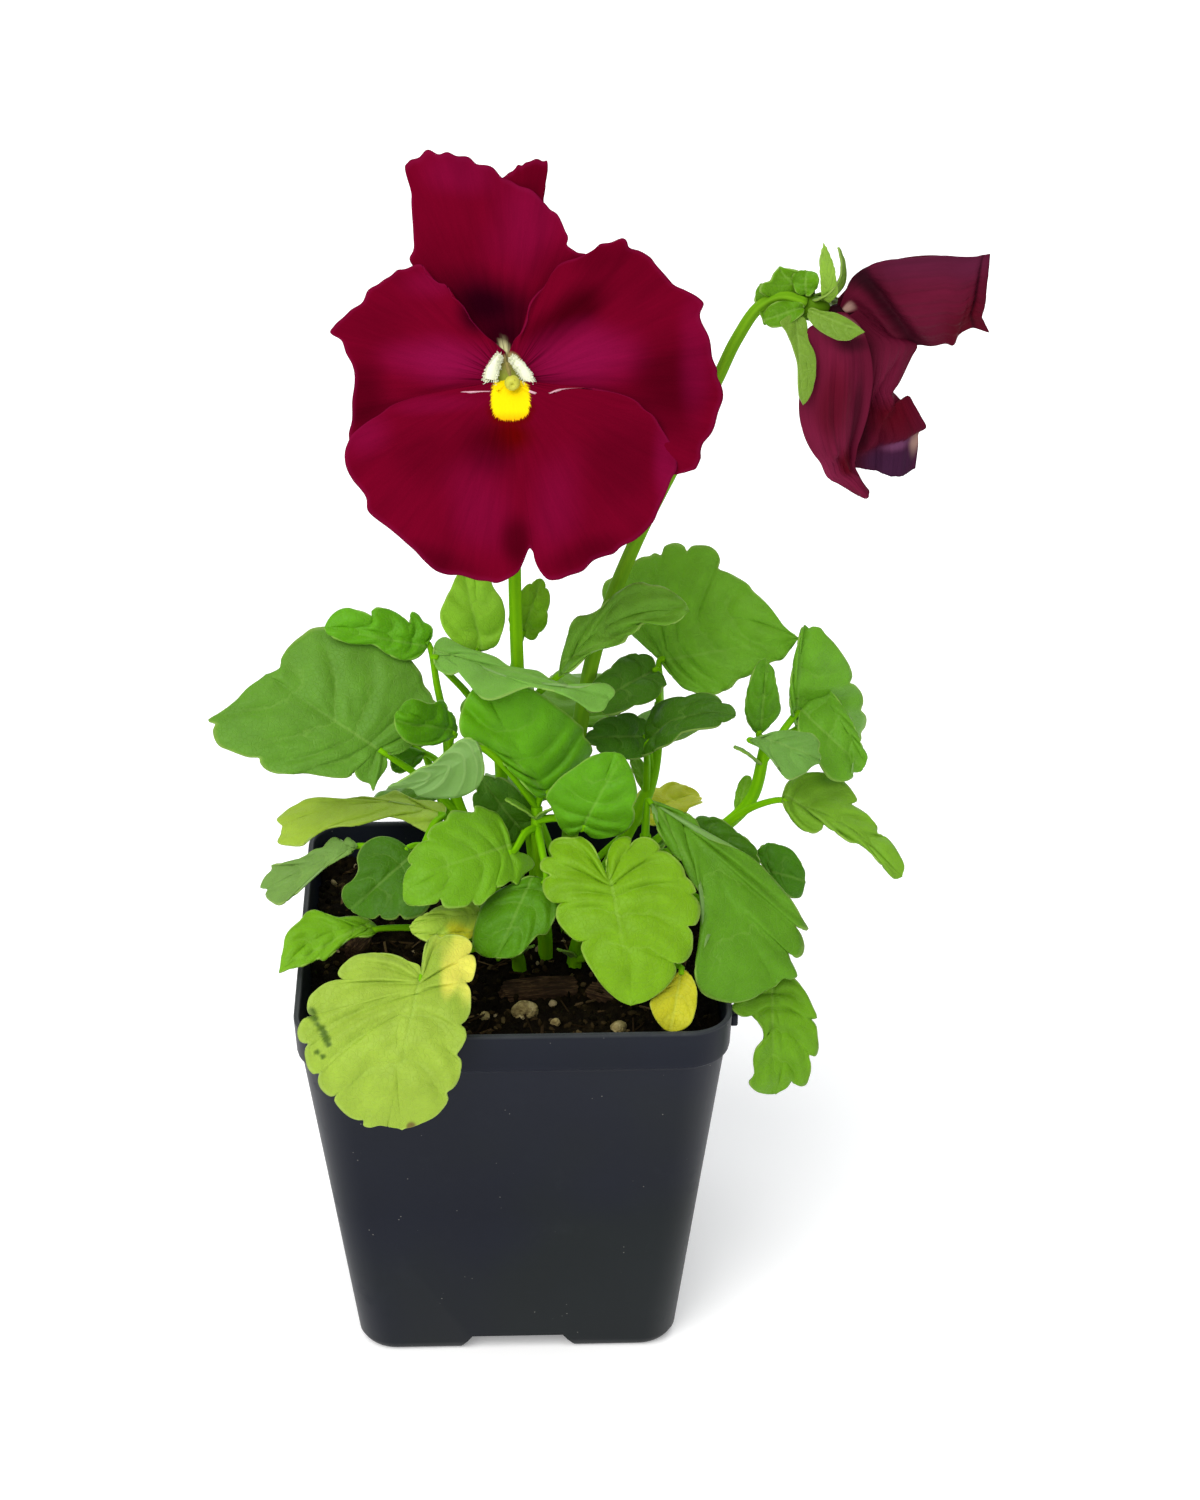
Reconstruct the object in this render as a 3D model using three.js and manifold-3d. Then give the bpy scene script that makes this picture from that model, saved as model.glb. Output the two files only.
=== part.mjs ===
// A garden pansy in a square nursery pot: a moulded plastic pot, potting soil with crumbs and
// bark in its surface, leafy stems that stand in the soil, one open bloom on its stalk and one
// wilted bloom on a second stalk.
//
// Millimetres, +Z up. The origin is the centre of the pot's flat underside, X runs to the
// right of the face that is seen in front, and Y runs to the back.

import * as THREE from 'three';
import { mergeVertices } from 'three/addons/utils/BufferGeometryUtils.js';
import Module from 'manifold-3d';

const wasm = await Module();
wasm.setup();

// ---------------------------------------------------------------- driving dimensions

const gap = 0.3;                 // clearance between pieces that touch

const rimWidth = 90;             // across the outside of the rim
const baseWidth = 68;            // across the outside of the underside
const potHeight = 87.5;
const potWall = 1.3;
const bandHeight = 9;            // the stiff band below the rim
const bandStep = 0.9;            // how far the band stands out from the wall
const rimCorner = 9;             // corner radius in plan, at the rim
const baseCorner = 7;            // corner radius in plan, at the underside
const baseEdge = 2.4;            // rounded edge between wall and underside
const floorThickness = 1.6;
const archTop = 19.5;            // raised arch in the middle of each side's lower edge
const archFoot = 25;
const archHeight = 3.8;
const archDepth = 9;
const archFlare = 1.5;           // how far an arch's slanted end runs out below the ground
const archOut = 20;              // how far the tool that cuts an arch reaches past the wall
const drainRadius = 3.5;
const drainSpacing = 19;         // of the drain holes from the centre, in X and in Y

const soilLevel = 80;
const soilRelief = 1.1;
const holeDepth = 12;            // how deep every stem stands in the soil
const holeRadius = 2.25;
const holeRise = 12;             // how far the tool that cuts a hole stands above the soil
const holeSides = 6;

const seamTolerance = 0.08;      // slivers this small along a fused seam are closed up

const bladeThickness = 0.7;
const petalThickness = 0.7;
const petioleRadius = 0.85;
const petioleSink = 1.2;         // how far a petiole runs on into its blade
const longPetiole = 16;          // petioles longer than this are bent in three parts, not two
const stemFoot = 1.6;            // stem radius at the soil
const stemTip = 1.15;
const stipuleLength = 9;

const openFoot = [6.5, 3.5];     // where the two flower stalks stand in the soil
const openRadii = [1.5, 1.15];
const wiltedFoot = [12.2, 5.5];
const wiltedRadii = [1.7, 1.05];

// ---------------------------------------------------------------- small helpers

const vec = (x, y, z) => new THREE.Vector3(x, y, z);
const clamp01 = (value) => Math.min(1, Math.max(0, value));
const lerp = THREE.MathUtils.lerp;

// A closed geometry with one vertex for each point, ready for the boolean library.
function welded(geometry) {
  const plain = geometry.index ? geometry.clone() : geometry;
  for (const name of Object.keys(plain.attributes)) {
    if (name !== 'position') plain.deleteAttribute(name);
  }
  return mergeVertices(plain, 1e-4);
}

function solid(geometry) {
  const mesh = welded(geometry);
  return new wasm.Manifold(new wasm.Mesh({
    numProp: 3,
    vertProperties: Float32Array.from(mesh.attributes.position.array),
    triVerts: Uint32Array.from(mesh.index.array),
  }));
}

function geometryOf(body) {
  const mesh = body.getMesh();
  const geometry = new THREE.BufferGeometry();
  geometry.setAttribute('position', new THREE.BufferAttribute(mesh.vertProperties, 3));
  geometry.setIndex(new THREE.BufferAttribute(mesh.triVerts, 1));
  return geometry;
}

const fuse = (geometries) => geometries.map(solid).reduce((all, one) => all.add(one))
  .simplify(seamTolerance);

function indexed(points, triangles) {
  const geometry = new THREE.BufferGeometry();
  const flat = points.flatMap((p) => [p.x, p.y, p.z]);
  geometry.setAttribute('position', new THREE.Float32BufferAttribute(flat, 3));
  geometry.setIndex(triangles.flat());
  return geometry;
}

// A thin sheet given by points and triangles becomes a closed blade: both faces carry the
// same triangles, half the thickness to each side, and a rim joins them.
function thicken(points, triangles, thickness) {
  const sheet = indexed(points, triangles);
  sheet.computeVertexNormals();
  const normals = sheet.attributes.normal;
  const moved = (side) => points.map((p, i) => vec(
    normals.getX(i), normals.getY(i), normals.getZ(i),
  ).multiplyScalar(side * thickness / 2).add(p));
  const count = points.length;
  const faces = triangles.map((t) => [...t]);
  for (const [a, b, c] of triangles) faces.push([a + count, c + count, b + count]);
  const edges = new Set(triangles.flatMap(([a, b, c]) => [`${a} ${b}`, `${b} ${c}`, `${c} ${a}`]));
  for (const edge of edges) {
    const [a, b] = edge.split(' ').map(Number);
    if (edges.has(`${b} ${a}`)) continue;
    faces.push([b, a, a + count], [b, a + count, b + count]);
  }
  return indexed([...moved(1), ...moved(-1)], faces);
}

// A round stem along a smooth path, tapered from its first to its last radius.
function stalk(path, firstRadius, lastRadius, sides, steps) {
  const curve = new THREE.CatmullRomCurve3(path.map((p) => vec(...p)), false, 'centripetal');
  const section = new THREE.Shape();
  for (let i = 0; i < sides; i += 1) {
    const angle = 2 * Math.PI * i / sides;
    const corner = [firstRadius * Math.cos(angle), firstRadius * Math.sin(angle)];
    if (i) section.lineTo(...corner); else section.moveTo(...corner);
  }
  const geometry = new THREE.ExtrudeGeometry(section, { steps, extrudePath: curve, curveSegments: 1 });
  const centres = curve.getSpacedPoints(steps);
  const positions = geometry.attributes.position;
  const point = new THREE.Vector3();
  for (let i = 0; i < positions.count; i += 1) {
    point.fromBufferAttribute(positions, i);
    let ring = 0;
    centres.forEach((centre, k) => {
      if (centre.distanceTo(point) < centres[ring].distanceTo(point)) ring = k;
    });
    const scale = lerp(1, lastRadius / firstRadius, ring / steps);
    point.sub(centres[ring]).multiplyScalar(scale).add(centres[ring]);
    positions.setXYZ(i, point.x, point.y, point.z);
  }
  return geometry;
}

// ---------------------------------------------------------------- pot and soil

// A body with rounded-square sections: each section is [height, half width, corner radius].
function squareLoft(sections, cornerSteps) {
  const points = [];
  for (const [z, half, radius] of sections) {
    for (let corner = 0; corner < 4; corner += 1) {
      for (let k = 0; k <= cornerSteps; k += 1) {
        const angle = Math.PI / 2 * (corner + k / cornerSteps);
        const centre = Math.PI / 2 * corner + Math.PI / 4;
        const reach = (half - radius) * Math.SQRT2;
        points.push(vec(
          reach * Math.cos(centre) + radius * Math.cos(angle),
          reach * Math.sin(centre) + radius * Math.sin(angle),
          z,
        ));
      }
    }
  }
  const around = 4 * (cornerSteps + 1);
  const faces = [];
  for (let row = 0; row + 1 < sections.length; row += 1) {
    for (let k = 0; k < around; k += 1) {
      const a = row * around + k;
      const b = row * around + (k + 1) % around;
      faces.push([a, b, b + around], [a, b + around, a + around]);
    }
  }
  const top = (sections.length - 1) * around;
  for (let k = 1; k + 1 < around; k += 1) {
    faces.push([0, k + 1, k], [top, top + k, top + k + 1]);
  }
  return indexed(points, faces);
}

const bandFoot = potHeight - bandHeight;
const wallTop = rimWidth / 2 - bandStep - 0.5;       // half width of the wall under the band
const wallHalf = (z) => lerp(baseWidth / 2, wallTop, z / bandFoot);
const cornerAt = (z) => lerp(baseCorner, rimCorner, z / potHeight);

function cavitySections(inset) {
  const inner = (z) => wallHalf(z) - potWall - inset;
  const radius = (z) => cornerAt(z) - potWall - inset;
  const low = floorThickness + inset;
  return [
    [low, inner(low) - 1.5, radius(low)],
    [low + 1.5, inner(low + 1.5), radius(low)],
    [bandFoot, inner(bandFoot), radius(bandFoot)],
    [bandFoot + 1.5, inner(bandFoot) + bandStep, radius(bandFoot)],
    [potHeight + 5, rimWidth / 2 - potWall - inset, radius(potHeight)],
  ];
}

// The four arches, each a block with slanted ends that widens to the ground.
function arches(inset) {
  const blocks = [0, 1, 2, 3].map((side) => {
    const half = (archTop / 2) + inset;
    const foot = (archFoot / 2) + inset;
    const outline = new THREE.Shape();
    outline.moveTo(-foot - archFlare, -2);
    outline.lineTo(foot + archFlare, -2);
    outline.lineTo(half, archHeight + inset);
    outline.lineTo(-half, archHeight + inset);
    const depth = archDepth + inset + archOut;
    const block = new THREE.ExtrudeGeometry(outline, { depth, bevelEnabled: false });
    block.rotateX(Math.PI / 2);
    block.translate(0, -(baseWidth / 2 - archDepth - inset), 0);
    block.rotateZ(Math.PI / 2 * side);
    return block;
  });
  return fuse(blocks);
}

function potBody() {
  const edge = baseEdge;
  const outer = solid(squareLoft([
    [0, wallHalf(0) - 1.5, baseCorner - 1],
    [edge * 0.3, wallHalf(0) - 0.5, baseCorner - 0.4],
    [edge, wallHalf(edge), baseCorner],
    [bandFoot - 0.6, wallHalf(bandFoot), cornerAt(bandFoot)],
    [bandFoot + 0.6, wallHalf(bandFoot) + bandStep, cornerAt(bandFoot)],
    [potHeight - 0.5, rimWidth / 2, rimCorner],
    [potHeight, rimWidth / 2 - 0.4, rimCorner - 0.4],
  ], 4));
  const cavity = solid(squareLoft(cavitySections(0), 4)).subtract(arches(potWall));
  const holes = [[-1, -1], [1, -1], [1, 1], [-1, 1]].map(([x, y]) => {
    const hole = new THREE.CylinderGeometry(drainRadius, drainRadius, 10, 12);
    hole.rotateX(Math.PI / 2);
    hole.translate(x * drainSpacing, y * drainSpacing, 0);
    return hole;
  });
  const lug = new THREE.BoxGeometry(2.6, 5, 3);
  lug.translate(rimWidth / 2 + 0.1, -rimWidth / 2 + rimCorner + 4, potHeight - 4);
  return outer.subtract(cavity).subtract(arches(0)).subtract(fuse(holes))
    .add(solid(lug).subtract(cavity));
}

// The soil's surface: low swells with smaller lumps on them.
function soilHeight(x, y) {
  const swell = Math.sin(x * 0.11 + 0.6) * Math.cos(y * 0.13 - 0.4);
  const lumps = Math.sin(x * 0.53 + 1.3 * Math.sin(y * 0.31)) * Math.cos(y * 0.47 + 0.9);
  const mound = 1.6 * Math.exp(-((x - 8) ** 2 + (y - 3) ** 2) / 300);
  return soilLevel + soilRelief * (0.6 * swell + 0.4 * lumps) + mound;
}

function soilBody(cuts) {
  const cells = 8;
  const block = new THREE.BoxGeometry(rimWidth, rimWidth, soilLevel, cells, cells, 1);
  block.translate(0, 0, soilLevel / 2);
  const positions = block.attributes.position;
  for (let i = 0; i < positions.count; i += 1) {
    if (positions.getZ(i) < soilLevel / 2) continue;
    positions.setZ(i, soilHeight(positions.getX(i), positions.getY(i)));
  }
  const inside = solid(squareLoft(cavitySections(gap), 4));
  const filled = solid(block).intersect(inside).subtract(arches(potWall + gap));
  return cuts.reduce((body, cut) => body.subtract(cut), filled).simplify(seamTolerance);
}

// Crumbs of pumice and chips of bark lie half sunk, each in a hollow of its own size.
const crumbs = [
  { name: 'pumice_large', at: [2.3, -23.6], size: [2.9, 2.2, 2.3], turn: 0.3, sides: 1 },
  { name: 'pumice_right', at: [21.7, -30.7], size: [2.0, 1.6, 1.5], turn: 1.1, sides: 0 },
  { name: 'pumice_left', at: [-6, -26.2], size: [1.2, 1.0, 1.1], turn: 0.7, sides: 0 },
  { name: 'pumice_middle', at: [8.8, -27.6], size: [1.0, 1.1, 0.9], turn: 2.0, sides: 0 },
  { name: 'pumice_back', at: [-24, 31], size: [1.8, 1.4, 1.3], turn: 0.4, sides: 0 },
  { name: 'pumice_side', at: [36, 14], size: [1.5, 1.9, 1.3], turn: 1.9, sides: 0 },
];

const chips = [
  { name: 'bark_front', at: [6, -15.8], size: [8, 2.6, 2.2], turn: 0.12 },
  { name: 'bark_front_small', at: [18.8, -18], size: [3.4, 1.7, 1.8], turn: -0.5 },
  { name: 'bark_left', at: [-33, 2], size: [3.4, 2.0, 3.2], turn: 1.2 },
  { name: 'bark_left_front', at: [-30, -20], size: [3.8, 1.8, 1.6], turn: 0.25 },
  { name: 'bark_right', at: [34.5, -20], size: [3.6, 2.0, 2.4], turn: 1.35 },
  { name: 'bark_back', at: [12, 34], size: [4.4, 2.1, 1.8], turn: -0.3 },
];

function lump(detail, size, turn, [x, y], grown) {
  const body = new THREE.IcosahedronGeometry(1, detail);
  const reach = size.map((half) => half + grown);
  body.scale(...reach);
  body.rotateZ(turn);
  body.translate(x, y, soilHeight(x, y) + 0.15);
  return body;
}

function chip(size, turn, [x, y], grown) {
  const outline = new THREE.Shape();
  const [a, b, c] = size.map((half) => half + grown);
  outline.moveTo(-a, -b * 0.5);
  outline.lineTo(-a * 0.7, -b);
  outline.lineTo(a * 0.8, -b * 0.8);
  outline.lineTo(a, b * 0.1);
  outline.lineTo(a * 0.6, b);
  outline.lineTo(-a * 0.8, b * 0.8);
  const body = new THREE.ExtrudeGeometry(outline, { depth: 2 * c, bevelEnabled: false });
  body.translate(0, 0, -c);
  body.rotateX(0.25);
  body.rotateZ(turn);
  body.translate(x, y, soilHeight(x, y) - c * 0.15);
  return body;
}

// ---------------------------------------------------------------- leaves

// Margin of a blade as fractions of its length and half width, from the base (0) to the tip
// (1): an oval with lobes behind its base and a row of round teeth.
function margin(q, leaf, lobe) {
  const angle = Math.PI * q;
  const along = (1 - Math.cos(angle)) / 2 - lobe * Math.sin(angle) * (1 - q) ** 2;
  const across = Math.sin(angle) ** 0.85 * (1 + leaf.widest * Math.cos(angle));
  const tooth = Math.abs(Math.sin(Math.PI * (leaf.teeth + 0.5) * q)) ** 0.7;
  const scale = leaf.teeth ? 1 - leaf.cut * (1 - tooth) : 1;
  return [0.45 + (along - 0.45) * scale, across * scale];
}

// `halves` are the widths of the blade's right and left half, seen on its face with the tip
// ahead; `lobe` sets how far each half reaches behind the base; `bow` and `sway` bend the
// midrib, and `fold` lifts the margins.
const leafDefaults = {
  teeth: 4, cut: 0.13, lobe: [0.15, 0.15], widest: 0.15, bow: 0.1, sway: 0, fold: 0.15,
  wave: 0.4, up: [0, -0.6, 0.8],
};

// A blade bent along its midrib: the margin's points joined to the midrib by their veins.
function blade(given) {
  const leaf = { ...leafDefaults, ...given };
  const base = vec(...leaf.base);
  const tip = vec(...leaf.tip);
  const length = base.distanceTo(tip);
  const ahead = tip.clone().sub(base).normalize();
  const up = vec(...leaf.up);
  const face = up.addScaledVector(ahead, -up.dot(ahead)).normalize();
  const left = face.clone().cross(ahead);
  const crest = base.clone().addScaledVector(ahead, 0.45 * length)
    .addScaledVector(face, 2 * leaf.bow * length).addScaledVector(left, 2 * leaf.sway * length);
  const midrib = new THREE.QuadraticBezierCurve3(base, crest, tip);
  const place = (x, y) => {
    const t = Math.max(0, x);
    const tangent = midrib.getTangent(t);
    const side = face.clone().cross(tangent).normalize();
    const normal = tangent.clone().cross(side);
    const ripple = y ? leaf.wave * Math.sin(9 * x + (y > 0 ? 0 : 2)) : 0;
    return midrib.getPoint(t).addScaledVector(tangent, Math.min(0, x) * length)
      .addScaledVector(side, y).addScaledVector(normal, leaf.fold * Math.abs(y) + ripple);
  };
  // Each tooth is a fan: its notch and two shoulders on the margin, one vertex on the midrib.
  const count = leaf.teeth || leaf.spans || 2;
  const pitch = 1 / (count + 0.5);
  const points = [place(0, 0)];
  const ribs = [0];
  const margins = [[0], [0]];
  const extend = (q) => {
    [-1, 1].forEach((way, side) => {
      const [x, y] = margin(q, leaf, leaf.lobe[side]);
      margins[side].push(points.length);
      points.push(place(x, way * y * leaf.halves[side]));
    });
  };
  const faces = [];
  for (let tooth = 0; tooth <= count; tooth += 1) {
    const opens = margins.map((list) => list.length - 1);
    if (leaf.teeth) extend((tooth + 0.27) * pitch);
    if (leaf.teeth && tooth < count) extend((tooth + 0.73) * pitch);
    if (tooth < count) extend((tooth + 1) * pitch);
    const from = ribs[tooth];
    const next = points.length;
    points.push(place(tooth < count ? ((tooth + 1) * pitch) ** 1.6 : 1, 0));
    ribs.push(next);
    if (tooth === count) margins.forEach((list) => list.push(next));
    margins.forEach((list, side) => {
      const flip = ([a, b, c]) => (side ? [a, b, c] : [a, c, b]);
      const first = opens[side] + (tooth ? 0 : 1);
      for (let k = first; k + 1 < list.length; k += 1) faces.push(flip([from, list[k + 1], list[k]]));
      if (tooth < count) faces.push(flip([from, next, list[list.length - 1]]));
    });
  }
  return thicken(points, faces, bladeThickness);
}

// The petiole leaves the stem at its fraction `at` and runs into the blade along its midrib.
function petiole(leaf, stem) {
  const start = stem.getPoint(leaf.at);
  const base = vec(...leaf.base);
  const ahead = vec(...leaf.tip).sub(base).normalize();
  const middle = start.clone().lerp(base, 0.5);
  middle.z += leaf.sag ?? 1.5;
  const into = base.clone().addScaledVector(ahead, petioleSink);
  const face = vec(...(leaf.up ?? leafDefaults.up));
  face.addScaledVector(ahead, -face.dot(ahead)).normalize();
  into.addScaledVector(face, (leaf.bow ?? leafDefaults.bow) * 3);
  const path = [start, middle, base, into].map((p) => p.toArray());
  const steps = start.distanceTo(base) > longPetiole ? 3 : 2;
  return stalk(path, leaf.thick ?? petioleRadius, petioleRadius * 0.75, 4, steps);
}

// A stipule is a narrow little blade beside a leaf's root, on the stem.
function stipule(stem, at, turn) {
  const root = stem.getPoint(at);
  const length = stipuleLength;
  const out = vec(Math.cos(turn), Math.sin(turn), 0.9).normalize();
  const base = root.clone().addScaledVector(out, -0.3);
  return blade({
    base: base.toArray(),
    tip: root.clone().addScaledVector(out, length).toArray(),
    up: [-Math.cos(turn) * 0.5, -Math.sin(turn) * 0.5, 1],
    halves: [length * 0.17, length * 0.17], teeth: 0, lobe: [0, 0], widest: -0.2, bow: 0.05,
    fold: 0.1, wave: 0,
  });
}

const stems = [
  {
    name: 'stem_left_high', foot: [-1, 3],
    path: [[-2, 3.5, 88], [-7, 5, 102], [-12, 6, 117], [-13, 8, 129]],
    leaves: [
      { at: 0.75, base: [-27, -1, 131], tip: [-59, 1.5, 138], up: [-0.2, -0.65, 0.7],
        halves: [18.5, 15.5], teeth: 5, cut: 0.06, lobe: [0.35, 0.5], widest: 0.15, bow: 0.06,
        sway: -0.07, fold: 0.1 },
      { at: 1, base: [-15, 14, 146], tip: [-38, 12.5, 152], up: [0, -0.75, 0.6], halves: [7, 5],
        cut: 0.14, widest: -0.05, bow: 0.06, sag: 0 },
      { at: 0.95, base: [-11, 3, 132.5], tip: [-24, -5, 139], up: [0.1, -0.8, 0.55],
        halves: [6, 6], teeth: 3 },
      { at: 0.85, base: [-16, 13, 122], tip: [-26, 7, 122.5], up: [0, -0.8, 0.6],
        halves: [4, 4], teeth: 2 },
    ],
    stipules: [[0.85, 0.4]],
  },
  {
    name: 'stem_left_low', foot: [-2.5, -3],
    path: [[-3.5, -3.2, 86], [-9, -3, 96], [-15, -2, 103], [-18, 0, 107]],
    leaves: [
      { at: 1, base: [-17, 5, 109.5], tip: [-49, 6, 106], up: [-0.1, -0.3, 0.95], halves: [7, 7.5],
        cut: 0.06, widest: -0.1, lobe: [0, 0], bow: 0.1, fold: -0.1 },
      { at: 0.8, base: [-29.5, 0, 108], tip: [-52.5, -6, 98], up: [-0.25, -0.35, 0.9],
        halves: [6, 6], cut: 0.2, widest: -0.1, lobe: [0, 0], bow: 0.06 },
      { at: 0.9, base: [-20, -8, 109.5], tip: [-33.5, -16.5, 101], up: [-0.2, -0.7, 0.7],
        halves: [8, 10], teeth: 3 },
    ],
    stipules: [[0.55, 3.6], [0.8, 1.9]],
  },
  {
    name: 'stem_front_left', foot: [1.5, -8],
    path: [[1, -10, 85], [-2, -15, 91], [-5, -19, 96]],
    leaves: [
      { at: 0.75, base: [-31, -12, 94.5], tip: [-47.5, -22, 90.5], up: [-0.1, -0.5, 0.85],
        halves: [6.5, 4.5], teeth: 0, spans: 4, widest: -0.2, lobe: [0, 0], bow: 0.05, sag: 2 },
      { at: 0.8, base: [-18.5, -39, 99.5], tip: [-25.5, -57.5, 74], up: [-0.1, -0.85, 0.45],
        halves: [20, 12], teeth: 6, cut: 0.08, lobe: [0.25, 0.8], widest: -0.05, bow: 0.14,
        fold: -0.1, thick: 1.1, sag: 2.5 },
      { at: 1, base: [-7, -23, 99], tip: [-21, -27, 101], up: [0, -0.5, 0.85], halves: [4.5, 4.5],
        teeth: 3 },
    ],
    stipules: [[0.6, 5.2]],
  },
  {
    name: 'stem_centre', foot: [7, -4],
    path: [[7, -4.2, 86], [6, -5, 102], [5.5, -7, 114], [5.5, -6, 119]],
    leaves: [
      { at: 1, base: [8, -8, 122.5], tip: [-9, -10.5, 144], up: [0.25, -0.75, 0.6],
        halves: [16.5, 7], teeth: 5, cut: 0.05, lobe: [0.15, 0], widest: 0, bow: 0.08, fold: 0.2 },
      { at: 0.9, base: [14, -14, 117], tip: [23, -12, 134], up: [0.2, -0.85, 0.5],
        halves: [9, 9], teeth: 5, cut: 0.07, lobe: [0.3, 0.3], bow: 0.1, fold: -0.1 },
      { at: 0.85, base: [0, -14, 114.5], tip: [-22, -26, 113.5], up: [-0.1, -0.7, 0.7],
        halves: [10.5, 10], teeth: 5, cut: 0.12, lobe: [0.35, 0.35], widest: -0.1, bow: 0.12,
        fold: -0.1 },
      { at: 0.85, base: [4.5, -19, 110], tip: [-4, -31, 96], up: [-0.3, -0.75, 0.5],
        halves: [7.5, 7.5], cut: 0.05, lobe: [0.2, 0.2], bow: 0.12, fold: -0.15 },
      { at: 0.8, base: [3, -3, 111], tip: [-6, -2, 124], up: [-0.3, -0.8, 0.5], halves: [6, 6],
        teeth: 3 },
      { at: 1, base: [-4, -13.5, 124], tip: [-24, -15, 121], up: [-0.1, 0.95, 0.15], halves: [4.5, 7],
        teeth: 0, spans: 4, lobe: [0.2, 0.2], widest: 0.35, bow: 0.12, fold: -0.2 },
    ],
    stipules: [[0.6, 4.4], [0.9, 3.4], [0.9, 5.4]],
  },
  {
    name: 'stem_front', foot: [13, -7],
    path: [[13.5, -8, 85], [16, -13, 97], [18, -17, 107]],
    leaves: [
      { at: 1, base: [19.8, -25, 115], tip: [24.5, -41, 92.5], up: [0, -0.75, 0.65],
        halves: [15, 16], teeth: 6, cut: 0.1, lobe: [1.05, 1.05], widest: 0, bow: 0.08,
        fold: -0.08 },
      { at: 0.5, base: [34.5, -34.5, 96.5], tip: [32, -42, 87], up: [0, -0.8, 0.6],
        halves: [4.5, 4.5], teeth: 0, spans: 4, lobe: [0, 0], widest: -0.1, bow: 0.04, sag: 3 },
    ],
    stipules: [[0.5, 4.2], [0.8, 0.6]],
  },
  {
    name: 'stem_right_front', foot: [18, -2],
    path: [[19, -2.5, 85], [24, -5, 97], [28, -7, 107], [28, -10, 114]],
    leaves: [
      { at: 1, base: [29.5, -9, 122], tip: [51.5, -35, 90.5], up: [0.2, -0.7, 0.6],
        halves: [9, 14], teeth: 6, cut: 0.14, lobe: [0, 0], widest: -0.35, bow: 0.08, sway: 0.07,
        fold: -0.1 },
      { at: 0.75, base: [53.5, -27, 91], tip: [54, -34, 65.5], up: [0.3, -0.9, 0.3],
        halves: [7.5, 8], teeth: 5, cut: 0.14, lobe: [0.1, 0.1], widest: -0.05, bow: 0.08,
        sway: 0.06, sag: 6 },
      { at: 0.85, base: [50.5, 2, 99.5], tip: [62.5, 1, 96], up: [0.2, -0.8, 0.6],
        halves: [5, 5.5], teeth: 3, cut: 0.05 },
      { at: 0.9, base: [38, -3, 112], tip: [52, -8, 105], up: [0, -0.7, 0.7], halves: [4, 4],
        teeth: 3 },
    ],
    stipules: [[0.6, 5.0], [0.8, 0.2]],
  },
  {
    name: 'stem_right', foot: [19.5, 4.5],
    path: [[21, 5, 86], [32, 5.5, 98], [43, 4, 106], [51, 5, 114], [54, 8, 125]],
    leaves: [
      { at: 0.75, base: [57.5, 0, 118], tip: [82, -8.5, 102.2], up: [0.3, -0.6, 0.75],
        halves: [5, 7.5], teeth: 5, cut: 0.14, widest: 0.4, bow: 0.08, sway: 0.04, fold: -0.1 },
      { at: 0.95, base: [62, 10, 132], tip: [74, 3.5, 122], up: [0.4, -0.7, 0.5], halves: [8, 5] },
      { at: 1, base: [60.5, 14, 125], tip: [62, 12, 151.5], up: [0.5, -0.8, 0.1], halves: [14.5, 2.5],
        widest: 0.45, fold: 0.2, sag: 0 },
      { at: 1, base: [48, -1, 134], tip: [65, -9, 130.5], up: [0, -0.6, 0.8], halves: [6.5, 4], sag: 0 },
      { at: 1, base: [53, 9, 128], tip: [54, 8.5, 145], up: [0, -1, 0.2], halves: [4, 4],
        teeth: 3, sag: 0 },
    ],
    stipules: [[0.6, 5.0], [0.8, 1.2], [0.95, 3.6]],
  },
  {
    name: 'stem_right_back', foot: [16.5, 11],
    path: [[17.5, 12, 86], [25, 12.5, 102], [30, 13, 114], [32, 15, 132]],
    leaves: [
      { at: 1, base: [32.5, 18, 140.5], tip: [60.5, 15, 147], up: [0, -0.85, 0.5],
        halves: [10, 22.5], teeth: 6, cut: 0.08, lobe: [0.2, 1.1], widest: 0.3, bow: 0.06,
        sway: 0.05, fold: -0.05, sag: 0 },
      { at: 0.8, base: [29, 6, 127], tip: [47, 0, 137], up: [-0.2, -0.4, 0.9], halves: [6, 6],
        teeth: 3, bow: 0.2 },
      { at: 0.85, base: [29, 11, 126], tip: [16, 5, 129], up: [0, -0.8, 0.6], halves: [5, 5],
        teeth: 3 },
      { at: 1, base: [31, 11, 142], tip: [16, 0, 138.5], up: [0, -0.8, 0.6], halves: [5.5, 5.5],
        teeth: 3, sag: 0 },
    ],
    stipules: [[0.55, 5.2], [0.8, 2.0]],
  },
  {
    name: 'stem_back_centre', foot: [3, 10],
    path: [[2, 10.5, 88], [-1, 10.5, 108], [-2, 9.5, 125], [-1, 9, 137]],
    leaves: [
      { at: 1, base: [-5, 10, 146], tip: [-9, 12, 164], up: [0, -1, 0.2], halves: [8, 8],
        teeth: 3, cut: 0.05, lobe: [0, 0], bow: 0.05, sag: 0 },
      { at: 0.9, base: [3, 18, 147], tip: [7, 20, 159], up: [0, -1, 0.3], halves: [4, 4], teeth: 3 },
      { at: 0.85, base: [-13, 0, 152], tip: [21, -13, 148], up: [0, -0.5, 0.85], halves: [5.5, 4],
        cut: 0.06, lobe: [0, 0], widest: 0.35, bow: 0.06, fold: 0.1 },
      { at: 0.95, base: [8, 4, 146], tip: [36.5, -4, 165], up: [0.1, -0.6, 0.75], halves: [5, 8],
        teeth: 3, cut: 0.05, bow: 0.1, fold: 0.3, sag: -1 },
    ],
    stipules: [[0.6, 3.0]],
  },
  {
    name: 'stem_back_left', foot: [-3, 11],
    path: [[-5, 13, 86], [-12, 18, 100], [-17, 22, 113]],
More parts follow.
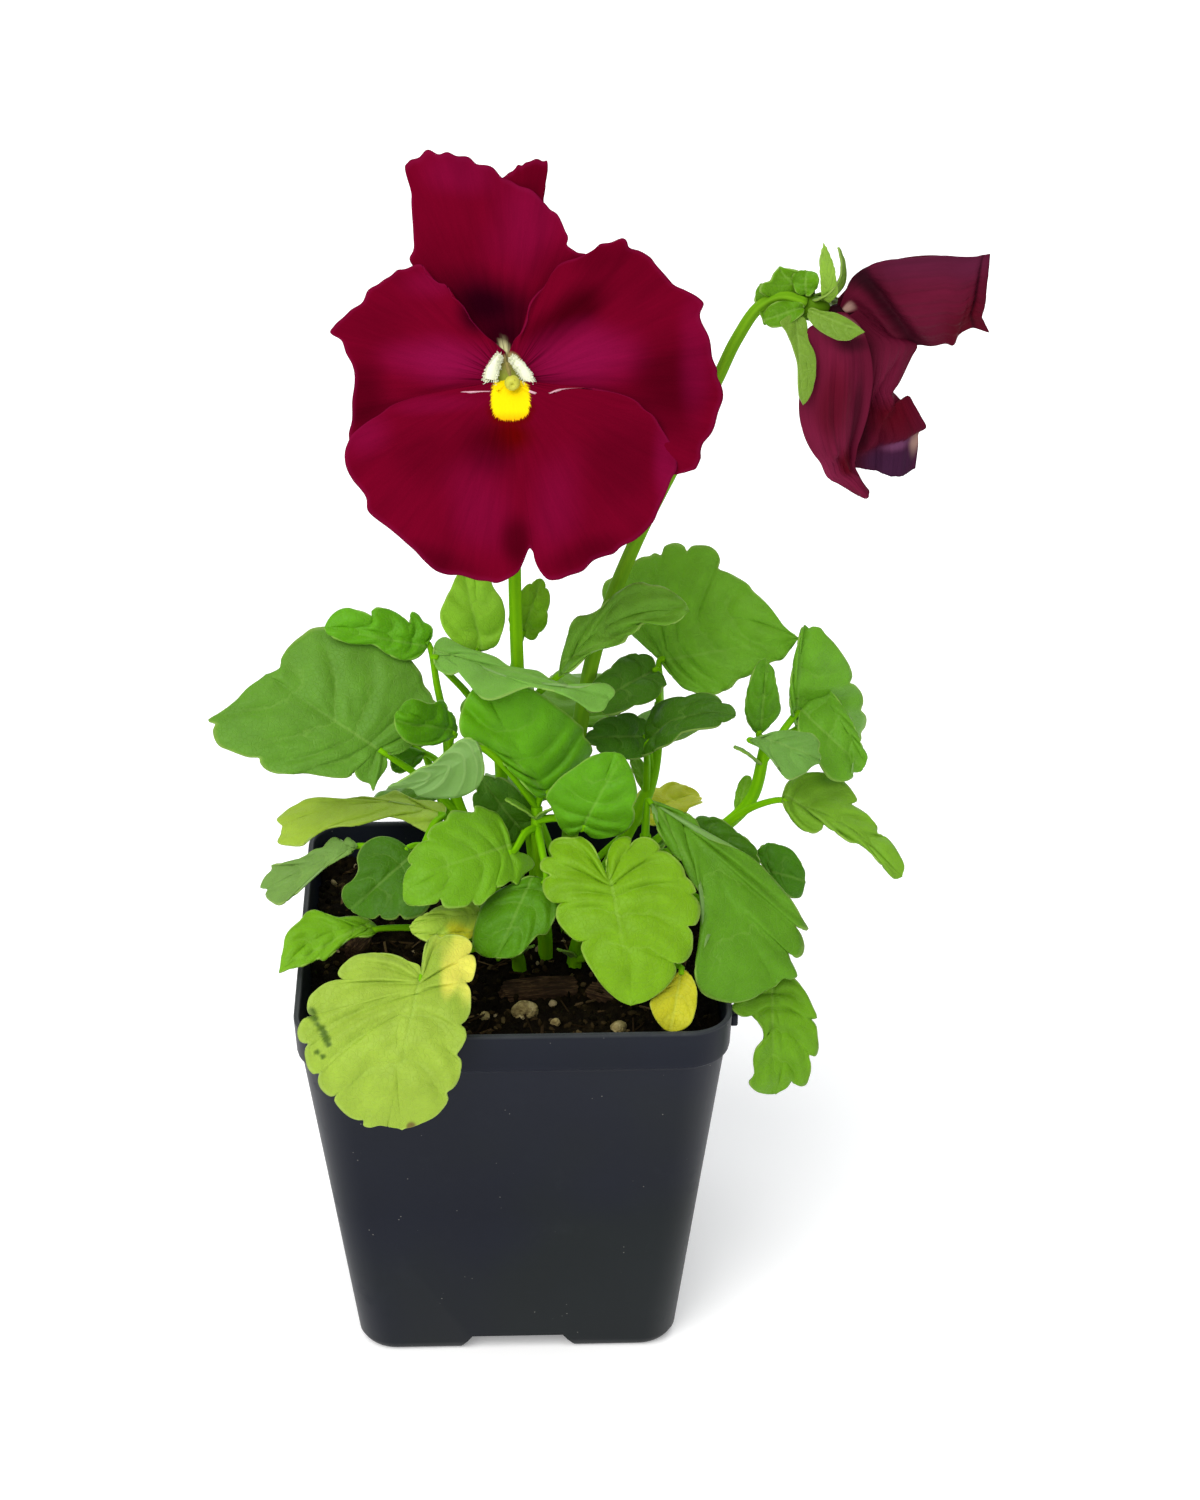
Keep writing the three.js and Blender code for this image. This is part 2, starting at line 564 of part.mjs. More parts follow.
    leaves: [
      { at: 1, base: [-20, 24, 117], tip: [-31, 43, 119], up: [-0.3, 0.3, 0.9], halves: [10, 10],
        teeth: 3 },
      { at: 0.8, base: [-18, 24, 103], tip: [-34, 38, 94], up: [-0.2, 0.2, 1], halves: [8, 8],
        teeth: 3 },
      { at: 1, base: [-4, 26, 119], tip: [1, 44, 123], up: [0.1, 0.5, 0.8], halves: [8, 8], teeth: 3 },
    ],
    stipules: [[0.6, 1.2]],
  },
  {
    name: 'stem_back', foot: [10, 14.5],
    path: [[11, 17, 86], [14, 23, 100], [16, 27, 112]],
    leaves: [
      { at: 1, base: [15, 31, 118], tip: [17, 54, 119], up: [0, 0.3, 0.9], halves: [10, 10] },
      { at: 0.9, base: [28, 27, 116], tip: [46, 38, 115.5], up: [0.2, 0.1, 1], halves: [7, 7],
        teeth: 3 },
      { at: 0.6, base: [5, 32, 99], tip: [0, 54, 92], up: [0, 0.4, 0.9], halves: [9, 9], teeth: 3 },
      { at: 0.5, base: [29, 27, 97], tip: [42, 37, 97.5], up: [0.1, -0.1, 1], halves: [6, 6],
        teeth: 3 },
    ],
    stipules: [[0.6, 1.8]],
  },
];

// The part of a stem that stands in the soil is straight, so that its hole is plain.
function standing(foot, next) {
  const [x, y] = foot;
  const [nx, ny, nz] = next;
  const slope = (z) => (z - soilLevel) / (nz - soilLevel);
  const at = (z) => [lerp(x, nx, slope(z)), lerp(y, ny, slope(z)), z];
  return [at(soilLevel - holeDepth), at(soilLevel - holeDepth / 2), at(soilLevel)];
}

function hole(foot, next) {
  const [bottom, , top] = standing(foot, next);
  const low = vec(...bottom);
  const ahead = vec(...top).sub(low).normalize();
  const length = holeDepth + holeRise;
  const body = new THREE.CylinderGeometry(holeRadius, holeRadius, length, holeSides);
  body.rotateX(Math.PI / 2);
  body.applyQuaternion(new THREE.Quaternion().setFromUnitVectors(vec(0, 0, 1), ahead));
  const centre = low.addScaledVector(ahead, length / 2 - gap);
  body.translate(...centre.toArray());
  return solid(body);
}

function leafyStem({ foot, path, leaves, stipules }) {
  const route = [...standing(foot, path[0]), ...path];
  const curve = new THREE.CatmullRomCurve3(route.map((p) => vec(...p)), false, 'centripetal');
  const parts = [stalk(route, stemFoot, stemTip, 5, 7)];
  for (const leaf of leaves) parts.push(petiole(leaf, curve), blade(leaf));
  for (const [at, turn] of stipules) parts.push(stipule(curve, at, turn));
  return fuse(parts);
}

// ---------------------------------------------------------------- open bloom

const bloomThroat = vec(1, -15, 218);
const bloomAxis = vec(0, -0.927, 0.375).normalize();      // the way that the bloom faces
const bloomUp = vec(0, 0.375, 0.927).normalize();
const bloomRight = bloomUp.clone().cross(bloomAxis);
const inBloom = new THREE.Matrix4().makeBasis(bloomRight, bloomUp, bloomAxis).setPosition(bloomThroat);

// Outlines of the petals in the face of the bloom: right and up from the throat.
const petals = [
  { name: 'upper back', layer: -4.2, cup: 2, outline: [
    [-3, 4], [-9, 20], [-6, 34], [0, 39.6], [4.6, 41.8], [7.8, 42], [7.6, 34], [9, 24], [6, 12], [3, 4]] },
  { name: 'upper front', layer: -2.6, cup: 2, outline: [
    [-3, 3], [-12, 14], [-18.2, 24], [-18.6, 34.5], [-19.6, 41], [-15.3, 43.8], [-10, 43.2],
    [-1, 38.8], [5, 35.8], [10.3, 30.6], [11.7, 26], [8, 13], [3, 3]] },
  { name: 'left', layer: -0.6, cup: 3, outline: [
    [0, 4], [-9, 13.6], [-12, 17.6], [-17.2, 21.4], [-21, 20.9], [-27, 17.5], [-34, 10],
    [-30.5, 1.5], [-31, -8], [-30, -17], [-16, -13], [-1, -3]] },
  { name: 'right', layer: -0.4, cup: 3, outline: [
    [1, -3], [14, -13], [30, -19], [36.6, -17], [38.9, -11.4], [40.9, -2.3], [38.4, 8],
    [37.4, 14.3], [30, 19.6], [21.7, 26.3], [13.5, 24.2], [7, 18], [3.6, 12], [0, 4]] },
  { name: 'lower', layer: 1.6, cup: 4, outline: [
    [3, -1.6], [11.8, -1.9], [22, -3.4], [29.2, -9.1], [31.9, -17], [27, -29.4], [17, -35.5],
    [7, -39], [3.5, -33], [-1.5, -39.2], [-10.5, -38.2], [-18.6, -33.3], [-27.7, -24.6],
    [-32.2, -15], [-28.8, -8.5], [-18, -3.4], [-3, -1.6]] },
];

const petalReach = 40;
const throatReach = 9;           // the petals come together within this radius
const petalRuffle = 0.9;

function petal({ outline, layer, cup }, marginSteps, rows) {
  const edge = new THREE.CatmullRomCurve3(outline.map(([x, y]) => vec(x, y, 0)), false, 'centripetal');
  const depth = (x, y) => {
    const radius = Math.hypot(x, y);
    const turn = Math.atan2(y, x);
    const rise = layer * clamp01(radius / throatReach);
    const ruffle = petalRuffle * Math.sin(9 * turn + layer) * (radius / petalReach) ** 3;
    return rise - cup * (radius / petalReach) ** 2 + ruffle;
  };
  const points = [vec(0, 0, 0)];
  for (let row = 1; row <= rows; row += 1) {
    for (let k = 0; k <= marginSteps; k += 1) {
      const rim = edge.getPoint(k / marginSteps);
      const share = (row / rows) ** 0.8;
      const x = rim.x * share;
      const y = rim.y * share;
      points.push(vec(x, y, depth(x, y)));
    }
  }
  const around = marginSteps + 1;
  const faces = [];
  for (let k = 0; k < marginSteps; k += 1) faces.push([0, 2 + k, 1 + k]);
  for (let row = 0; row + 1 < rows; row += 1) {
    for (let k = 0; k < marginSteps; k += 1) {
      const a = 1 + row * around + k;
      faces.push([a, a + 1, a + around], [a + 1, a + around + 1, a + around]);
    }
  }
  return thicken(points, faces, petalThickness);
}

const marginPoints = 1.25;       // points of a petal's margin for each point of its outline
const petalRows = 3;
const hub = { front: 3, back: 2.4, depth: 3, behind: 1 };     // where the five claws meet
const spurPath = [[0, -1.8, -0.8], [0, -4.2, -4], [0, -4.8, -7.5]];
const spurRadii = [1.1, 0.9];
const styleRadius = 0.8;
const styleBore = 1.3;           // radius of the hole that the style passes through
const boreLength = 20;

function petalsBody() {
  const blades = petals.map((one) => (
    petal(one, Math.round(marginPoints * one.outline.length), petalRows)));
  const centre = new THREE.CylinderGeometry(hub.front, hub.back, hub.depth, 7);
  centre.rotateX(Math.PI / 2);
  centre.translate(0, 0, -hub.behind);
  const spur = stalk(spurPath, ...spurRadii, 6, 3);
  const bore = new THREE.CylinderGeometry(styleBore, styleBore, boreLength, 6);
  bore.rotateX(Math.PI / 2);
  const body = fuse([centre, spur, ...blades]).subtract(solid(bore));
  return geometryOf(body).applyMatrix4(inBloom);
}

// The calyx behind the petals: radii from the bloom's axis, and heights on it.
const calyx = { radius: 2.3, height: -5.4, sides: 7, rings: 5 };
const sepal = { base: [1, -5.6], tip: [13, -9.2], half: 2, lean: 0.3 };
const ear = { base: [1.2, -5.8], tip: [3.4, -9.4], half: 1.6 };
const stigma = { radius: 1.5, at: [0, 0.2, 2.9] };
const stylePath = [[0, 0, -6], [0, 0, -2], [0, 0, 2.4]];

const ball = (radius, [x, y, z]) => (
  new THREE.SphereGeometry(radius, calyx.sides, calyx.rings).translate(x, y, z));

// Five sepals round a small receptacle, each with a blunt ear behind it, and the style that
// reaches through the petals to its round stigma.
function openHead() {
  const parts = [ball(calyx.radius, [0, 0, calyx.height]), ball(stigma.radius, stigma.at),
    stalk(stylePath, styleRadius, styleRadius, 6, 2)];
  for (let k = 0; k < 5; k += 1) {
    const turn = Math.PI / 2 + 2 * Math.PI * k / 5;
    const out = ([reach, height]) => [Math.cos(turn) * reach, Math.sin(turn) * reach, height];
    const plain = { teeth: 0, lobe: [0, 0], wave: 0 };
    parts.push(blade({
      ...plain, base: out(sepal.base), tip: out(sepal.tip), up: out([-sepal.lean, 1]),
      halves: [sepal.half, sepal.half], widest: 0.35, bow: -0.06, fold: 0.25,
    }));
    parts.push(blade({
      ...plain, base: out(ear.base), tip: out(ear.tip), up: out([1, 1]),
      halves: [ear.half, ear.half], widest: -0.2, bow: 0.05, fold: 0.1,
    }));
  }
  return parts.map((part) => part.applyMatrix4(inBloom));
}

const openPath = [[5.5, 3, 95], [2.6, 2, 130], [1.6, 2, 160], [1.6, 2.4, 190], [1.6, 2.4, 205],
  [1.3, 1.4, 211.4], [1, -4.2, 214.2], [1, -9.8, 216]];
const openSteps = 17;

function openStalkBody() {
  const route = [...standing(openFoot, openPath[0]), ...openPath];
  return fuse([stalk(route, ...openRadii, 6, openSteps), ...openHead()]);
}

// ---------------------------------------------------------------- wilted bloom

// A limp petal hangs between two edges, pleated along its length: both edges run from the
// claw outwards, and the pleats fade towards the claw.
const limpPetals = [
  { name: 'upper', near: [[66, 5, 227], [72.4, 3, 233.6], [80, 2, 235], [88, 2, 235], [94.8, 4, 234.8]],
    far: [[66, 5, 224], [73.5, 6.5, 220], [81, 8, 215.8], [88.5, 7.5, 216.2], [94.8, 6, 219.8]],
    pleats: 2.5, fold: 1.8 },
  { name: 'upper back', near: [[66, 6, 226], [72, 10, 230.5], [79, 12, 232], [87, 13, 232], [92, 12, 231]],
    far: [[66, 6, 224], [73, 12, 221], [80, 14, 218], [86, 14, 217.5], [90, 13, 218]], pleats: 2, fold: 1.2 },
  { name: 'hanging', near: [[63.5, 3.5, 223], [60, 0.5, 217.5], [59, -0.7, 206], [60.6, -0.7, 197], [70.6, 1, 186.4]],
    far: [[66, 4, 222.5], [72, 2, 216.5], [72.5, 1, 208], [71.5, 1.5, 198], [72.6, 1, 187]],
    pleats: 3, fold: 1.6 },
  { name: 'hanging back', near: [[64, 6, 223], [61.5, 9, 214], [61, 10, 205], [63, 10, 198], [67, 9, 193]],
    far: [[66, 6, 223], [76, 10, 213], [77, 11, 205], [75, 10, 197], [73, 9, 192]], pleats: 2, fold: 1.4 },
  { name: 'lower', near: [[66, 5, 222], [70.5, 4.5, 215], [70, 6, 206], [69.5, 7, 197], [70.8, 6, 189.9]],
    far: [[67.5, 5.5, 222.5], [81.5, 8, 214.6], [78.4, 8, 206.5], [84, 7.5, 198.6], [82, 6, 189.5]],
    pleats: 2.5, fold: 1.5 },
];

const claw = { radius: 2.6, stretch: 1.45, at: [66.2, 5, 223.6] };   // the petals' common root
const clawRun = 0.4;             // share of a petal's length in which its pleats rise

function limpPetal({ near, far, pleats, fold }, steps, across) {
  const curves = [near, far].map((side) => (
    new THREE.CatmullRomCurve3(side.map((p) => vec(...p)), false, 'centripetal')));
  const points = [];
  for (let row = 0; row <= steps; row += 1) {
    const s = row / steps;
    const [left, right] = curves.map((curve) => curve.getPoint(s));
    const along = curves[0].getTangent(s);
    const normal = right.clone().sub(left).cross(along).normalize();
    for (let k = 0; k <= across; k += 1) {
      const t = k / across;
      const pleat = fold * Math.sin(Math.PI * pleats * t) * Math.sin(Math.PI * t) * clamp01(s / clawRun);
      points.push(left.clone().lerp(right, t).addScaledVector(normal, pleat));
    }
  }
  const faces = [];
  for (let row = 0; row < steps; row += 1) {
    for (let k = 0; k < across; k += 1) {
      const a = row * (across + 1) + k;
      const b = a + across + 1;
      faces.push([a, a + 1, b + 1], [a, b + 1, b]);
    }
  }
  return thicken(points, faces, petalThickness);
}

function wiltedPetalsBody() {
  const core = ball(claw.radius, [0, 0, 0]);
  core.scale(claw.stretch, 1, 1);
  core.translate(...claw.at);
  return fuse([core, ...limpPetals.map((one) => limpPetal(one, 5, 4))]);
}

const wiltedPath = [[12.2, 5.5, 95], [14, 6, 125], [17.5, 6.4, 147], [22, 6, 162.5], [27.5, 5.4, 177],
  [35, 5, 193.3], [42.5, 5, 210], [46, 5, 218], [50.6, 5, 225], [55.4, 5, 226.8], [59.5, 5, 225.4]];

const wiltedSteps = 20;
const wiltedCalyx = [60, 5, 225.4];

const wiltedSepals = [
  { base: [60.8, 4.5, 226], tip: [62.6, 2, 238.8], up: [0.3, -1, 0], halves: [1.9, 1.5], bow: 0.04 },
  { base: [61, 5.6, 225.4], tip: [66, 9, 235.6], up: [0.8, -0.6, -0.2], halves: [1.6, 1.6], bow: 0.3 },
  { base: [59.5, 2.8, 225], tip: [70.8, -1, 221.4], up: [0, -0.9, 0.4], halves: [2.5, 2.3], bow: 0.05 },
  { base: [57.3, 2.3, 224], tip: [58.8, -3.4, 206.9], up: [0.2, -1, 0], halves: [2.2, 2.2], bow: 0.03,
    sway: 0.06 },
  { base: [60.5, 7, 226], tip: [68, 13, 221], up: [0.2, 0.8, 0.4], halves: [2, 2], bow: 0.05 },
];

const wiltedEars = [
  { base: [59, 4, 226.5], tip: [53.6, 3.4, 232.6], up: [0.3, -0.8, 0.6], halves: [3.2, 3] },
  { base: [58.5, 5, 226.5], tip: [49.8, 4.6, 228.6], up: [-0.3, -0.5, 0.8], halves: [2.6, 2.8] },
  { base: [59, 4, 225], tip: [51.2, 2, 223], up: [-0.2, -0.9, 0.5], halves: [2.3, 2.3] },
  { base: [59, 6, 225], tip: [53, 9.5, 224], up: [-0.2, 0.9, 0.5], halves: [2.5, 2.5] },
  { base: [59.5, 5.5, 227], tip: [59.6, 6.6, 231.6], up: [-0.2, -0.8, 0.5], halves: [2.6, 2.6] },
];

function wiltedStalkBody() {
  const plain = { teeth: 0, lobe: [0, 0], wave: 0 };
  const sepals = wiltedSepals.map((one) => blade({ ...plain, widest: 0.3, fold: 0.2, ...one }));
  const ears = wiltedEars.map((one) => blade({ ...plain, widest: -0.3, fold: 0.15, ...one }));
  const route = [...standing(wiltedFoot, wiltedPath[0]), ...wiltedPath];
  return fuse([stalk(route, ...wiltedRadii, 6, wiltedSteps), ball(calyx.radius, wiltedCalyx),
    ...sepals, ...ears]);
}

// ---------------------------------------------------------------- the whole

const finish = (color, roughness, metalness = 0) => (
  new THREE.MeshStandardMaterial({ color, roughness, metalness, side: THREE.DoubleSide }));

const part = new THREE.Group();

function addPiece(name, geometry, material) {
  const mesh = new THREE.Mesh(geometry, material);
  mesh.name = name;
  part.add(mesh);
}

addPiece('pot', geometryOf(potBody()), finish(0x2d3034, 0.45));

const feet = stems.map(({ foot, path }) => hole(foot, path[0]));
feet.push(hole(openFoot, openPath[0]), hole(wiltedFoot, wiltedPath[0]));
const hollows = [
  ...crumbs.map(({ at, size, turn, sides }) => solid(lump(sides, size, turn, at, gap))),
  ...chips.map(({ at, size, turn }) => solid(chip(size, turn, at, gap))),
];
addPiece('soil', geometryOf(soilBody([...feet, ...hollows])), finish(0x1d130c, 0.95));

for (const { name, at, size, turn, sides } of crumbs) {
  addPiece(name, welded(lump(sides, size, turn, at, 0)), finish(0xb9a67d, 0.9));
}
for (const { name, at, size, turn } of chips) {
  addPiece(name, welded(chip(size, turn, at, 0)), finish(0x7a5330, 0.85));
}
for (const stem of stems) {
  addPiece(stem.name, geometryOf(leafyStem(stem)), finish(0x67ae22, 0.5));
}
addPiece('bloom_stalk', geometryOf(openStalkBody()), finish(0x7fb62a, 0.55));
addPiece('bloom_petals', petalsBody(), finish(0x7c0427, 0.65));
addPiece('wilted_stalk', geometryOf(wiltedStalkBody()), finish(0x7fb62a, 0.55));
addPiece('wilted_petals', geometryOf(wiltedPetalsBody()), finish(0x5c1830, 0.7));

export default part;
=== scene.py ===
# Lists of places are millimetres.
import math
import random

import bpy
import numpy as np
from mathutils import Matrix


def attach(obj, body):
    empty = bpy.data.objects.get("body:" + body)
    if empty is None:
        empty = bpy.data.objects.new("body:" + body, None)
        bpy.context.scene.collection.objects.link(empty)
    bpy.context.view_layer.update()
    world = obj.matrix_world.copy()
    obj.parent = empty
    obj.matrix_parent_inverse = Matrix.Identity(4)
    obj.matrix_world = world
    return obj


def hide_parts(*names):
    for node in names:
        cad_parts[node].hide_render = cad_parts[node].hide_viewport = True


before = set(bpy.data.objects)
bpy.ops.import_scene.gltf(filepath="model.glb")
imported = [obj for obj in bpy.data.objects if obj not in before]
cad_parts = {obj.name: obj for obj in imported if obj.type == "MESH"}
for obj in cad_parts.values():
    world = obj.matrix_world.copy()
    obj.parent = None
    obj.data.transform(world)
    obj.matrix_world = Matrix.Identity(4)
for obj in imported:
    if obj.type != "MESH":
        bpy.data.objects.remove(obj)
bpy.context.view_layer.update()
print("frame loaded with", len(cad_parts), "nodes")

mm = 0.001
pi = math.pi


# small helpers for meshes

def deselectAll():
    bpy.ops.object.select_all(action="DESELECT")


def activate(piece):
    deselectAll()
    piece.select_set(True)
    bpy.context.view_layer.objects.active = piece


def pointsOf(piece):
    flat = np.zeros(len(piece.data.vertices) * 3)
    piece.data.vertices.foreach_get("co", flat)
    return flat.reshape(-1, 3)


def place(piece, points):
    piece.data.vertices.foreach_set("co", np.asarray(points, float).ravel())
    piece.data.update()


def applyModifier(piece, kind, **settings):
    activate(piece)
    modifier = piece.modifiers.new(kind.lower(), kind)
    for key, value in settings.items():
        setattr(modifier, key, value)
    bpy.ops.object.modifier_apply(modifier=modifier.name)


def editAll(piece, *steps):
    activate(piece)
    bpy.ops.object.mode_set(mode="EDIT")
    bpy.ops.mesh.select_all(action="SELECT")
    for step in steps:
        step()
    bpy.ops.object.mode_set(mode="OBJECT")


def weldDoubles(piece, distance=0.002):
    editAll(piece, lambda: bpy.ops.mesh.remove_doubles(threshold=distance * mm))


def smooth(piece, angle=None):
    activate(piece)
    if angle is None:
        bpy.ops.object.shade_smooth()
    else:
        bpy.ops.object.shade_smooth_by_angle(angle=math.radians(angle))


def join(pieces, name):
    deselectAll()
    for piece in pieces:
        piece.select_set(True)
    bpy.context.view_layer.objects.active = pieces[0]
    if len(pieces) > 1:
        bpy.ops.object.join()
    joined = bpy.context.view_layer.objects.active
    joined.name = name
    joined.data.name = name
    return joined


# a smooth ball, stretched about its middle
def ball(radius, middle, stretch=(1, 1, 1)):
    deselectAll()
    bpy.ops.mesh.primitive_uv_sphere_add(segments=24, ring_count=16, radius=radius)
    piece = bpy.context.object
    place(piece, (pointsOf(piece) * stretch + middle) * mm)
    smooth(piece)
    return piece


# a flat grid, and how far each of its points is along (0 to 1) and across (0 to 1)
def sheet(columns, rows):
    deselectAll()
    bpy.ops.mesh.primitive_grid_add(x_subdivisions=columns, y_subdivisions=rows, size=1)
    piece = bpy.context.object
    flat = pointsOf(piece)
    return piece, flat[:, 0] + 0.5, flat[:, 1] + 0.5


def note(piece, name, values):
    values = np.asarray(values, float)
    kind, key = ("FLOAT_VECTOR", "vector") if values.ndim > 1 else ("FLOAT", "value")
    layer = piece.data.attributes.new(name, kind, "POINT")
    layer.data.foreach_set(key, values.ravel())


def paint(piece, name, colours):
    layer = piece.data.attributes.new(name, "FLOAT_COLOR", "POINT")
    full = np.ones((len(piece.data.vertices), 4))
    full[:, :3] = colours
    layer.data.foreach_set("color", full.ravel())


def finishPiece(piece, slot, *nodes):
    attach(piece, "root")
    if nodes:
        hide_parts(*nodes)
    return piece


# small helpers for curves in space

def unit(vector):
    vector = np.asarray(vector, float)
    return vector / np.maximum(np.linalg.norm(vector, axis=-1, keepdims=True), 1e-12)


def smoothstep(low, high, value):
    t = np.clip((value - low) / (high - low), 0, 1)
    return t * t * (3 - 2 * t)


# a smooth curve through points, at shares of its way: centripetal, so it never loops
def along(path, shares):
    points = [np.asarray(p, float) for p in path]
    points = [2 * points[0] - points[1], *points, 2 * points[-1] - points[-2]]
    spans = len(points) - 3
    made = []
    for share in np.atleast_1d(shares):
        place = min(max(share, 0), 1) * spans
        k = min(int(place), spans - 1)
        w = place - k
        a, b, c, d = points[k:k + 4]
        ab, bc, cd = [max(np.linalg.norm(q - p), 1e-6) ** 0.5 for p, q in ((a, b), (b, c), (c, d))]
        leave = ((b - a) / ab - (c - a) / (ab + bc) + (c - b) / bc) * bc
        reach = ((c - b) / bc - (d - b) / (bc + cd) + (d - c) / cd) * bc
        made.append(b + leave * w + (3 * (c - b) - 2 * leave - reach) * w ** 2
                    + (2 * (b - c) + leave + reach) * w ** 3)
    return np.array(made)


def evenly(path, count):
    fine = along(path, np.linspace(0, 1, 40 * len(path)))
    way = np.concatenate([[0], np.cumsum(np.linalg.norm(np.diff(fine, axis=0), axis=1))])
    even = np.linspace(0, way[-1], count)
    return np.stack([np.interp(even, way, fine[:, i]) for i in range(3)], axis=1)


# a stalk along a path: closed at both ends, with low ridges along it
def stalk(path, radii, sides=14, steps=40, ridges=5, depth=0.05, flute=None):
    centres = evenly(path, steps + 1)
    heading = unit(np.gradient(centres, axis=0))
    side = np.cross(heading[0], [0.3, 1, 0.2])
    sideways = []
    for ahead in heading:
        side = unit(side - ahead * np.dot(side, ahead))
        sideways.append(side)
    sideways = np.array(sideways)
    other = np.cross(heading, sideways)
    piece, u, v = sheet(sides, steps + 2)
    row = np.rint(v * (steps + 2)).astype(int)
    ring = np.clip(row - 1, 0, steps)
    closed = np.where((row == 0) | (row == steps + 2), 0, 1)
    share = ring / steps
    radius = np.interp(share, np.linspace(0, 1, len(radii)), radii)
    turn = 2 * pi * u
    relief = 1 + depth * np.cos(ridges * turn)
    if flute is not None:      # a groove along one side
        relief = relief - flute * np.exp(-((turn - pi) / 0.5) ** 2)
    reach = (radius * relief * closed)[:, None]
    points = centres[ring] + reach * (np.cos(turn)[:, None] * sideways[ring]
                                      + np.sin(turn)[:, None] * other[ring])
    place(piece, points * mm)
    note(piece, "run", np.stack([share, u, radius], axis=1))
    weldDoubles(piece)
    editAll(piece, lambda: bpy.ops.mesh.normals_make_consistent(inside=False))
    smooth(piece)
    return piece


# shader maths as plain expressions on the outputs of nodes

class Value:
    def __init__(self, shade, socket):
        self.shade = shade
        self.socket = socket

    def maths(self, operation, *others):
        return self.shade.node("ShaderNodeMath", dict(enumerate([self, *others])),
                               operation=operation)

    def __add__(self, other):
        return self.maths("ADD", other)

    def __sub__(self, other):
        return self.maths("SUBTRACT", other)

    def __mul__(self, other):
        return self.maths("MULTIPLY", other)

    def __truediv__(self, other):
        return self.maths("DIVIDE", other)

    def __pow__(self, other):
        return self.maths("POWER", other)

    def __neg__(self):
        return self.maths("MULTIPLY", -1.0)

    def __radd__(self, other):
        return self + other

    def __rmul__(self, other):
        return self * other

    def __rsub__(self, other):
        return self.shade.node("ShaderNodeMath", {0: other, 1: self}, operation="SUBTRACT")

    def __rtruediv__(self, other):
        return self.shade.node("ShaderNodeMath", {0: other, 1: self}, operation="DIVIDE")

    def size(self):
        return self.maths("ABSOLUTE")

    def sine(self):
        return self.maths("SINE")

    def fraction(self):
        return self.maths("FRACT")

    def capped(self):
        self.socket.node.use_clamp = True
        return self

    def most(self, other):
        return self.maths("MAXIMUM", other)


class Shade:
    def __init__(self, name):
        self.material = bpy.data.materials.new(name)
        self.material.use_nodes = True
        self.tree = self.material.node_tree
        self.tree.nodes.clear()

    # any node: its own settings first, then the values or links of its sockets
    def node(self, kind, inputs=None, output=0, **settings):
        made = self.tree.nodes.new(kind)
        for key, value in settings.items():
            if key == "stops":
                self.setStops(made.color_ramp, value)
            else:
                setattr(made, key, value)
        for key, value in (inputs or {}).items():
            if isinstance(value, Value):
                self.tree.links.new(value.socket, made.inputs[key])
            else:
                made.inputs[key].default_value = value
        return None if output is None else Value(self, made.outputs[output])

    def setStops(self, ramp, stops):
        while len(ramp.elements) > 1:
            ramp.elements.remove(ramp.elements[0])
        for k, (position, colour) in enumerate(stops):
            stop = ramp.elements[0] if k == 0 else ramp.elements.new(position)
            stop.position = position
            stop.color = colour if len(colour) == 4 else (*colour, 1)

    def output(self, node, key):
        return Value(self, node.socket.node.outputs[key])

    def spot(self):
        return self.node("ShaderNodeTexCoord", output="Object")

    def attribute(self, name, output="Vector"):
        return self.node("ShaderNodeAttribute", output=output, attribute_name=name)

    def split(self, vector):
        parts = self.node("ShaderNodeSeparateXYZ", {0: vector})
        return [self.output(parts, k) for k in range(3)]

    def vector(self, x, y, z):
        return self.node("ShaderNodeCombineXYZ", {0: x, 1: y, 2: z})

    def stretched(self, vector, scale, shift=(0, 0, 0)):
        return self.node("ShaderNodeMapping", {"Vector": vector, "Scale": scale, "Location": shift})

    def noise(self, vector, scale, detail=3.0, roughness=0.5, distortion=0.0):
        return self.node("ShaderNodeTexNoise", {
            "Vector": vector, "Scale": scale, "Detail": detail, "Roughness": roughness,
            "Distortion": distortion})

    def cells(self, vector, scale, feature="F1", output=0):
        return self.node("ShaderNodeTexVoronoi", {"Vector": vector, "Scale": scale}, output,
                         feature=feature)

    def ramp(self, value, *stops):
        return self.node("ShaderNodeValToRGB", {0: value}, stops=stops)

    def step(self, value, low, high):
        return self.node("ShaderNodeMapRange", {"Value": value, "From Min": low, "From Max": high},
                         interpolation_type="SMOOTHSTEP")

    def mix(self, factor, first, second, blend="MIX"):
        first, second = [one if isinstance(one, Value) else (*one, 1) for one in (first, second)]
        return self.node("ShaderNodeMix", {0: factor, 6: first, 7: second}, 2, data_type="RGBA",
                         blend_type=blend)

    def scaled(self, colour, value):
        grey = self.node("ShaderNodeCombineColor", {0: value, 1: value, 2: value})
        return self.mix(1.0, colour, grey, "MULTIPLY")

    def bump(self, height, strength, distance, normal=None):
        inputs = {"Height": height, "Strength": strength, "Distance": distance * mm}
        if normal:
            inputs["Normal"] = normal
        return self.node("ShaderNodeBump", inputs)

    def surface(self, **sockets):
        named = {key.replace("_", " "): value for key, value in sockets.items()}
        principled = self.node("ShaderNodeBsdfPrincipled", named)
        self.node("ShaderNodeOutputMaterial", {"Surface": principled}, None)
        return self.material


# the camera stands where the photograph was taken from; the floor and the light are plain
view = {
    "place": (0, -642.88, 473.78), "down": 28.199, "turn": 1.6774, "lens": 84.05, "sensor": 36,
    "floorColour": (0.93, 0.93, 0.935), "sky": (0.95, 0.97, 1.0), "skyStrength": 0.52, "floorGlow": 0.22,
}


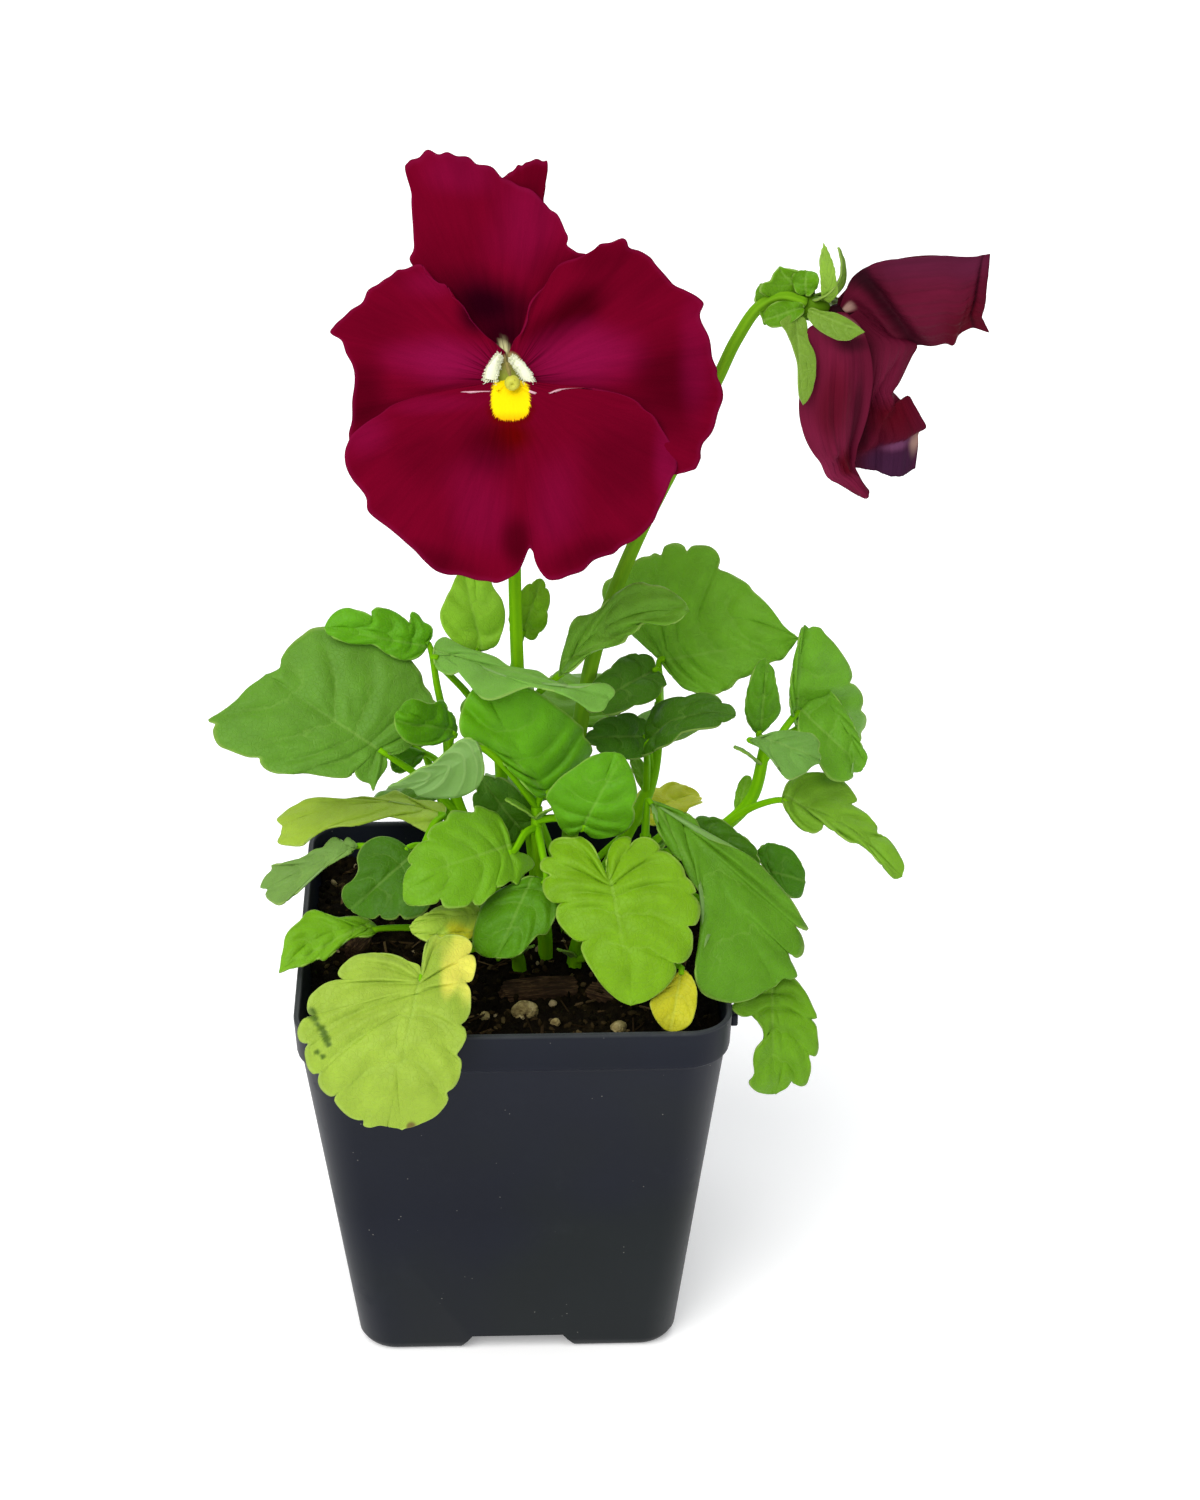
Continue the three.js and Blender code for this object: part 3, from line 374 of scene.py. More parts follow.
def makeCamera():
    bpy.ops.object.camera_add(location=[c * mm for c in view["place"]],
                              rotation=(math.radians(90 - view["down"]), 0, -math.radians(view["turn"])))
    camera = bpy.context.object
    camera.data.lens = view["lens"]
    camera.data.sensor_width = view["sensor"]
    bpy.context.scene.camera = camera


def makeFloor():
    deselectAll()
    bpy.ops.mesh.primitive_plane_add(size=6)
    floor = bpy.context.object
    floor.name = "floor"
    shade = Shade("paleFloor")
    speck = shade.noise(shade.spot(), 9, 4)
    floor.data.materials.append(shade.surface(
        Base_Color=shade.mix(speck, view["floorColour"], [c * 0.985 for c in view["floorColour"]]),
        Roughness=0.75, Emission_Color=(1, 1, 1, 1), Emission_Strength=view["floorGlow"]))


def softLight(name, place, aim, size, power, colour=(1, 1, 1)):
    bpy.ops.object.light_add(type="AREA", location=place)
    light = bpy.context.object
    light.name = name
    light.data.shape = "RECTANGLE"
    light.data.size, light.data.size_y = size
    light.data.energy = power
    light.data.color = colour
    away = np.array(place) - np.array(aim)
    light.rotation_euler = (math.atan2(math.hypot(away[0], away[1]), away[2]), 0,
                            math.atan2(away[0], -away[1]))


def makeLight():
    bpy.ops.object.light_add(type="SUN", rotation=(math.radians(38), 0, math.radians(-28)))
    sun = bpy.context.object
    sun.name = "high_window"
    sun.data.energy = 2.0
    sun.data.angle = math.radians(55)
    sun.data.color = (1.0, 0.99, 0.965)
    softLight("key", (-0.55, -0.75, 1.15), (0, 0, 0.13), (0.9, 0.9), 5, (1.0, 0.985, 0.96))
    softLight("back", (0.25, 0.9, 0.95), (0, 0, 0.15), (1.0, 0.6), 5)
    world = bpy.data.worlds.new("paleRoom")
    world.use_nodes = True
    sky = world.node_tree.nodes["Background"]
    sky.inputs[0].default_value = (*view["sky"], 1)
    sky.inputs[1].default_value = view["skyStrength"]
    bpy.context.scene.world = world
    bpy.context.scene.view_settings.view_transform = "Standard"


makeCamera()
makeFloor()
makeLight()
print("camera, floor and lights placed")


# the pot is a rounded square pulled up from its base, then pulled down inside
pot = {
    "baseHalf": 34, "wallTopHalf": 43.6, "rimHalf": 45, "height": 87.5, "band": 9, "wall": 1.3,
    "floor": 1.6, "corner": 7, "archTop": 19.5, "archFoot": 25, "archHeight": 3.8, "archDepth": 9,
    "drainRadius": 3.5, "drainAt": 19,
    "colour": (0.0048, 0.0066, 0.0138), "greener": (0.0060, 0.0088, 0.0102),
}
bandFoot = pot["height"] - pot["band"]


def wallHalf(z):
    return pot["baseHalf"] + (pot["wallTopHalf"] - pot["baseHalf"]) * z / bandFoot


# a rounded square pulled up through the steps, each a height and a half width
def pulledSquare(name, steps, corner, segments=10):
    (z, half), *rest = steps
    deselectAll()
    bpy.ops.mesh.primitive_plane_add(size=2 * half * mm, location=(0, 0, z * mm))
    piece = bpy.context.object
    piece.name = name
    bpy.ops.object.transform_apply(location=True, rotation=True, scale=True)
    bpy.ops.object.mode_set(mode="EDIT")
    bpy.ops.mesh.select_all(action="SELECT")
    bpy.ops.mesh.bevel(offset=corner * mm, segments=segments, affect="VERTICES")
    bpy.ops.mesh.select_all(action="SELECT")
    for height, width in rest:
        bpy.ops.mesh.extrude_region_move(TRANSFORM_OT_translate={"value": (0, 0, (height - z) * mm)})
        scale = width / half
        bpy.ops.transform.resize(value=(scale, scale, 1), center_override=(0, 0, height * mm))
        z, half = height, width
    bpy.ops.mesh.select_all(action="SELECT")
    bpy.ops.mesh.normals_make_consistent(inside=False)
    bpy.ops.object.mode_set(mode="OBJECT")
    return piece


def archBlocks(grown):
    blocks = []
    for side in range(4):
        deselectAll()
        bpy.ops.mesh.primitive_cube_add(size=2)
        block = bpy.context.object
        points = pointsOf(block)
        half = np.where(points[:, 2] > 0, pot["archTop"] / 2 + grown, pot["archFoot"] / 2 + grown + 1.5)
        x = points[:, 0] * half
        y = np.where(points[:, 1] > 0, pot["archDepth"] + grown - pot["baseHalf"], -pot["baseHalf"] - 20)
        z = np.where(points[:, 2] > 0, pot["archHeight"] + grown, -2)
        turn = side * pi / 2
        place(block, np.stack([x * math.cos(turn) - y * math.sin(turn),
                               x * math.sin(turn) + y * math.cos(turn), z], axis=1) * mm)
        blocks.append(block)
    return join(blocks, "archBlocks")


def cutBy(piece, cutter, operation="DIFFERENCE"):
    applyModifier(piece, "BOOLEAN", object=cutter, operation=operation, solver="EXACT")
    bpy.data.objects.remove(cutter)


def makePot():
    wall, top = pot["wall"], pot["height"]
    body = pulledSquare("pot_shell", [
        (0, wallHalf(0) - 1.6), (0.5, wallHalf(0) - 0.7), (1.2, wallHalf(0) - 0.25), (2.4, wallHalf(2.4)),
        (bandFoot * 0.5, wallHalf(bandFoot * 0.5)), (bandFoot - 0.7, wallHalf(bandFoot)),
        (bandFoot - 0.2, wallHalf(bandFoot) + 0.25), (bandFoot + 0.4, wallHalf(bandFoot) + 0.85),
        (bandFoot + 1.2, wallHalf(bandFoot) + 1.0), (top - 1.0, pot["rimHalf"] - 0.05),
        (top - 0.4, pot["rimHalf"]), (top - 0.1, pot["rimHalf"] - 0.15), (top, pot["rimHalf"] - 0.5)],
        pot["corner"])
    low = pot["floor"]
    cavity = pulledSquare("cavity", [
        (low, wallHalf(low) - wall - 1.5), (low + 1.5, wallHalf(low) - wall),
        (bandFoot, wallHalf(bandFoot) - wall),
        (bandFoot + 1.5, wallHalf(bandFoot) - wall + 0.9), (top - 0.4, pot["rimHalf"] - wall),
        (top + 0.3, pot["rimHalf"] - wall + 0.4)], pot["corner"] - wall)
    cutBy(cavity, archBlocks(wall))
    cutBy(body, cavity)
    cutBy(body, archBlocks(0))
    for x in (-1, 1):
        for y in (-1, 1):
            deselectAll()
            bpy.ops.mesh.primitive_cylinder_add(
                vertices=32, radius=pot["drainRadius"] * mm, depth=10 * mm,
                location=(x * pot["drainAt"] * mm, y * pot["drainAt"] * mm, 0))
            cutBy(body, bpy.context.object)
    deselectAll()
    bpy.ops.mesh.primitive_cube_add(size=1)
    lug = bpy.context.object
    points = pointsOf(lug) * [1.6, 4.6, 2.8] + [pot["rimHalf"] + 0.5, -pot["rimHalf"] + 13, top - 4]
    place(lug, points * mm)
    applyModifier(lug, "BEVEL", width=0.5 * mm, segments=3)
    weldDoubles(body)
    applyModifier(body, "BEVEL", width=0.25 * mm, segments=2, limit_method="ANGLE",
                  angle_limit=math.radians(50))
    piece = join([body, lug], "pot_moulded")
    smooth(piece, 32)
    piece.data.materials.clear()
    piece.data.materials.append(potPlastic())
    return finishPiece(piece, "pot", "pot")


# satin black plastic: a fine grain, faint flow marks and dust, with painted highlights: the rim band a
# little lighter and a pale line along the lip
def potPlastic():
    shade = Shade("potPlastic")
    spot = shade.spot()
    x, y, z = shade.split(spot)
    cloud = shade.noise(spot, 28, 5, 0.6)
    flow = shade.noise(shade.stretched(spot, (260, 260, 22)), 1.0, 4, 0.6)
    grain = shade.noise(spot, 2600, 2)
    fleck = shade.cells(spot, 620)
    dust = shade.step(shade.noise(spot, 95, 4, 0.7), 0.56, 0.78)
    flecks = shade.step(fleck, 0.10, 0.05) * shade.step(shade.noise(spot, 160, 2), 0.60, 0.66)
    rim = shade.step(z, (bandFoot - 1) * mm, (pot["height"] + 2) * mm)
    patch = shade.step(shade.noise(spot, 17, 2), 0.40, 0.62)
    base = shade.scaled(shade.mix(patch, pot["colour"], pot["greener"]), 0.70 + cloud * 0.60)
    # real dust, and the rim band painted a little lighter: a painted highlight
    dustAndBandHighlight = shade.mix(dust * 0.07 + rim * 0.05, base, (0.070, 0.078, 0.086))
    # a pale line along the lip, broken by the dust and flow marks: a painted highlight
    lip = shade.step(z, (pot["height"] - 0.9) * mm, (pot["height"] - 0.1) * mm)
    paleEdge = shade.mix(lip * (0.2 + dust * 0.4 + flow * 0.3), dustAndBandHighlight, (0.075, 0.082, 0.080))
    colour = shade.mix(flecks * 0.55, paleEdge, (0.30, 0.29, 0.26))
    rough = 0.36 + cloud * 0.1 + dust * 0.16 + flow * 0.06
    bumped = shade.bump(flow * 0.6 + grain * 0.12, 0.16, 0.12)
    return shade.surface(Base_Color=colour, Roughness=rough, Normal=bumped, Specular_IOR_Level=0.13)


makePot()
print("pot moulded")


# the soil: a lumpy crust of peat with grains, fibres and chips in it
soil = {"level": 80, "relief": 1.1, "clearance": 0.3, "cells": 150, "grains": 1500, "fibres": 170}


def soilHeight(x, y):
    swell = np.sin(x * 0.11 + 0.6) * np.cos(y * 0.13 - 0.4)
    lumps = np.sin(x * 0.53 + 1.3 * np.sin(y * 0.31)) * np.cos(y * 0.47 + 0.9)
    mound = 1.6 * np.exp(-((x - 8) ** 2 + (y - 3) ** 2) / 300)
    return soil["level"] + soil["relief"] * (0.6 * swell + 0.4 * lumps) + mound


def crust(x, y):
    fine = 0.55 * np.sin(1.7 * x + 2 * np.sin(1.1 * y)) * np.sin(1.5 * y + 1.7 * np.sin(0.9 * x))
    finer = 0.3 * np.sin(4.1 * x + 2.3 * np.sin(3.3 * y)) * np.sin(3.7 * y + 2.1 * np.cos(2.9 * x))
    return soilHeight(x, y) + fine + finer - 0.25


def makeSoil():
    top, u, v = sheet(soil["cells"], soil["cells"])
    x, y = (u - 0.5) * 2 * pot["rimHalf"], (v - 0.5) * 2 * pot["rimHalf"]
    place(top, np.stack([x, y, crust(x, y)], axis=1) * mm)
    activate(top)
    bpy.ops.object.mode_set(mode="EDIT")
    bpy.ops.mesh.select_all(action="SELECT")
    bpy.ops.mesh.extrude_region_move(TRANSFORM_OT_translate={"value": (0, 0, -20 * mm)})
    bpy.ops.transform.resize(value=(1, 1, 0), center_override=(0, 0, 0))
    bpy.ops.mesh.select_all(action="SELECT")
    bpy.ops.mesh.normals_make_consistent(inside=False)
    bpy.ops.object.mode_set(mode="OBJECT")
    wall, low, gap = pot["wall"] + soil["clearance"], pot["floor"] + soil["clearance"], soil["clearance"]
    inside = pulledSquare("inside", [
        (low, wallHalf(low) - wall - 1.5), (low + 1.5, wallHalf(low) - wall),
        (bandFoot, wallHalf(bandFoot) - wall), (bandFoot + 1.5, wallHalf(bandFoot) - wall + 0.9),
        (pot["height"] + 2, pot["rimHalf"] - wall + gap)], pot["corner"] - wall)
    cutBy(top, inside, "INTERSECT")
    cutBy(top, archBlocks(wall))
    top.name = "soil_mix"
    smooth(top, 60)
    top.data.materials.clear()
    top.data.materials.append(peat())
    return finishPiece(top, "soil", "soil")


def peat():
    shade = Shade("peat")
    spot = shade.spot()
    cloud = shade.noise(spot, 210, 6, 0.7)
    patch = shade.noise(spot, 60, 3, 0.6)
    fibre = shade.noise(shade.stretched(spot, (420, 90, 200)), 4, 5, 0.7)
    base = shade.ramp(cloud, (0.3, (0.0014, 0.0010, 0.0004)), (0.5, (0.0050, 0.0035, 0.0012)),
                      (0.62, (0.013, 0.0090, 0.0030)), (0.80, (0.050, 0.035, 0.0120)))
    colour = shade.mix(patch * 0.5, base, (0.006, 0.004, 0.003))
    bumped = shade.bump(cloud + fibre * 0.5, 0.9, 0.9)
    return shade.surface(Base_Color=colour, Roughness=0.93 - patch * 0.12, Normal=bumped,
                         Specular_IOR_Level=0.03)


# copies of one small template, each turned, stretched and roughened in its own way
def scattered(name, template, spots, seed):
    draw = random.Random(seed)
    verts, faces, tones = [], [], []
    shape = pointsOf(template)
    corners = [list(face.vertices) for face in template.data.polygons]
    for x, y, z, size, tone in spots:
        turn, lean = draw.uniform(0, 2 * pi), draw.uniform(-0.6, 0.6)
        knock = np.array([[draw.uniform(0.72, 1.22) for _ in range(3)] for _ in shape])
        body = shape * knock * size
        c, s = math.cos(lean), math.sin(lean)
        body = body @ np.array([[c, 0, s], [0, 1, 0], [-s, 0, c]])
        c, s = math.cos(turn), math.sin(turn)
        body = body @ np.array([[c, -s, 0], [s, c, 0], [0, 0, 1]]) + [x, y, z]
        start = len(verts)
        verts += list(body * mm)
        faces += [[start + k for k in face] for face in corners]
        tones += [tone] * len(shape)
    mesh = bpy.data.meshes.new(name)
    mesh.from_pydata([tuple(v) for v in verts], [], faces)
    piece = bpy.data.objects.new(name, mesh)
    bpy.context.scene.collection.objects.link(piece)
    paint(piece, "tone", np.array(tones))
    bpy.data.objects.remove(template)
    return piece


def insideSoil(draw, margin):
    half = wallHalf(bandFoot) - pot["wall"] - margin
    while True:
        x, y = draw.uniform(-half, half), draw.uniform(-half, half)
        corner = half - 6
        if abs(x) < corner or abs(y) < corner or math.hypot(abs(x) - corner, abs(y) - corner) < 6:
            return x, y


def makeGrains():
    draw = random.Random(41)
    tones = [(0.004, 0.003, 0.001), (0.010, 0.007, 0.002), (0.026, 0.017, 0.006), (0.07, 0.05, 0.020),
             (0.24, 0.19, 0.10)]
    weights = [38, 32, 19, 7, 4]
    spots = []
    for _ in range(soil["grains"]):
        x, y = insideSoil(draw, 1.2)
        size = np.array([draw.uniform(0.35, 1.15) * draw.uniform(0.6, 1) for _ in range(3)])
        tone = draw.choices(tones, weights)[0]
        spots.append((x, y, float(crust(x, y)) + 0.1 * size[2], size, tone))
    deselectAll()
    bpy.ops.mesh.primitive_ico_sphere_add(subdivisions=2, radius=1)
    grains = scattered("soil_grains", bpy.context.object, spots, 42)
    grains.data.materials.append(grainFinish("soilGrain", 0.9))
    smooth(grains, 50)
    return finishPiece(grains, "soil", "soil")


def makeFibres():
    draw = random.Random(77)
    spots = []
    for _ in range(soil["fibres"]):
        x, y = insideSoil(draw, 3.5)
        size = np.array([draw.uniform(1.4, 3.4), draw.uniform(0.16, 0.42), draw.uniform(0.14, 0.3)])
        tone = draw.choice([(0.022, 0.013, 0.005), (0.050, 0.030, 0.012), (0.010, 0.006, 0.002),
                            (0.095, 0.062, 0.028)])
        spots.append((x, y, float(crust(x, y)) + 0.25, size, tone))
    deselectAll()
    bpy.ops.mesh.primitive_cylinder_add(vertices=7, radius=1, depth=2, rotation=(0, pi / 2, 0))
    bpy.ops.object.transform_apply(location=True, rotation=True, scale=True)
    fibres = scattered("soil_fibres", bpy.context.object, spots, 78)
    fibres.data.materials.append(grainFinish("soilFibre", 0.85))
    smooth(fibres, 50)
    return finishPiece(fibres, "soil", "soil")


def grainFinish(name, rough):
    shade = Shade(name)
    spot = shade.spot()
    mottle = shade.noise(spot, 1400, 4, 0.7)
    tone = shade.attribute("tone", "Color")
    colour = shade.scaled(tone, 0.55 + mottle * 0.9)
    return shade.surface(Base_Color=colour, Roughness=rough, Specular_IOR_Level=0.04,
                         Normal=shade.bump(mottle, 0.6, 0.3))


makeSoil()
makeGrains()
makeFibres()
print("soil filled in")


# crumbs of pumice and chips of bark, each in its place in the soil
crumbs = [
    {"name": "pumice_large", "at": (2.3, -23.6), "size": (2.9, 2.2, 2.3), "turn": 0.3},
    {"name": "pumice_right", "at": (21.7, -30.7), "size": (2.0, 1.6, 1.5), "turn": 1.1},
    {"name": "pumice_left", "at": (-6, -26.2), "size": (1.2, 1.0, 1.1), "turn": 0.7},
    {"name": "pumice_middle", "at": (8.8, -27.6), "size": (1.0, 1.1, 0.9), "turn": 2.0},
    {"name": "pumice_back", "at": (-24, 31), "size": (1.8, 1.4, 1.3), "turn": 0.4},
    {"name": "pumice_side", "at": (36, 14), "size": (1.5, 1.9, 1.3), "turn": 1.9},
]
chips = [
    {"name": "bark_front", "at": (6, -15.8), "size": (8, 2.6, 2.2), "turn": 0.12},
    {"name": "bark_front_small", "at": (18.8, -18), "size": (3.4, 1.7, 1.8), "turn": -0.5},
    {"name": "bark_left", "at": (-33, 2), "size": (3.4, 2.0, 3.2), "turn": 1.2},
    {"name": "bark_left_front", "at": (-30, -20), "size": (3.8, 1.8, 1.6), "turn": 0.25},
    {"name": "bark_right", "at": (34.5, -20), "size": (3.6, 2.0, 2.4), "turn": 1.35},
    {"name": "bark_back", "at": (12, 34), "size": (4.4, 2.1, 1.8), "turn": -0.3},
]


def turned(points, turn):
    c, s = math.cos(turn), math.sin(turn)
    return points @ np.array([[c, s, 0], [-s, c, 0], [0, 0, 1]])


def wobble(points, pitch, seed):
    x, y, z = (points * pitch + seed).T
    return (np.sin(x + 1.7 * np.sin(y)) + np.sin(1.3 * y + 1.9 * np.sin(z))
            + np.sin(1.1 * z + 1.5 * np.sin(x))) / 3


def makeCrumb(crumb, seed):
    deselectAll()
    bpy.ops.mesh.primitive_ico_sphere_add(subdivisions=5, radius=1)
    piece = bpy.context.object
    points = pointsOf(piece)
    rough = 1 + 0.10 * wobble(points, 2.6, seed) + 0.05 * wobble(points, 7.5, seed + 3)
    pits = np.clip(wobble(points, 17, seed + 9) - 0.25, 0, 1)
    points = points * (rough - 0.13 * pits)[:, None] * np.array(crumb["size"])
    x, y = crumb["at"]
    place(piece, (turned(points, crumb["turn"]) + [x, y, float(soilHeight(x, y)) + 0.15]) * mm)
    smooth(piece)
    piece.name = crumb["name"] + "_crumb"
    piece.data.materials.append(pumiceFinish)
    return finishPiece(piece, "pumice", crumb["name"])


def makeChip(chip, seed):
    deselectAll()
    bpy.ops.mesh.primitive_cube_add(size=2)
    piece = bpy.context.object
    editAll(piece, lambda: bpy.ops.mesh.subdivide(number_cuts=23))
    points = pointsOf(piece)
    outward = unit(points)
    points = points * 0.72 + outward * 0.36
    grain = wobble(points * [0.35, 3.4, 3.4], 3.2, seed)
    grain += 0.6 * wobble(points * [0.6, 6, 6], 4.1, seed + 5)
    points = points * (1 + 0.10 * wobble(points, 1.7, seed + 2))[:, None] + outward * (0.07 * grain)[:, None]
    points = points * np.array(chip["size"]) * 0.96
    x, y = chip["at"]
    points[:, 2] += 0.25 * points[:, 1]
    level = float(soilHeight(x, y)) - chip["size"][2] * 0.15
    place(piece, (turned(points, chip["turn"]) + [x, y, level]) * mm)
    note(piece, "grain", np.stack([points[:, 0] * 0.12, points[:, 1], points[:, 2]], axis=1))
    smooth(piece, 60)
    piece.name = chip["name"] + "_chip"
    piece.data.materials.append(barkFinish)
    return finishPiece(piece, "bark", chip["name"])


def makePumiceFinish():
    shade = Shade("pumice")
    spot = shade.spot()
    cloud = shade.noise(spot, 420, 4, 0.6)
    pits = shade.cells(spot, 1900)
    colour = shade.ramp(cloud, (0.3, (0.11, 0.080, 0.028)), (0.5, (0.27, 0.215, 0.085)),
                        (0.68, (0.46, 0.39, 0.19)))
    dirty = shade.mix(shade.step(shade.noise(spot, 700, 3), 0.5, 0.7) * 0.6, colour, (0.06, 0.04, 0.02))
    return shade.surface(Base_Color=dirty, Roughness=0.9, Specular_IOR_Level=0.1,
                         Normal=shade.bump(pits, 0.7, 0.25))


def makeBarkFinish():
    shade = Shade("bark")
    run = shade.attribute("grain")
    streak = shade.noise(run, 2.6, 6, 0.65, 0.4)
    cloud = shade.noise(shade.spot(), 260, 4)
    colour = shade.ramp(streak, (0.32, (0.008, 0.004, 0.002)), (0.48, (0.034, 0.017, 0.007)),
                        (0.6, (0.085, 0.048, 0.022)), (0.75, (0.17, 0.11, 0.055)))
    dark = shade.mix(shade.step(cloud, 0.42, 0.62) * 0.7, colour, (0.02, 0.011, 0.006))
    return shade.surface(Base_Color=dark, Roughness=0.86, Specular_IOR_Level=0.1,
                         Normal=shade.bump(streak, 0.8, 0.5))


pumiceFinish = makePumiceFinish()
barkFinish = makeBarkFinish()
for seed, crumb in enumerate(crumbs):
    makeCrumb(crumb, seed)
for seed, chip in enumerate(chips):
    makeChip(chip, seed + 20)
print("crumbs and chips laid")


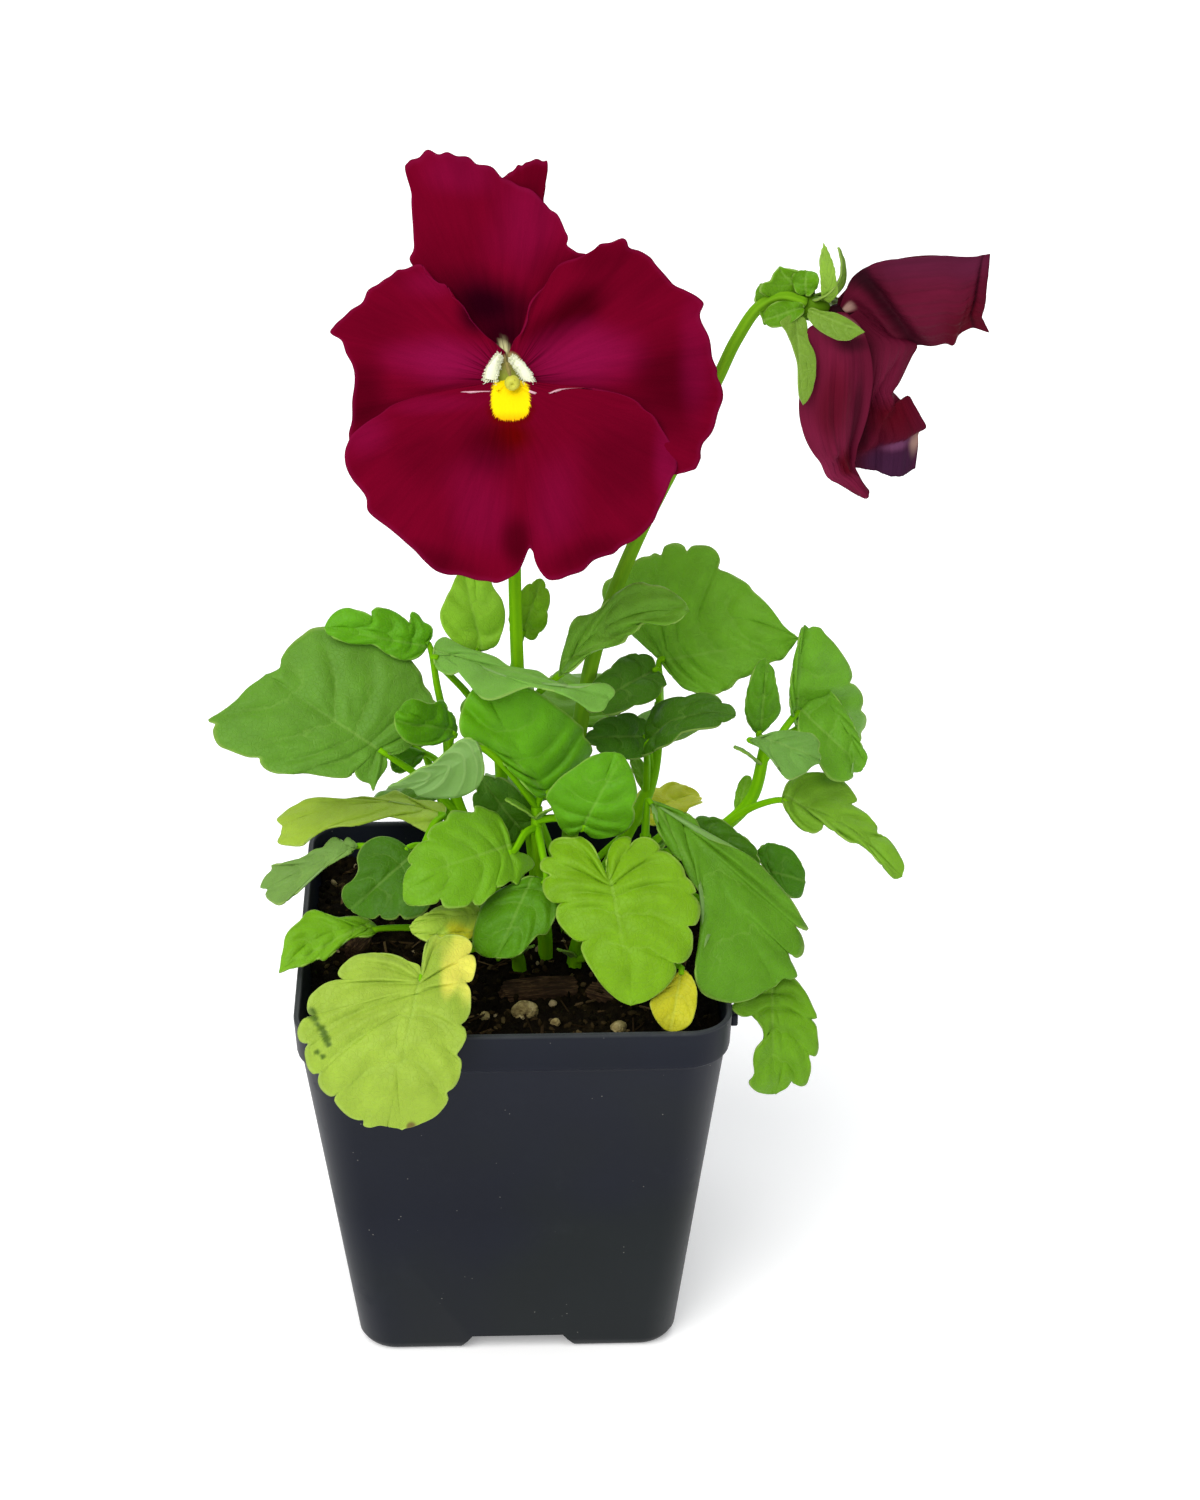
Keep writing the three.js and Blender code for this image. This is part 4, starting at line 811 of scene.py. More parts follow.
# the stems with their leaves
leafyStems = [
    {
        "name": "stem_left_high", "foot": [-1, 3],
        "path": [[-2, 3.5, 88], [-7, 5, 102], [-12, 6, 117], [-13, 8, 129]],
        "leaves": [
            {
                "at": 0.75, "base": [-26.1, -1.9, 129.9], "tip": [-50.4, 7.8, 143.5],
                "up": [0.09, -0.72, 0.69], "halves": [18.5, 15.5], "teeth": 6, "bow": 0.03,
                "fold": 0.03,
            },
            {
                "at": 1, "base": [-15, 14, 146], "tip": [-38, 12.5, 152], "up": [0, -0.75, 0.6],
                "halves": [7, 5], "bow": 0.06, "sag": 0,
            },
            {
                "at": 0.95, "base": [-11, 3, 132.5], "tip": [-24, -5, 139], "up": [0.1, -0.8, 0.55],
                "halves": [6, 6], "teeth": 3,
            },
            {
                "at": 0.85, "base": [-16, 13, 122], "tip": [-26, 7, 122.5], "up": [0, -0.8, 0.6],
                "halves": [4, 4], "teeth": 2,
            },
        ],
        "stipules": [[0.85, 0.4]],
    },
    {
        "name": "stem_left_low", "foot": [-2.5, -3],
        "path": [[-3.5, -3.2, 86], [-9, -3, 96], [-15, -2, 103], [-18, 0, 107]],
        "leaves": [
            {
                "at": 1, "base": [-17, 5, 109.5], "tip": [-49, 6, 106], "up": [-0.1, -0.3, 0.95],
                "halves": [7, 7.5], "bow": 0.1, "fold": -0.1,
            },
            {
                "at": 0.8, "base": [-29.5, 0, 108], "tip": [-52.5, -6, 98], "up": [-0.25, -0.35, 0.9],
                "halves": [6, 6], "bow": 0.06,
            },
            {
                "at": 0.9, "base": [-20, -8, 109.5], "tip": [-33.5, -16.5, 101],
                "up": [-0.2, -0.7, 0.7], "halves": [8, 10], "teeth": 3,
            },
        ],
        "stipules": [[0.55, 3.6], [0.8, 1.9]],
    },
    {
        "name": "stem_front_left", "foot": [1.5, -8],
        "path": [[1, -10, 85], [-2, -15, 91], [-5, -19, 96]],
        "leaves": [
            {
                "at": 0.75, "base": [-31, -12, 94.5], "tip": [-47.5, -22, 90.5],
                "up": [-0.1, -0.5, 0.85], "halves": [6.5, 4.5], "teeth": 0, "bow": 0.05, "sag": 2,
            },
            {
                "at": 0.8, "base": [-18.5, -39, 99.5], "tip": [-25.5, -57.5, 74],
                "up": [-0.1, -0.85, 0.45], "halves": [20, 12], "teeth": 6, "bow": 0.14, "fold": -0.1,
                "thick": 1.1, "sag": 2.5,
            },
            {
                "at": 1, "base": [-7, -23, 99], "tip": [-21, -27, 101], "up": [0, -0.5, 0.85],
                "halves": [4.5, 4.5], "teeth": 3,
            },
        ],
        "stipules": [[0.6, 5.2]],
    },
    {
        "name": "stem_centre", "foot": [7, -4],
        "path": [[7, -4.2, 86], [6, -5, 102], [5.5, -7, 114], [5.5, -6, 119]],
        "leaves": [
            {
                "at": 1, "base": [8, -8, 122.5], "tip": [-9, -10.5, 144], "up": [0.25, -0.75, 0.6],
                "halves": [16.5, 7], "teeth": 5, "bow": 0.08, "fold": 0.2,
            },
            {
                "at": 0.9, "base": [14, -14, 117], "tip": [23, -12, 134], "up": [0.2, -0.85, 0.5],
                "halves": [9, 9], "teeth": 5, "bow": 0.1, "fold": -0.1,
            },
            {
                "at": 0.85, "base": [0, -14, 114.5], "tip": [-22, -26, 113.5], "up": [-0.1, -0.7, 0.7],
                "halves": [10.5, 10], "teeth": 5, "bow": 0.12, "fold": -0.1,
            },
            {
                "at": 0.85, "base": [4.5, -19, 110], "tip": [-4, -31, 96], "up": [-0.3, -0.75, 0.5],
                "halves": [7.5, 7.5], "bow": 0.12, "fold": -0.15,
            },
            {
                "at": 0.8, "base": [3, -3, 111], "tip": [-6, -2, 124], "up": [-0.3, -0.8, 0.5],
                "halves": [6, 6], "teeth": 3,
            },
            {
                "at": 1, "base": [-4, -13.5, 124], "tip": [-24, -15, 121], "up": [-0.1, 0.95, 0.15],
                "halves": [4.5, 7], "teeth": 0, "bow": 0.12, "fold": -0.2,
            },
        ],
        "stipules": [[0.6, 4.4], [0.9, 3.4], [0.9, 5.4]],
    },
    {
        "name": "stem_front", "foot": [13, -7], "path": [[13.5, -8, 85], [16, -13, 97], [18, -17, 107]],
        "leaves": [
            {
                "at": 1, "base": [19.8, -25, 115], "tip": [24.5, -41, 92.5], "up": [0, -0.75, 0.65],
                "halves": [15, 16], "teeth": 6, "bow": 0.08, "fold": -0.08,
            },
            {
                "at": 0.5, "base": [34.5, -34.5, 96.5], "tip": [32, -42, 87], "up": [0, -0.8, 0.6],
                "halves": [4.5, 4.5], "teeth": 0, "bow": 0.04, "sag": 3,
            },
        ],
        "stipules": [[0.5, 4.2], [0.8, 0.6]],
    },
    {
        "name": "stem_right_front", "foot": [18, -2],
        "path": [[19, -2.5, 85], [24, -5, 97], [28, -7, 107], [28, -10, 114]],
        "leaves": [
            {
                "at": 1, "base": [29.5, -9, 122], "tip": [51.5, -35, 90.5], "up": [0.2, -0.7, 0.6],
                "halves": [9, 14], "teeth": 6, "bow": 0.08, "fold": -0.1,
            },
            {
                "at": 0.75, "base": [53.5, -27, 91], "tip": [54, -34, 65.5], "up": [0.3, -0.9, 0.3],
                "halves": [7.5, 8], "teeth": 5, "bow": 0.08, "sag": 6,
            },
            {
                "at": 0.85, "base": [50.5, 2, 99.5], "tip": [62.5, 1, 96], "up": [0.2, -0.8, 0.6],
                "halves": [5, 5.5], "teeth": 3,
            },
            {
                "at": 0.9, "base": [38, -3, 112], "tip": [52, -8, 105], "up": [0, -0.7, 0.7],
                "halves": [4, 4], "teeth": 3,
            },
        ],
        "stipules": [[0.6, 5.0], [0.8, 0.2]],
    },
    {
        "name": "stem_right", "foot": [19.5, 4.5],
        "path": [[21, 5, 86], [32, 5.5, 98], [43, 4, 106], [51, 5, 114], [54, 8, 125]],
        "leaves": [
            {
                "at": 0.75, "base": [57.5, 0, 118], "tip": [82, -8.5, 102.2], "up": [0.3, -0.6, 0.75],
                "halves": [5, 7.5], "teeth": 5, "bow": 0.08, "fold": -0.1,
            },
            {
                "at": 0.95, "base": [62, 10, 132], "tip": [74, 3.5, 122], "up": [0.4, -0.7, 0.5],
                "halves": [8, 5],
            },
            {
                "at": 1, "base": [60.5, 14, 125], "tip": [62, 12, 151.5], "up": [0.5, -0.8, 0.1],
                "halves": [14.5, 2.5], "fold": 0.2, "sag": 0,
            },
            {
                "at": 1, "base": [48, -1, 134], "tip": [65, -9, 130.5], "up": [0, -0.6, 0.8],
                "halves": [6.5, 4], "sag": 0,
            },
            {
                "at": 1, "base": [53, 9, 128], "tip": [54, 8.5, 145], "up": [0, -1, 0.2],
                "halves": [4, 4], "teeth": 3, "sag": 0,
            },
        ],
        "stipules": [[0.6, 5.0], [0.8, 1.2], [0.95, 3.6]],
    },
    {
        "name": "stem_right_back", "foot": [16.5, 11],
        "path": [[17.5, 12, 86], [25, 12.5, 102], [30, 13, 114], [32, 15, 132]],
        "leaves": [
            {
                "at": 1, "base": [32.5, 18, 140.5], "tip": [60.5, 15, 147], "up": [0, -0.85, 0.5],
                "halves": [10, 22.5], "teeth": 6, "bow": 0.06, "fold": -0.05, "sag": 0,
            },
            {
                "at": 0.8, "base": [29, 6, 127], "tip": [47, 0, 137], "up": [-0.2, -0.4, 0.9],
                "halves": [6, 6], "teeth": 3, "bow": 0.2,
            },
            {
                "at": 0.85, "base": [29, 11, 126], "tip": [16, 5, 129], "up": [0, -0.8, 0.6],
                "halves": [5, 5], "teeth": 3,
            },
            {
                "at": 1, "base": [31, 11, 142], "tip": [16, 0, 138.5], "up": [0, -0.8, 0.6],
                "halves": [5.5, 5.5], "teeth": 3, "sag": 0,
            },
        ],
        "stipules": [[0.55, 5.2], [0.8, 2.0]],
    },
    {
        "name": "stem_back_centre", "foot": [3, 10],
        "path": [[2, 10.5, 88], [-1, 10.5, 108], [-2, 9.5, 125], [-1, 9, 137]],
        "leaves": [
            {
                "at": 1, "base": [-5, 10, 146], "tip": [-9, 12, 164], "up": [0, -1, 0.2],
                "halves": [8, 8], "teeth": 3, "bow": 0.05, "sag": 0,
            },
            {
                "at": 0.9, "base": [3, 18, 147], "tip": [7, 20, 159], "up": [0, -1, 0.3],
                "halves": [4, 4], "teeth": 3,
            },
            {
                "at": 0.85, "base": [-13, 0, 152], "tip": [21, -13, 148], "up": [0, -0.5, 0.85],
                "halves": [5.5, 4], "bow": 0.06, "fold": 0.1,
            },
            {
                "at": 0.95, "base": [8, 4, 146], "tip": [36.5, -4, 165], "up": [0.1, -0.6, 0.75],
                "halves": [5, 8], "teeth": 3, "bow": 0.1, "fold": 0.3, "sag": -1,
            },
        ],
        "stipules": [[0.6, 3.0]],
    },
    {
        "name": "stem_back_left", "foot": [-3, 11],
        "path": [[-5, 13, 86], [-12, 18, 100], [-17, 22, 113]],
        "leaves": [
            {
                "at": 1, "base": [-20, 24, 117], "tip": [-31, 43, 119], "up": [-0.3, 0.3, 0.9],
                "halves": [10, 10], "teeth": 3,
            },
            {
                "at": 0.8, "base": [-18, 24, 103], "tip": [-34, 38, 94], "up": [-0.2, 0.2, 1],
                "halves": [8, 8], "teeth": 3,
            },
            {
                "at": 1, "base": [-4, 26, 119], "tip": [1, 44, 123], "up": [0.1, 0.5, 0.8],
                "halves": [8, 8], "teeth": 3,
            },
        ],
        "stipules": [[0.6, 1.2]],
    },
    {
        "name": "stem_back", "foot": [10, 14.5], "path": [[11, 17, 86], [14, 23, 100], [16, 27, 112]],
        "leaves": [
            {
                "at": 1, "base": [15, 31, 118], "tip": [17, 54, 119], "up": [0, 0.3, 0.9],
                "halves": [10, 10],
            },
            {
                "at": 0.9, "base": [28, 27, 116], "tip": [46, 38, 115.5], "up": [0.2, 0.1, 1],
                "halves": [7, 7], "teeth": 3,
            },
            {
                "at": 0.6, "base": [5, 32, 99], "tip": [0, 54, 92], "up": [0, 0.4, 0.9],
                "halves": [9, 9], "teeth": 3,
            },
            {
                "at": 0.5, "base": [29, 27, 97], "tip": [42, 37, 97.5], "up": [0.1, -0.1, 1],
                "halves": [6, 6], "teeth": 3,
            },
        ],
        "stipules": [[0.6, 1.8]],
    },
]
# the open petals: where each lies before or behind the throat, and how deep its cup is
openPetals = [
    {"name": "upper back", "kind": 1, "layer": -4.2, "cup": 2},
    {"name": "upper front", "kind": 2, "layer": -2.6, "cup": 2},
    {"name": "left", "kind": 3, "layer": -0.6, "cup": 3},
    {"name": "right", "kind": 4, "layer": -0.4, "cup": 3},
    {"name": "lower", "kind": 5, "layer": 1.6, "cup": 4},
]
# the limp petals: those at the back have no outline in the picture, so their edges are given here
limpPetals = [
    {"name": "upper"},
    {
        "name": "upper back",
        "near": [[66, 6, 226], [72, 10, 230.5], [79, 12, 232], [87, 13, 232], [92, 12, 231]],
        "far": [[66, 6, 224], [73, 12, 221], [80, 14, 218], [86, 14, 217.5], [90, 13, 218]],
        "pleats": 2, "fold": 1.2,
    },
    {"name": "hanging"},
    {
        "name": "hanging back",
        "near": [[64, 6, 223], [61.5, 9, 214], [61, 10, 205], [63, 10, 198], [67, 9, 193]],
        "far": [[66, 6, 223], [76, 10, 213], [77, 11, 205], [75, 10, 197], [73, 9, 192]],
        "pleats": 2, "fold": 1.4,
    },
    {"name": "lower"},
]


# outlines of the leaves and sepals that face the camera, as points of the 1200 x 1500 picture: the
# midrib from base to tip, then the margin on the left and on the right hand of that way
leafOutlines = {
    "stem_left_high 0": {
        "rib": [
            (384, 753), (372, 748), (360, 742), (345, 730), (328, 717), (300, 697), (278, 681),
            (266, 675),
        ],
        "left": [
            (387, 766), (378, 780), (373, 791), (370, 784), (361, 781), (356, 776), (354, 771),
            (349, 777), (338, 778), (320, 776), (303, 773), (290, 774), (275, 773), (265, 769),
            (260, 763), (259, 758), (248, 757), (238, 754), (228, 750), (219, 746), (214, 738),
            (213, 730), (215, 724), (208, 721), (216, 715), (226, 708), (236, 701), (246, 690),
            (256, 682),
        ],
        "right": [
            (398, 754), (412, 745), (424, 730), (432, 716), (434, 704), (431, 694), (424, 685),
            (421, 674), (414, 664), (402, 650), (385, 640), (360, 631), (340, 627), (322, 627),
            (311, 629), (303, 635), (294, 642), (286, 651), (281, 660), (280, 668), (272, 673),
        ],
    },
    "stem_left_high 1": {
        "rib": [(428, 643), (400, 637), (370, 630), (345, 627), (324, 628)],
        "left": [
            (424, 652), (414, 659), (402, 660), (391, 656), (383, 651), (374, 645), (360, 644),
            (348, 643), (336, 639), (328, 634),
        ],
        "right": [
            (433, 633), (430, 625), (423, 622), (418, 615), (412, 612), (410, 617), (410, 623),
            (403, 617), (394, 612), (384, 608), (375, 608), (372, 612), (374, 617), (366, 613),
            (357, 610), (348, 608), (338, 611), (330, 618),
        ],
    },
    "stem_left_high 2": {
        "rib": [(455, 735), (440, 728), (420, 718), (400, 709)],
        "left": [(445, 741), (432, 745), (416, 745), (404, 740), (397, 731), (394, 721), (396, 713)],
        "right": [
            (457, 728), (455, 719), (452, 713), (448, 711), (446, 704), (440, 700), (434, 703),
            (427, 703), (420, 700), (412, 699), (404, 703),
        ],
    },
    "stem_left_high 3": {
        "rib": [(424, 753), (408, 760), (391, 765)],
        "left": [(420, 762), (411, 769), (400, 773), (393, 771)],
        "right": [(415, 749), (405, 748), (396, 751), (391, 757)],
    },
    "stem_left_low 0": {
        "rib": [(444, 815), (425, 808), (400, 803), (360, 804), (325, 811), (300, 818), (283, 826)],
        "left": [
            (430, 832), (415, 826), (400, 819), (385, 816), (370, 820), (355, 826), (340, 826),
            (325, 829), (315, 834), (308, 840), (303, 845), (290, 846), (278, 843), (281, 834),
        ],
        "right": [
            (446, 806), (432, 801), (415, 800), (404, 795), (395, 791), (385, 795), (375, 798),
            (365, 797), (355, 797), (345, 799), (335, 799), (325, 798), (315, 798), (305, 800),
            (298, 804), (289, 809), (282, 815), (277, 820), (280, 824),
        ],
    },
    "stem_left_low 1": {
        "rib": [(357, 846), (345, 851), (325, 860), (305, 869), (285, 879), (266, 888)],
        "left": [
            (350, 854), (338, 860), (328, 866), (318, 872), (310, 878), (304, 885), (298, 892),
            (290, 898), (284, 903), (278, 905), (271, 902), (267, 898), (266, 894), (268, 890),
        ],
        "right": [
            (352, 840), (347, 838), (343, 843), (339, 839), (333, 838), (327, 843), (323, 848),
            (314, 850), (306, 855), (298, 859), (288, 862), (279, 864), (272, 865), (272, 870),
            (266, 876), (262, 883), (261, 888),
        ],
    },
    "stem_left_low 2": {
        "rib": [(408, 848), (396, 862), (380, 882), (365, 900), (353, 912)],
        "left": [
            (422, 862), (431, 880), (432, 900), (424, 914), (412, 919), (404, 919), (400, 915),
            (396, 919), (388, 920), (382, 918), (380, 915), (374, 919), (363, 917),
        ],
        "right": [
            (394, 839), (378, 837), (364, 844), (357, 857), (358, 870), (351, 882), (344, 887),
            (342, 896), (346, 905),
        ],
    },
    "stem_front_left 0": {
        "rib": [(378, 929), (360, 928), (340, 930), (318, 938), (300, 950), (279, 973)],
        "left": [
            (372, 936), (358, 937), (349, 939), (341, 945), (334, 952), (328, 958), (323, 961),
            (319, 959), (311, 963), (300, 967), (290, 969),
        ],
        "right": [
            (371, 921), (360, 917), (348, 917), (338, 918), (328, 915), (320, 912), (312, 910),
            (306, 913), (302, 918), (297, 923), (290, 929), (286, 936), (284, 944), (282, 954),
            (281, 964),
        ],
    },
    "stem_front_left 1": {
        "rib": [
            (421, 977), (417, 988), (408, 1001), (400, 1018), (397, 1045), (397, 1075), (399, 1105),
            (402, 1129),
        ],
        "left": [
            (423, 964), (424, 953), (427, 942), (432, 937), (437, 935), (440, 938), (447, 935),
            (458, 935), (467, 938), (472, 945), (471, 951), (467, 955), (473, 956), (476, 963),
            (475, 972), (472, 980), (466, 983), (470, 989), (471, 1001), (470, 1012), (466, 1020),
            (461, 1025), (465, 1030), (466, 1038), (462, 1047), (457, 1055), (461, 1061), (461, 1070),
            (458, 1080), (453, 1088), (447, 1093), (448, 1100), (443, 1108), (435, 1116), (424, 1122),
            (412, 1127),
        ],
        "right": [
            (419, 966), (410, 962), (400, 957), (390, 954), (379, 953), (367, 954), (356, 956),
            (347, 961), (340, 968), (338, 974), (341, 978), (345, 980), (335, 981), (325, 984),
            (316, 990), (309, 998), (307, 1008), (309, 1014), (312, 1016), (304, 1019), (299, 1027),
            (298, 1035), (301, 1042), (308, 1044), (305, 1050), (306, 1060), (309, 1069), (314, 1074),
            (319, 1073), (318, 1080), (321, 1088), (327, 1094), (332, 1096), (337, 1094), (335, 1100),
            (341, 1109), (350, 1117), (358, 1120), (363, 1120), (364, 1125), (369, 1127), (380, 1125),
            (390, 1127),
        ],
    },
    "stem_front_left 2": {
        "rib": [(482, 914), (462, 915), (438, 919), (410, 927)],
        "left": [(480, 927), (471, 938), (453, 942), (436, 943), (426, 941), (417, 937), (412, 932)],
        "right": [(475, 904), (462, 903), (450, 905), (438, 907), (430, 912), (420, 917), (413, 922)],
    },
    "stem_centre 0": {
        "rib": [(548, 795), (540, 781), (526, 759), (512, 740), (496, 713), (482, 683)],
        "left": [
            (540, 797), (533, 794), (524, 785), (512, 772), (500, 761), (488, 749), (475, 741),
            (463, 737), (459, 726), (461, 712), (466, 700), (472, 690),
        ],
        "right": [
            (556, 783), (565, 772), (577, 762), (588, 757), (592, 750), (589, 742), (584, 736),
            (583, 728), (576, 722), (570, 716), (562, 710), (553, 703), (545, 697), (530, 688),
            (510, 682), (495, 680),
        ],
    },
    "stem_centre 1": {
        "rib": [(583, 829), (589, 813), (598, 793), (607, 773), (615, 752)],
        "left": [
            (572, 835), (562, 829), (556, 818), (551, 806), (546, 797), (553, 785), (562, 776),
            (575, 767), (588, 758), (601, 753),
        ],
        "right": [
            (592, 837), (605, 838), (620, 834), (630, 827), (635, 815), (633, 806), (637, 797),
            (636, 785), (633, 774), (628, 763), (622, 755),
        ],
    },
    "stem_centre 2": {
        "rib": [(513, 852), (500, 854), (480, 858), (455, 867), (430, 878), (403, 892)],
        "left": [
            (528, 856), (534, 866), (526, 873), (521, 878), (517, 885), (511, 881), (503, 886),
            (496, 888), (494, 893), (488, 898), (481, 905), (475, 905), (472, 901), (467, 906),
            (455, 908), (444, 907), (440, 899), (436, 903), (428, 905), (418, 906), (409, 905),
            (404, 900),
        ],
        "right": [
            (510, 842), (507, 830), (502, 820), (496, 813), (488, 810), (482, 807), (475, 806),
            (474, 812), (465, 812), (452, 811), (448, 815), (446, 820), (438, 823), (430, 829),
            (427, 836), (428, 840), (420, 843), (413, 850), (408, 858), (409, 863), (412, 864),
            (407, 871), (404, 880),
        ],
    },
    "stem_centre 3": {
        "rib": [(546, 880), (532, 903), (515, 930), (497, 958)],
        "left": [
            (556, 894), (558, 908), (553, 922), (546, 934), (538, 935), (533, 940), (526, 948),
            (519, 955), (508, 958),
        ],
        "right": [
            (530, 876), (512, 884), (495, 893), (484, 902), (478, 915), (474, 930), (473, 943),
            (476, 951), (484, 956),
        ],
    },
    "stem_centre 5": {
        "rib": [(480, 748), (460, 762), (430, 778), (388, 787)],
        "left": [
            (484, 766), (482, 780), (473, 791), (457, 797), (440, 798), (425, 797), (416, 794),
            (413, 789), (402, 788),
        ],
        "right": [
            (474, 740), (465, 738), (457, 742), (450, 748), (444, 753), (437, 760), (430, 765),
            (420, 768), (410, 775), (398, 782),
        ],
    },
    "stem_front 0": {
        "rib": [(608, 880), (613, 891), (620, 907), (626, 928), (630, 952), (631, 978), (631, 1005)],
        "left": [
            (606, 865), (608, 853), (612, 844), (620, 838), (628, 837), (631, 840), (630, 846),
            (635, 840), (642, 837), (650, 838), (657, 843), (660, 848), (658, 851), (666, 852),
            (674, 857), (680, 863), (684, 870), (686, 877), (691, 881), (695, 888), (696, 892),
            (692, 894), (697, 900), (700, 908), (699, 918), (695, 925), (688, 926), (692, 932),
            (693, 941), (692, 950), (688, 958), (682, 963), (676, 963), (674, 962), (676, 970),
            (673, 978), (665, 988), (655, 996), (644, 1002),
        ],
        "right": [
            (599, 868), (596, 853), (589, 842), (580, 837), (575, 838), (566, 837), (558, 838),
            (551, 843), (549, 850), (552, 857), (545, 858), (540, 864), (541, 870), (550, 875),
            (544, 880), (543, 889), (546, 897), (552, 902), (561, 903), (557, 908), (556, 916),
            (559, 924), (565, 931), (572, 938), (578, 941), (583, 941), (581, 948), (584, 957),
            (591, 969), (600, 982), (610, 993), (620, 1001),
        ],
    },
    "stem_front 1": {
        "rib": [(682, 969), (679, 998), (673, 1032)],
        "left": [(690, 975), (696, 986), (697, 999), (695, 1012), (691, 1023), (684, 1029)],
        "right": [
            (676, 975), (668, 985), (658, 994), (650, 1002), (652, 1012), (657, 1021), (664, 1029),
        ],
    },
    "stem_right_front 0": {
        "rib": [
            (648, 800), (668, 812), (688, 830), (712, 868), (732, 903), (752, 942), (766, 968),
            (776, 986),
        ],
        "left": [
            (662, 804), (676, 810), (688, 814), (696, 820), (701, 831), (706, 838), (715, 842),
            (728, 846), (744, 853), (760, 865), (774, 880), (787, 895), (797, 908), (803, 920),
            (808, 930), (802, 929), (796, 926), (801, 935), (804, 946), (802, 955), (797, 958),
            (791, 954), (788, 950), (790, 960), (794, 968), (797, 976), (791, 979), (784, 978),
        ],
        "right": [
            (654, 810), (660, 816), (657, 826), (662, 838), (671, 851), (680, 860), (690, 866),
            (687, 871), (692, 882), (700, 893), (707, 903), (712, 915), (712, 928), (707, 942),
            (702, 953), (697, 960), (695, 972), (697, 985), (703, 994), (716, 1000), (734, 1003),
            (751, 999), (764, 991),
        ],
    },
    "stem_right_front 1": {
        "rib": [(774, 982), (776, 1008), (781, 1036), (782, 1066), (776, 1094)],
        "left": [
            (782, 978), (791, 977), (799, 983), (806, 993), (812, 1006), (817, 1018), (811, 1019),
            (816, 1026), (818, 1038), (818, 1049), (815, 1056), (809, 1055), (811, 1064), (810, 1075),
            (806, 1084), (800, 1086), (795, 1084), (792, 1080), (787, 1087),
        ],
        "right": [
            (764, 986), (752, 993), (740, 1000), (731, 1007), (737, 1014), (745, 1017), (751, 1015),
            (756, 1020), (762, 1028), (764, 1038), (760, 1044), (755, 1050), (753, 1060), (754, 1074),
            (749, 1082), (753, 1089), (763, 1093),
        ],
    },
    "stem_right_front 2": {
        "rib": [(757, 853), (780, 866), (805, 882)],
        "left": [(762, 846), (770, 843), (780, 845), (791, 850), (799, 859), (804, 870)],
        "right": [(764, 868), (774, 881), (783, 890), (792, 898), (800, 897)],
    },
    "stem_right 0": {
        "rib": [(782, 800), (800, 805), (830, 817), (860, 836), (885, 860), (902, 877)],
        "left": [
            (785, 788), (791, 779), (803, 774), (820, 772), (832, 775), (845, 783), (853, 792),
            (857, 801), (851, 804), (860, 810), (870, 817), (877, 827), (877, 833), (884, 836),
            (892, 844), (899, 855), (904, 866),
        ],
        "right": [
            (787, 812), (796, 824), (805, 831), (815, 833), (822, 829), (824, 824), (828, 827),
            (838, 834), (850, 842), (859, 844), (868, 850), (877, 860), (887, 871), (894, 879),
        ],
    },
    "stem_right 1": {
        "rib": [(819, 690), (832, 708), (846, 730), (857, 748), (866, 764)],
        "left": [(830, 691), (844, 708), (855, 728), (862, 746), (867, 757)],
        "right": [
            (808, 698), (800, 712), (798, 730), (806, 745), (816, 758), (823, 770), (830, 779),
            (840, 782), (849, 780), (853, 776), (851, 773), (860, 772),
        ],
    },
    "stem_right 2": {
        "rib": [(797, 728), (795, 700), (798, 665), (805, 625)],
        "left": [(791, 712), (790, 688), (794, 660), (799, 638), (802, 628)],
        "right": [
            (806, 742), (820, 752), (838, 751), (857, 744), (861, 739), (861, 732), (865, 726),
            (866, 716), (861, 710), (863, 702), (861, 692), (855, 685), (850, 683), (852, 676),
            (849, 665), (843, 655), (834, 643), (825, 634), (820, 628), (813, 627), (809, 629),
        ],
    },
    "stem_right 3": {
        "rib": [(750, 740), (768, 745), (793, 753), (819, 763)],
        "left": [
            (762, 736), (775, 732), (790, 731), (803, 732), (814, 735), (820, 743), (819, 751),
            (821, 757),
        ],
        "right": [
            (763, 750), (772, 759), (779, 768), (784, 777), (790, 780), (798, 777), (807, 772),
            (811, 767),
        ],
    },
    "stem_right 4": {
        "rib": [(759, 735), (761, 710), (764, 685), (765, 658)],
        "left": [(750, 726), (745, 710), (747, 692), (751, 677), (757, 664)],
        "right": [(771, 724), (780, 711), (779, 696), (776, 682), (773, 669)],
    },
    "stem_right_back 0": {
        "rib": [
            (660, 660), (668, 648), (680, 638), (696, 627), (714, 620), (740, 618), (770, 626),
            (799, 638),
        ],
        "left": [
            (645, 645), (622, 625), (606, 605), (602, 592), (605, 582), (612, 578), (622, 572),
            (632, 563), (642, 557), (650, 556), (655, 553), (661, 555), (664, 547), (670, 544),
            (677, 543), (684, 546), (687, 551), (692, 546), (700, 545), (709, 546), (716, 551),
            (720, 559), (718, 568), (727, 572), (738, 578), (748, 584), (753, 591), (762, 599),
            (770, 607), (777, 617), (784, 627), (792, 633),
        ],
        "right": [
            (668, 671), (676, 680), (684, 688), (693, 692), (703, 694), (714, 695), (724, 691),
            (731, 688), (738, 680), (748, 676), (760, 669), (772, 662), (783, 659), (790, 650),
            (795, 643),
        ],
    },
    "stem_back_centre 0": {
        "rib": [(477, 652), (477, 620), (476, 590), (474, 560)],
        "left": [(455, 642), (443, 628), (440, 613), (445, 600), (451, 588), (457, 575)],
        "right": [(495, 646), (503, 630), (505, 612), (502, 600), (495, 590), (486, 572)],
    },
    "stem_back_centre 2": {
        "rib": [
            (433, 657), (448, 655), (466, 659), (490, 671), (520, 680), (555, 686), (585, 692),
            (608, 701),
        ],
        "left": [
            (436, 643), (445, 637), (456, 643), (466, 648), (475, 651), (486, 654), (497, 658),
            (506, 664), (514, 669), (527, 670), (540, 672), (550, 679), (560, 684), (570, 688),
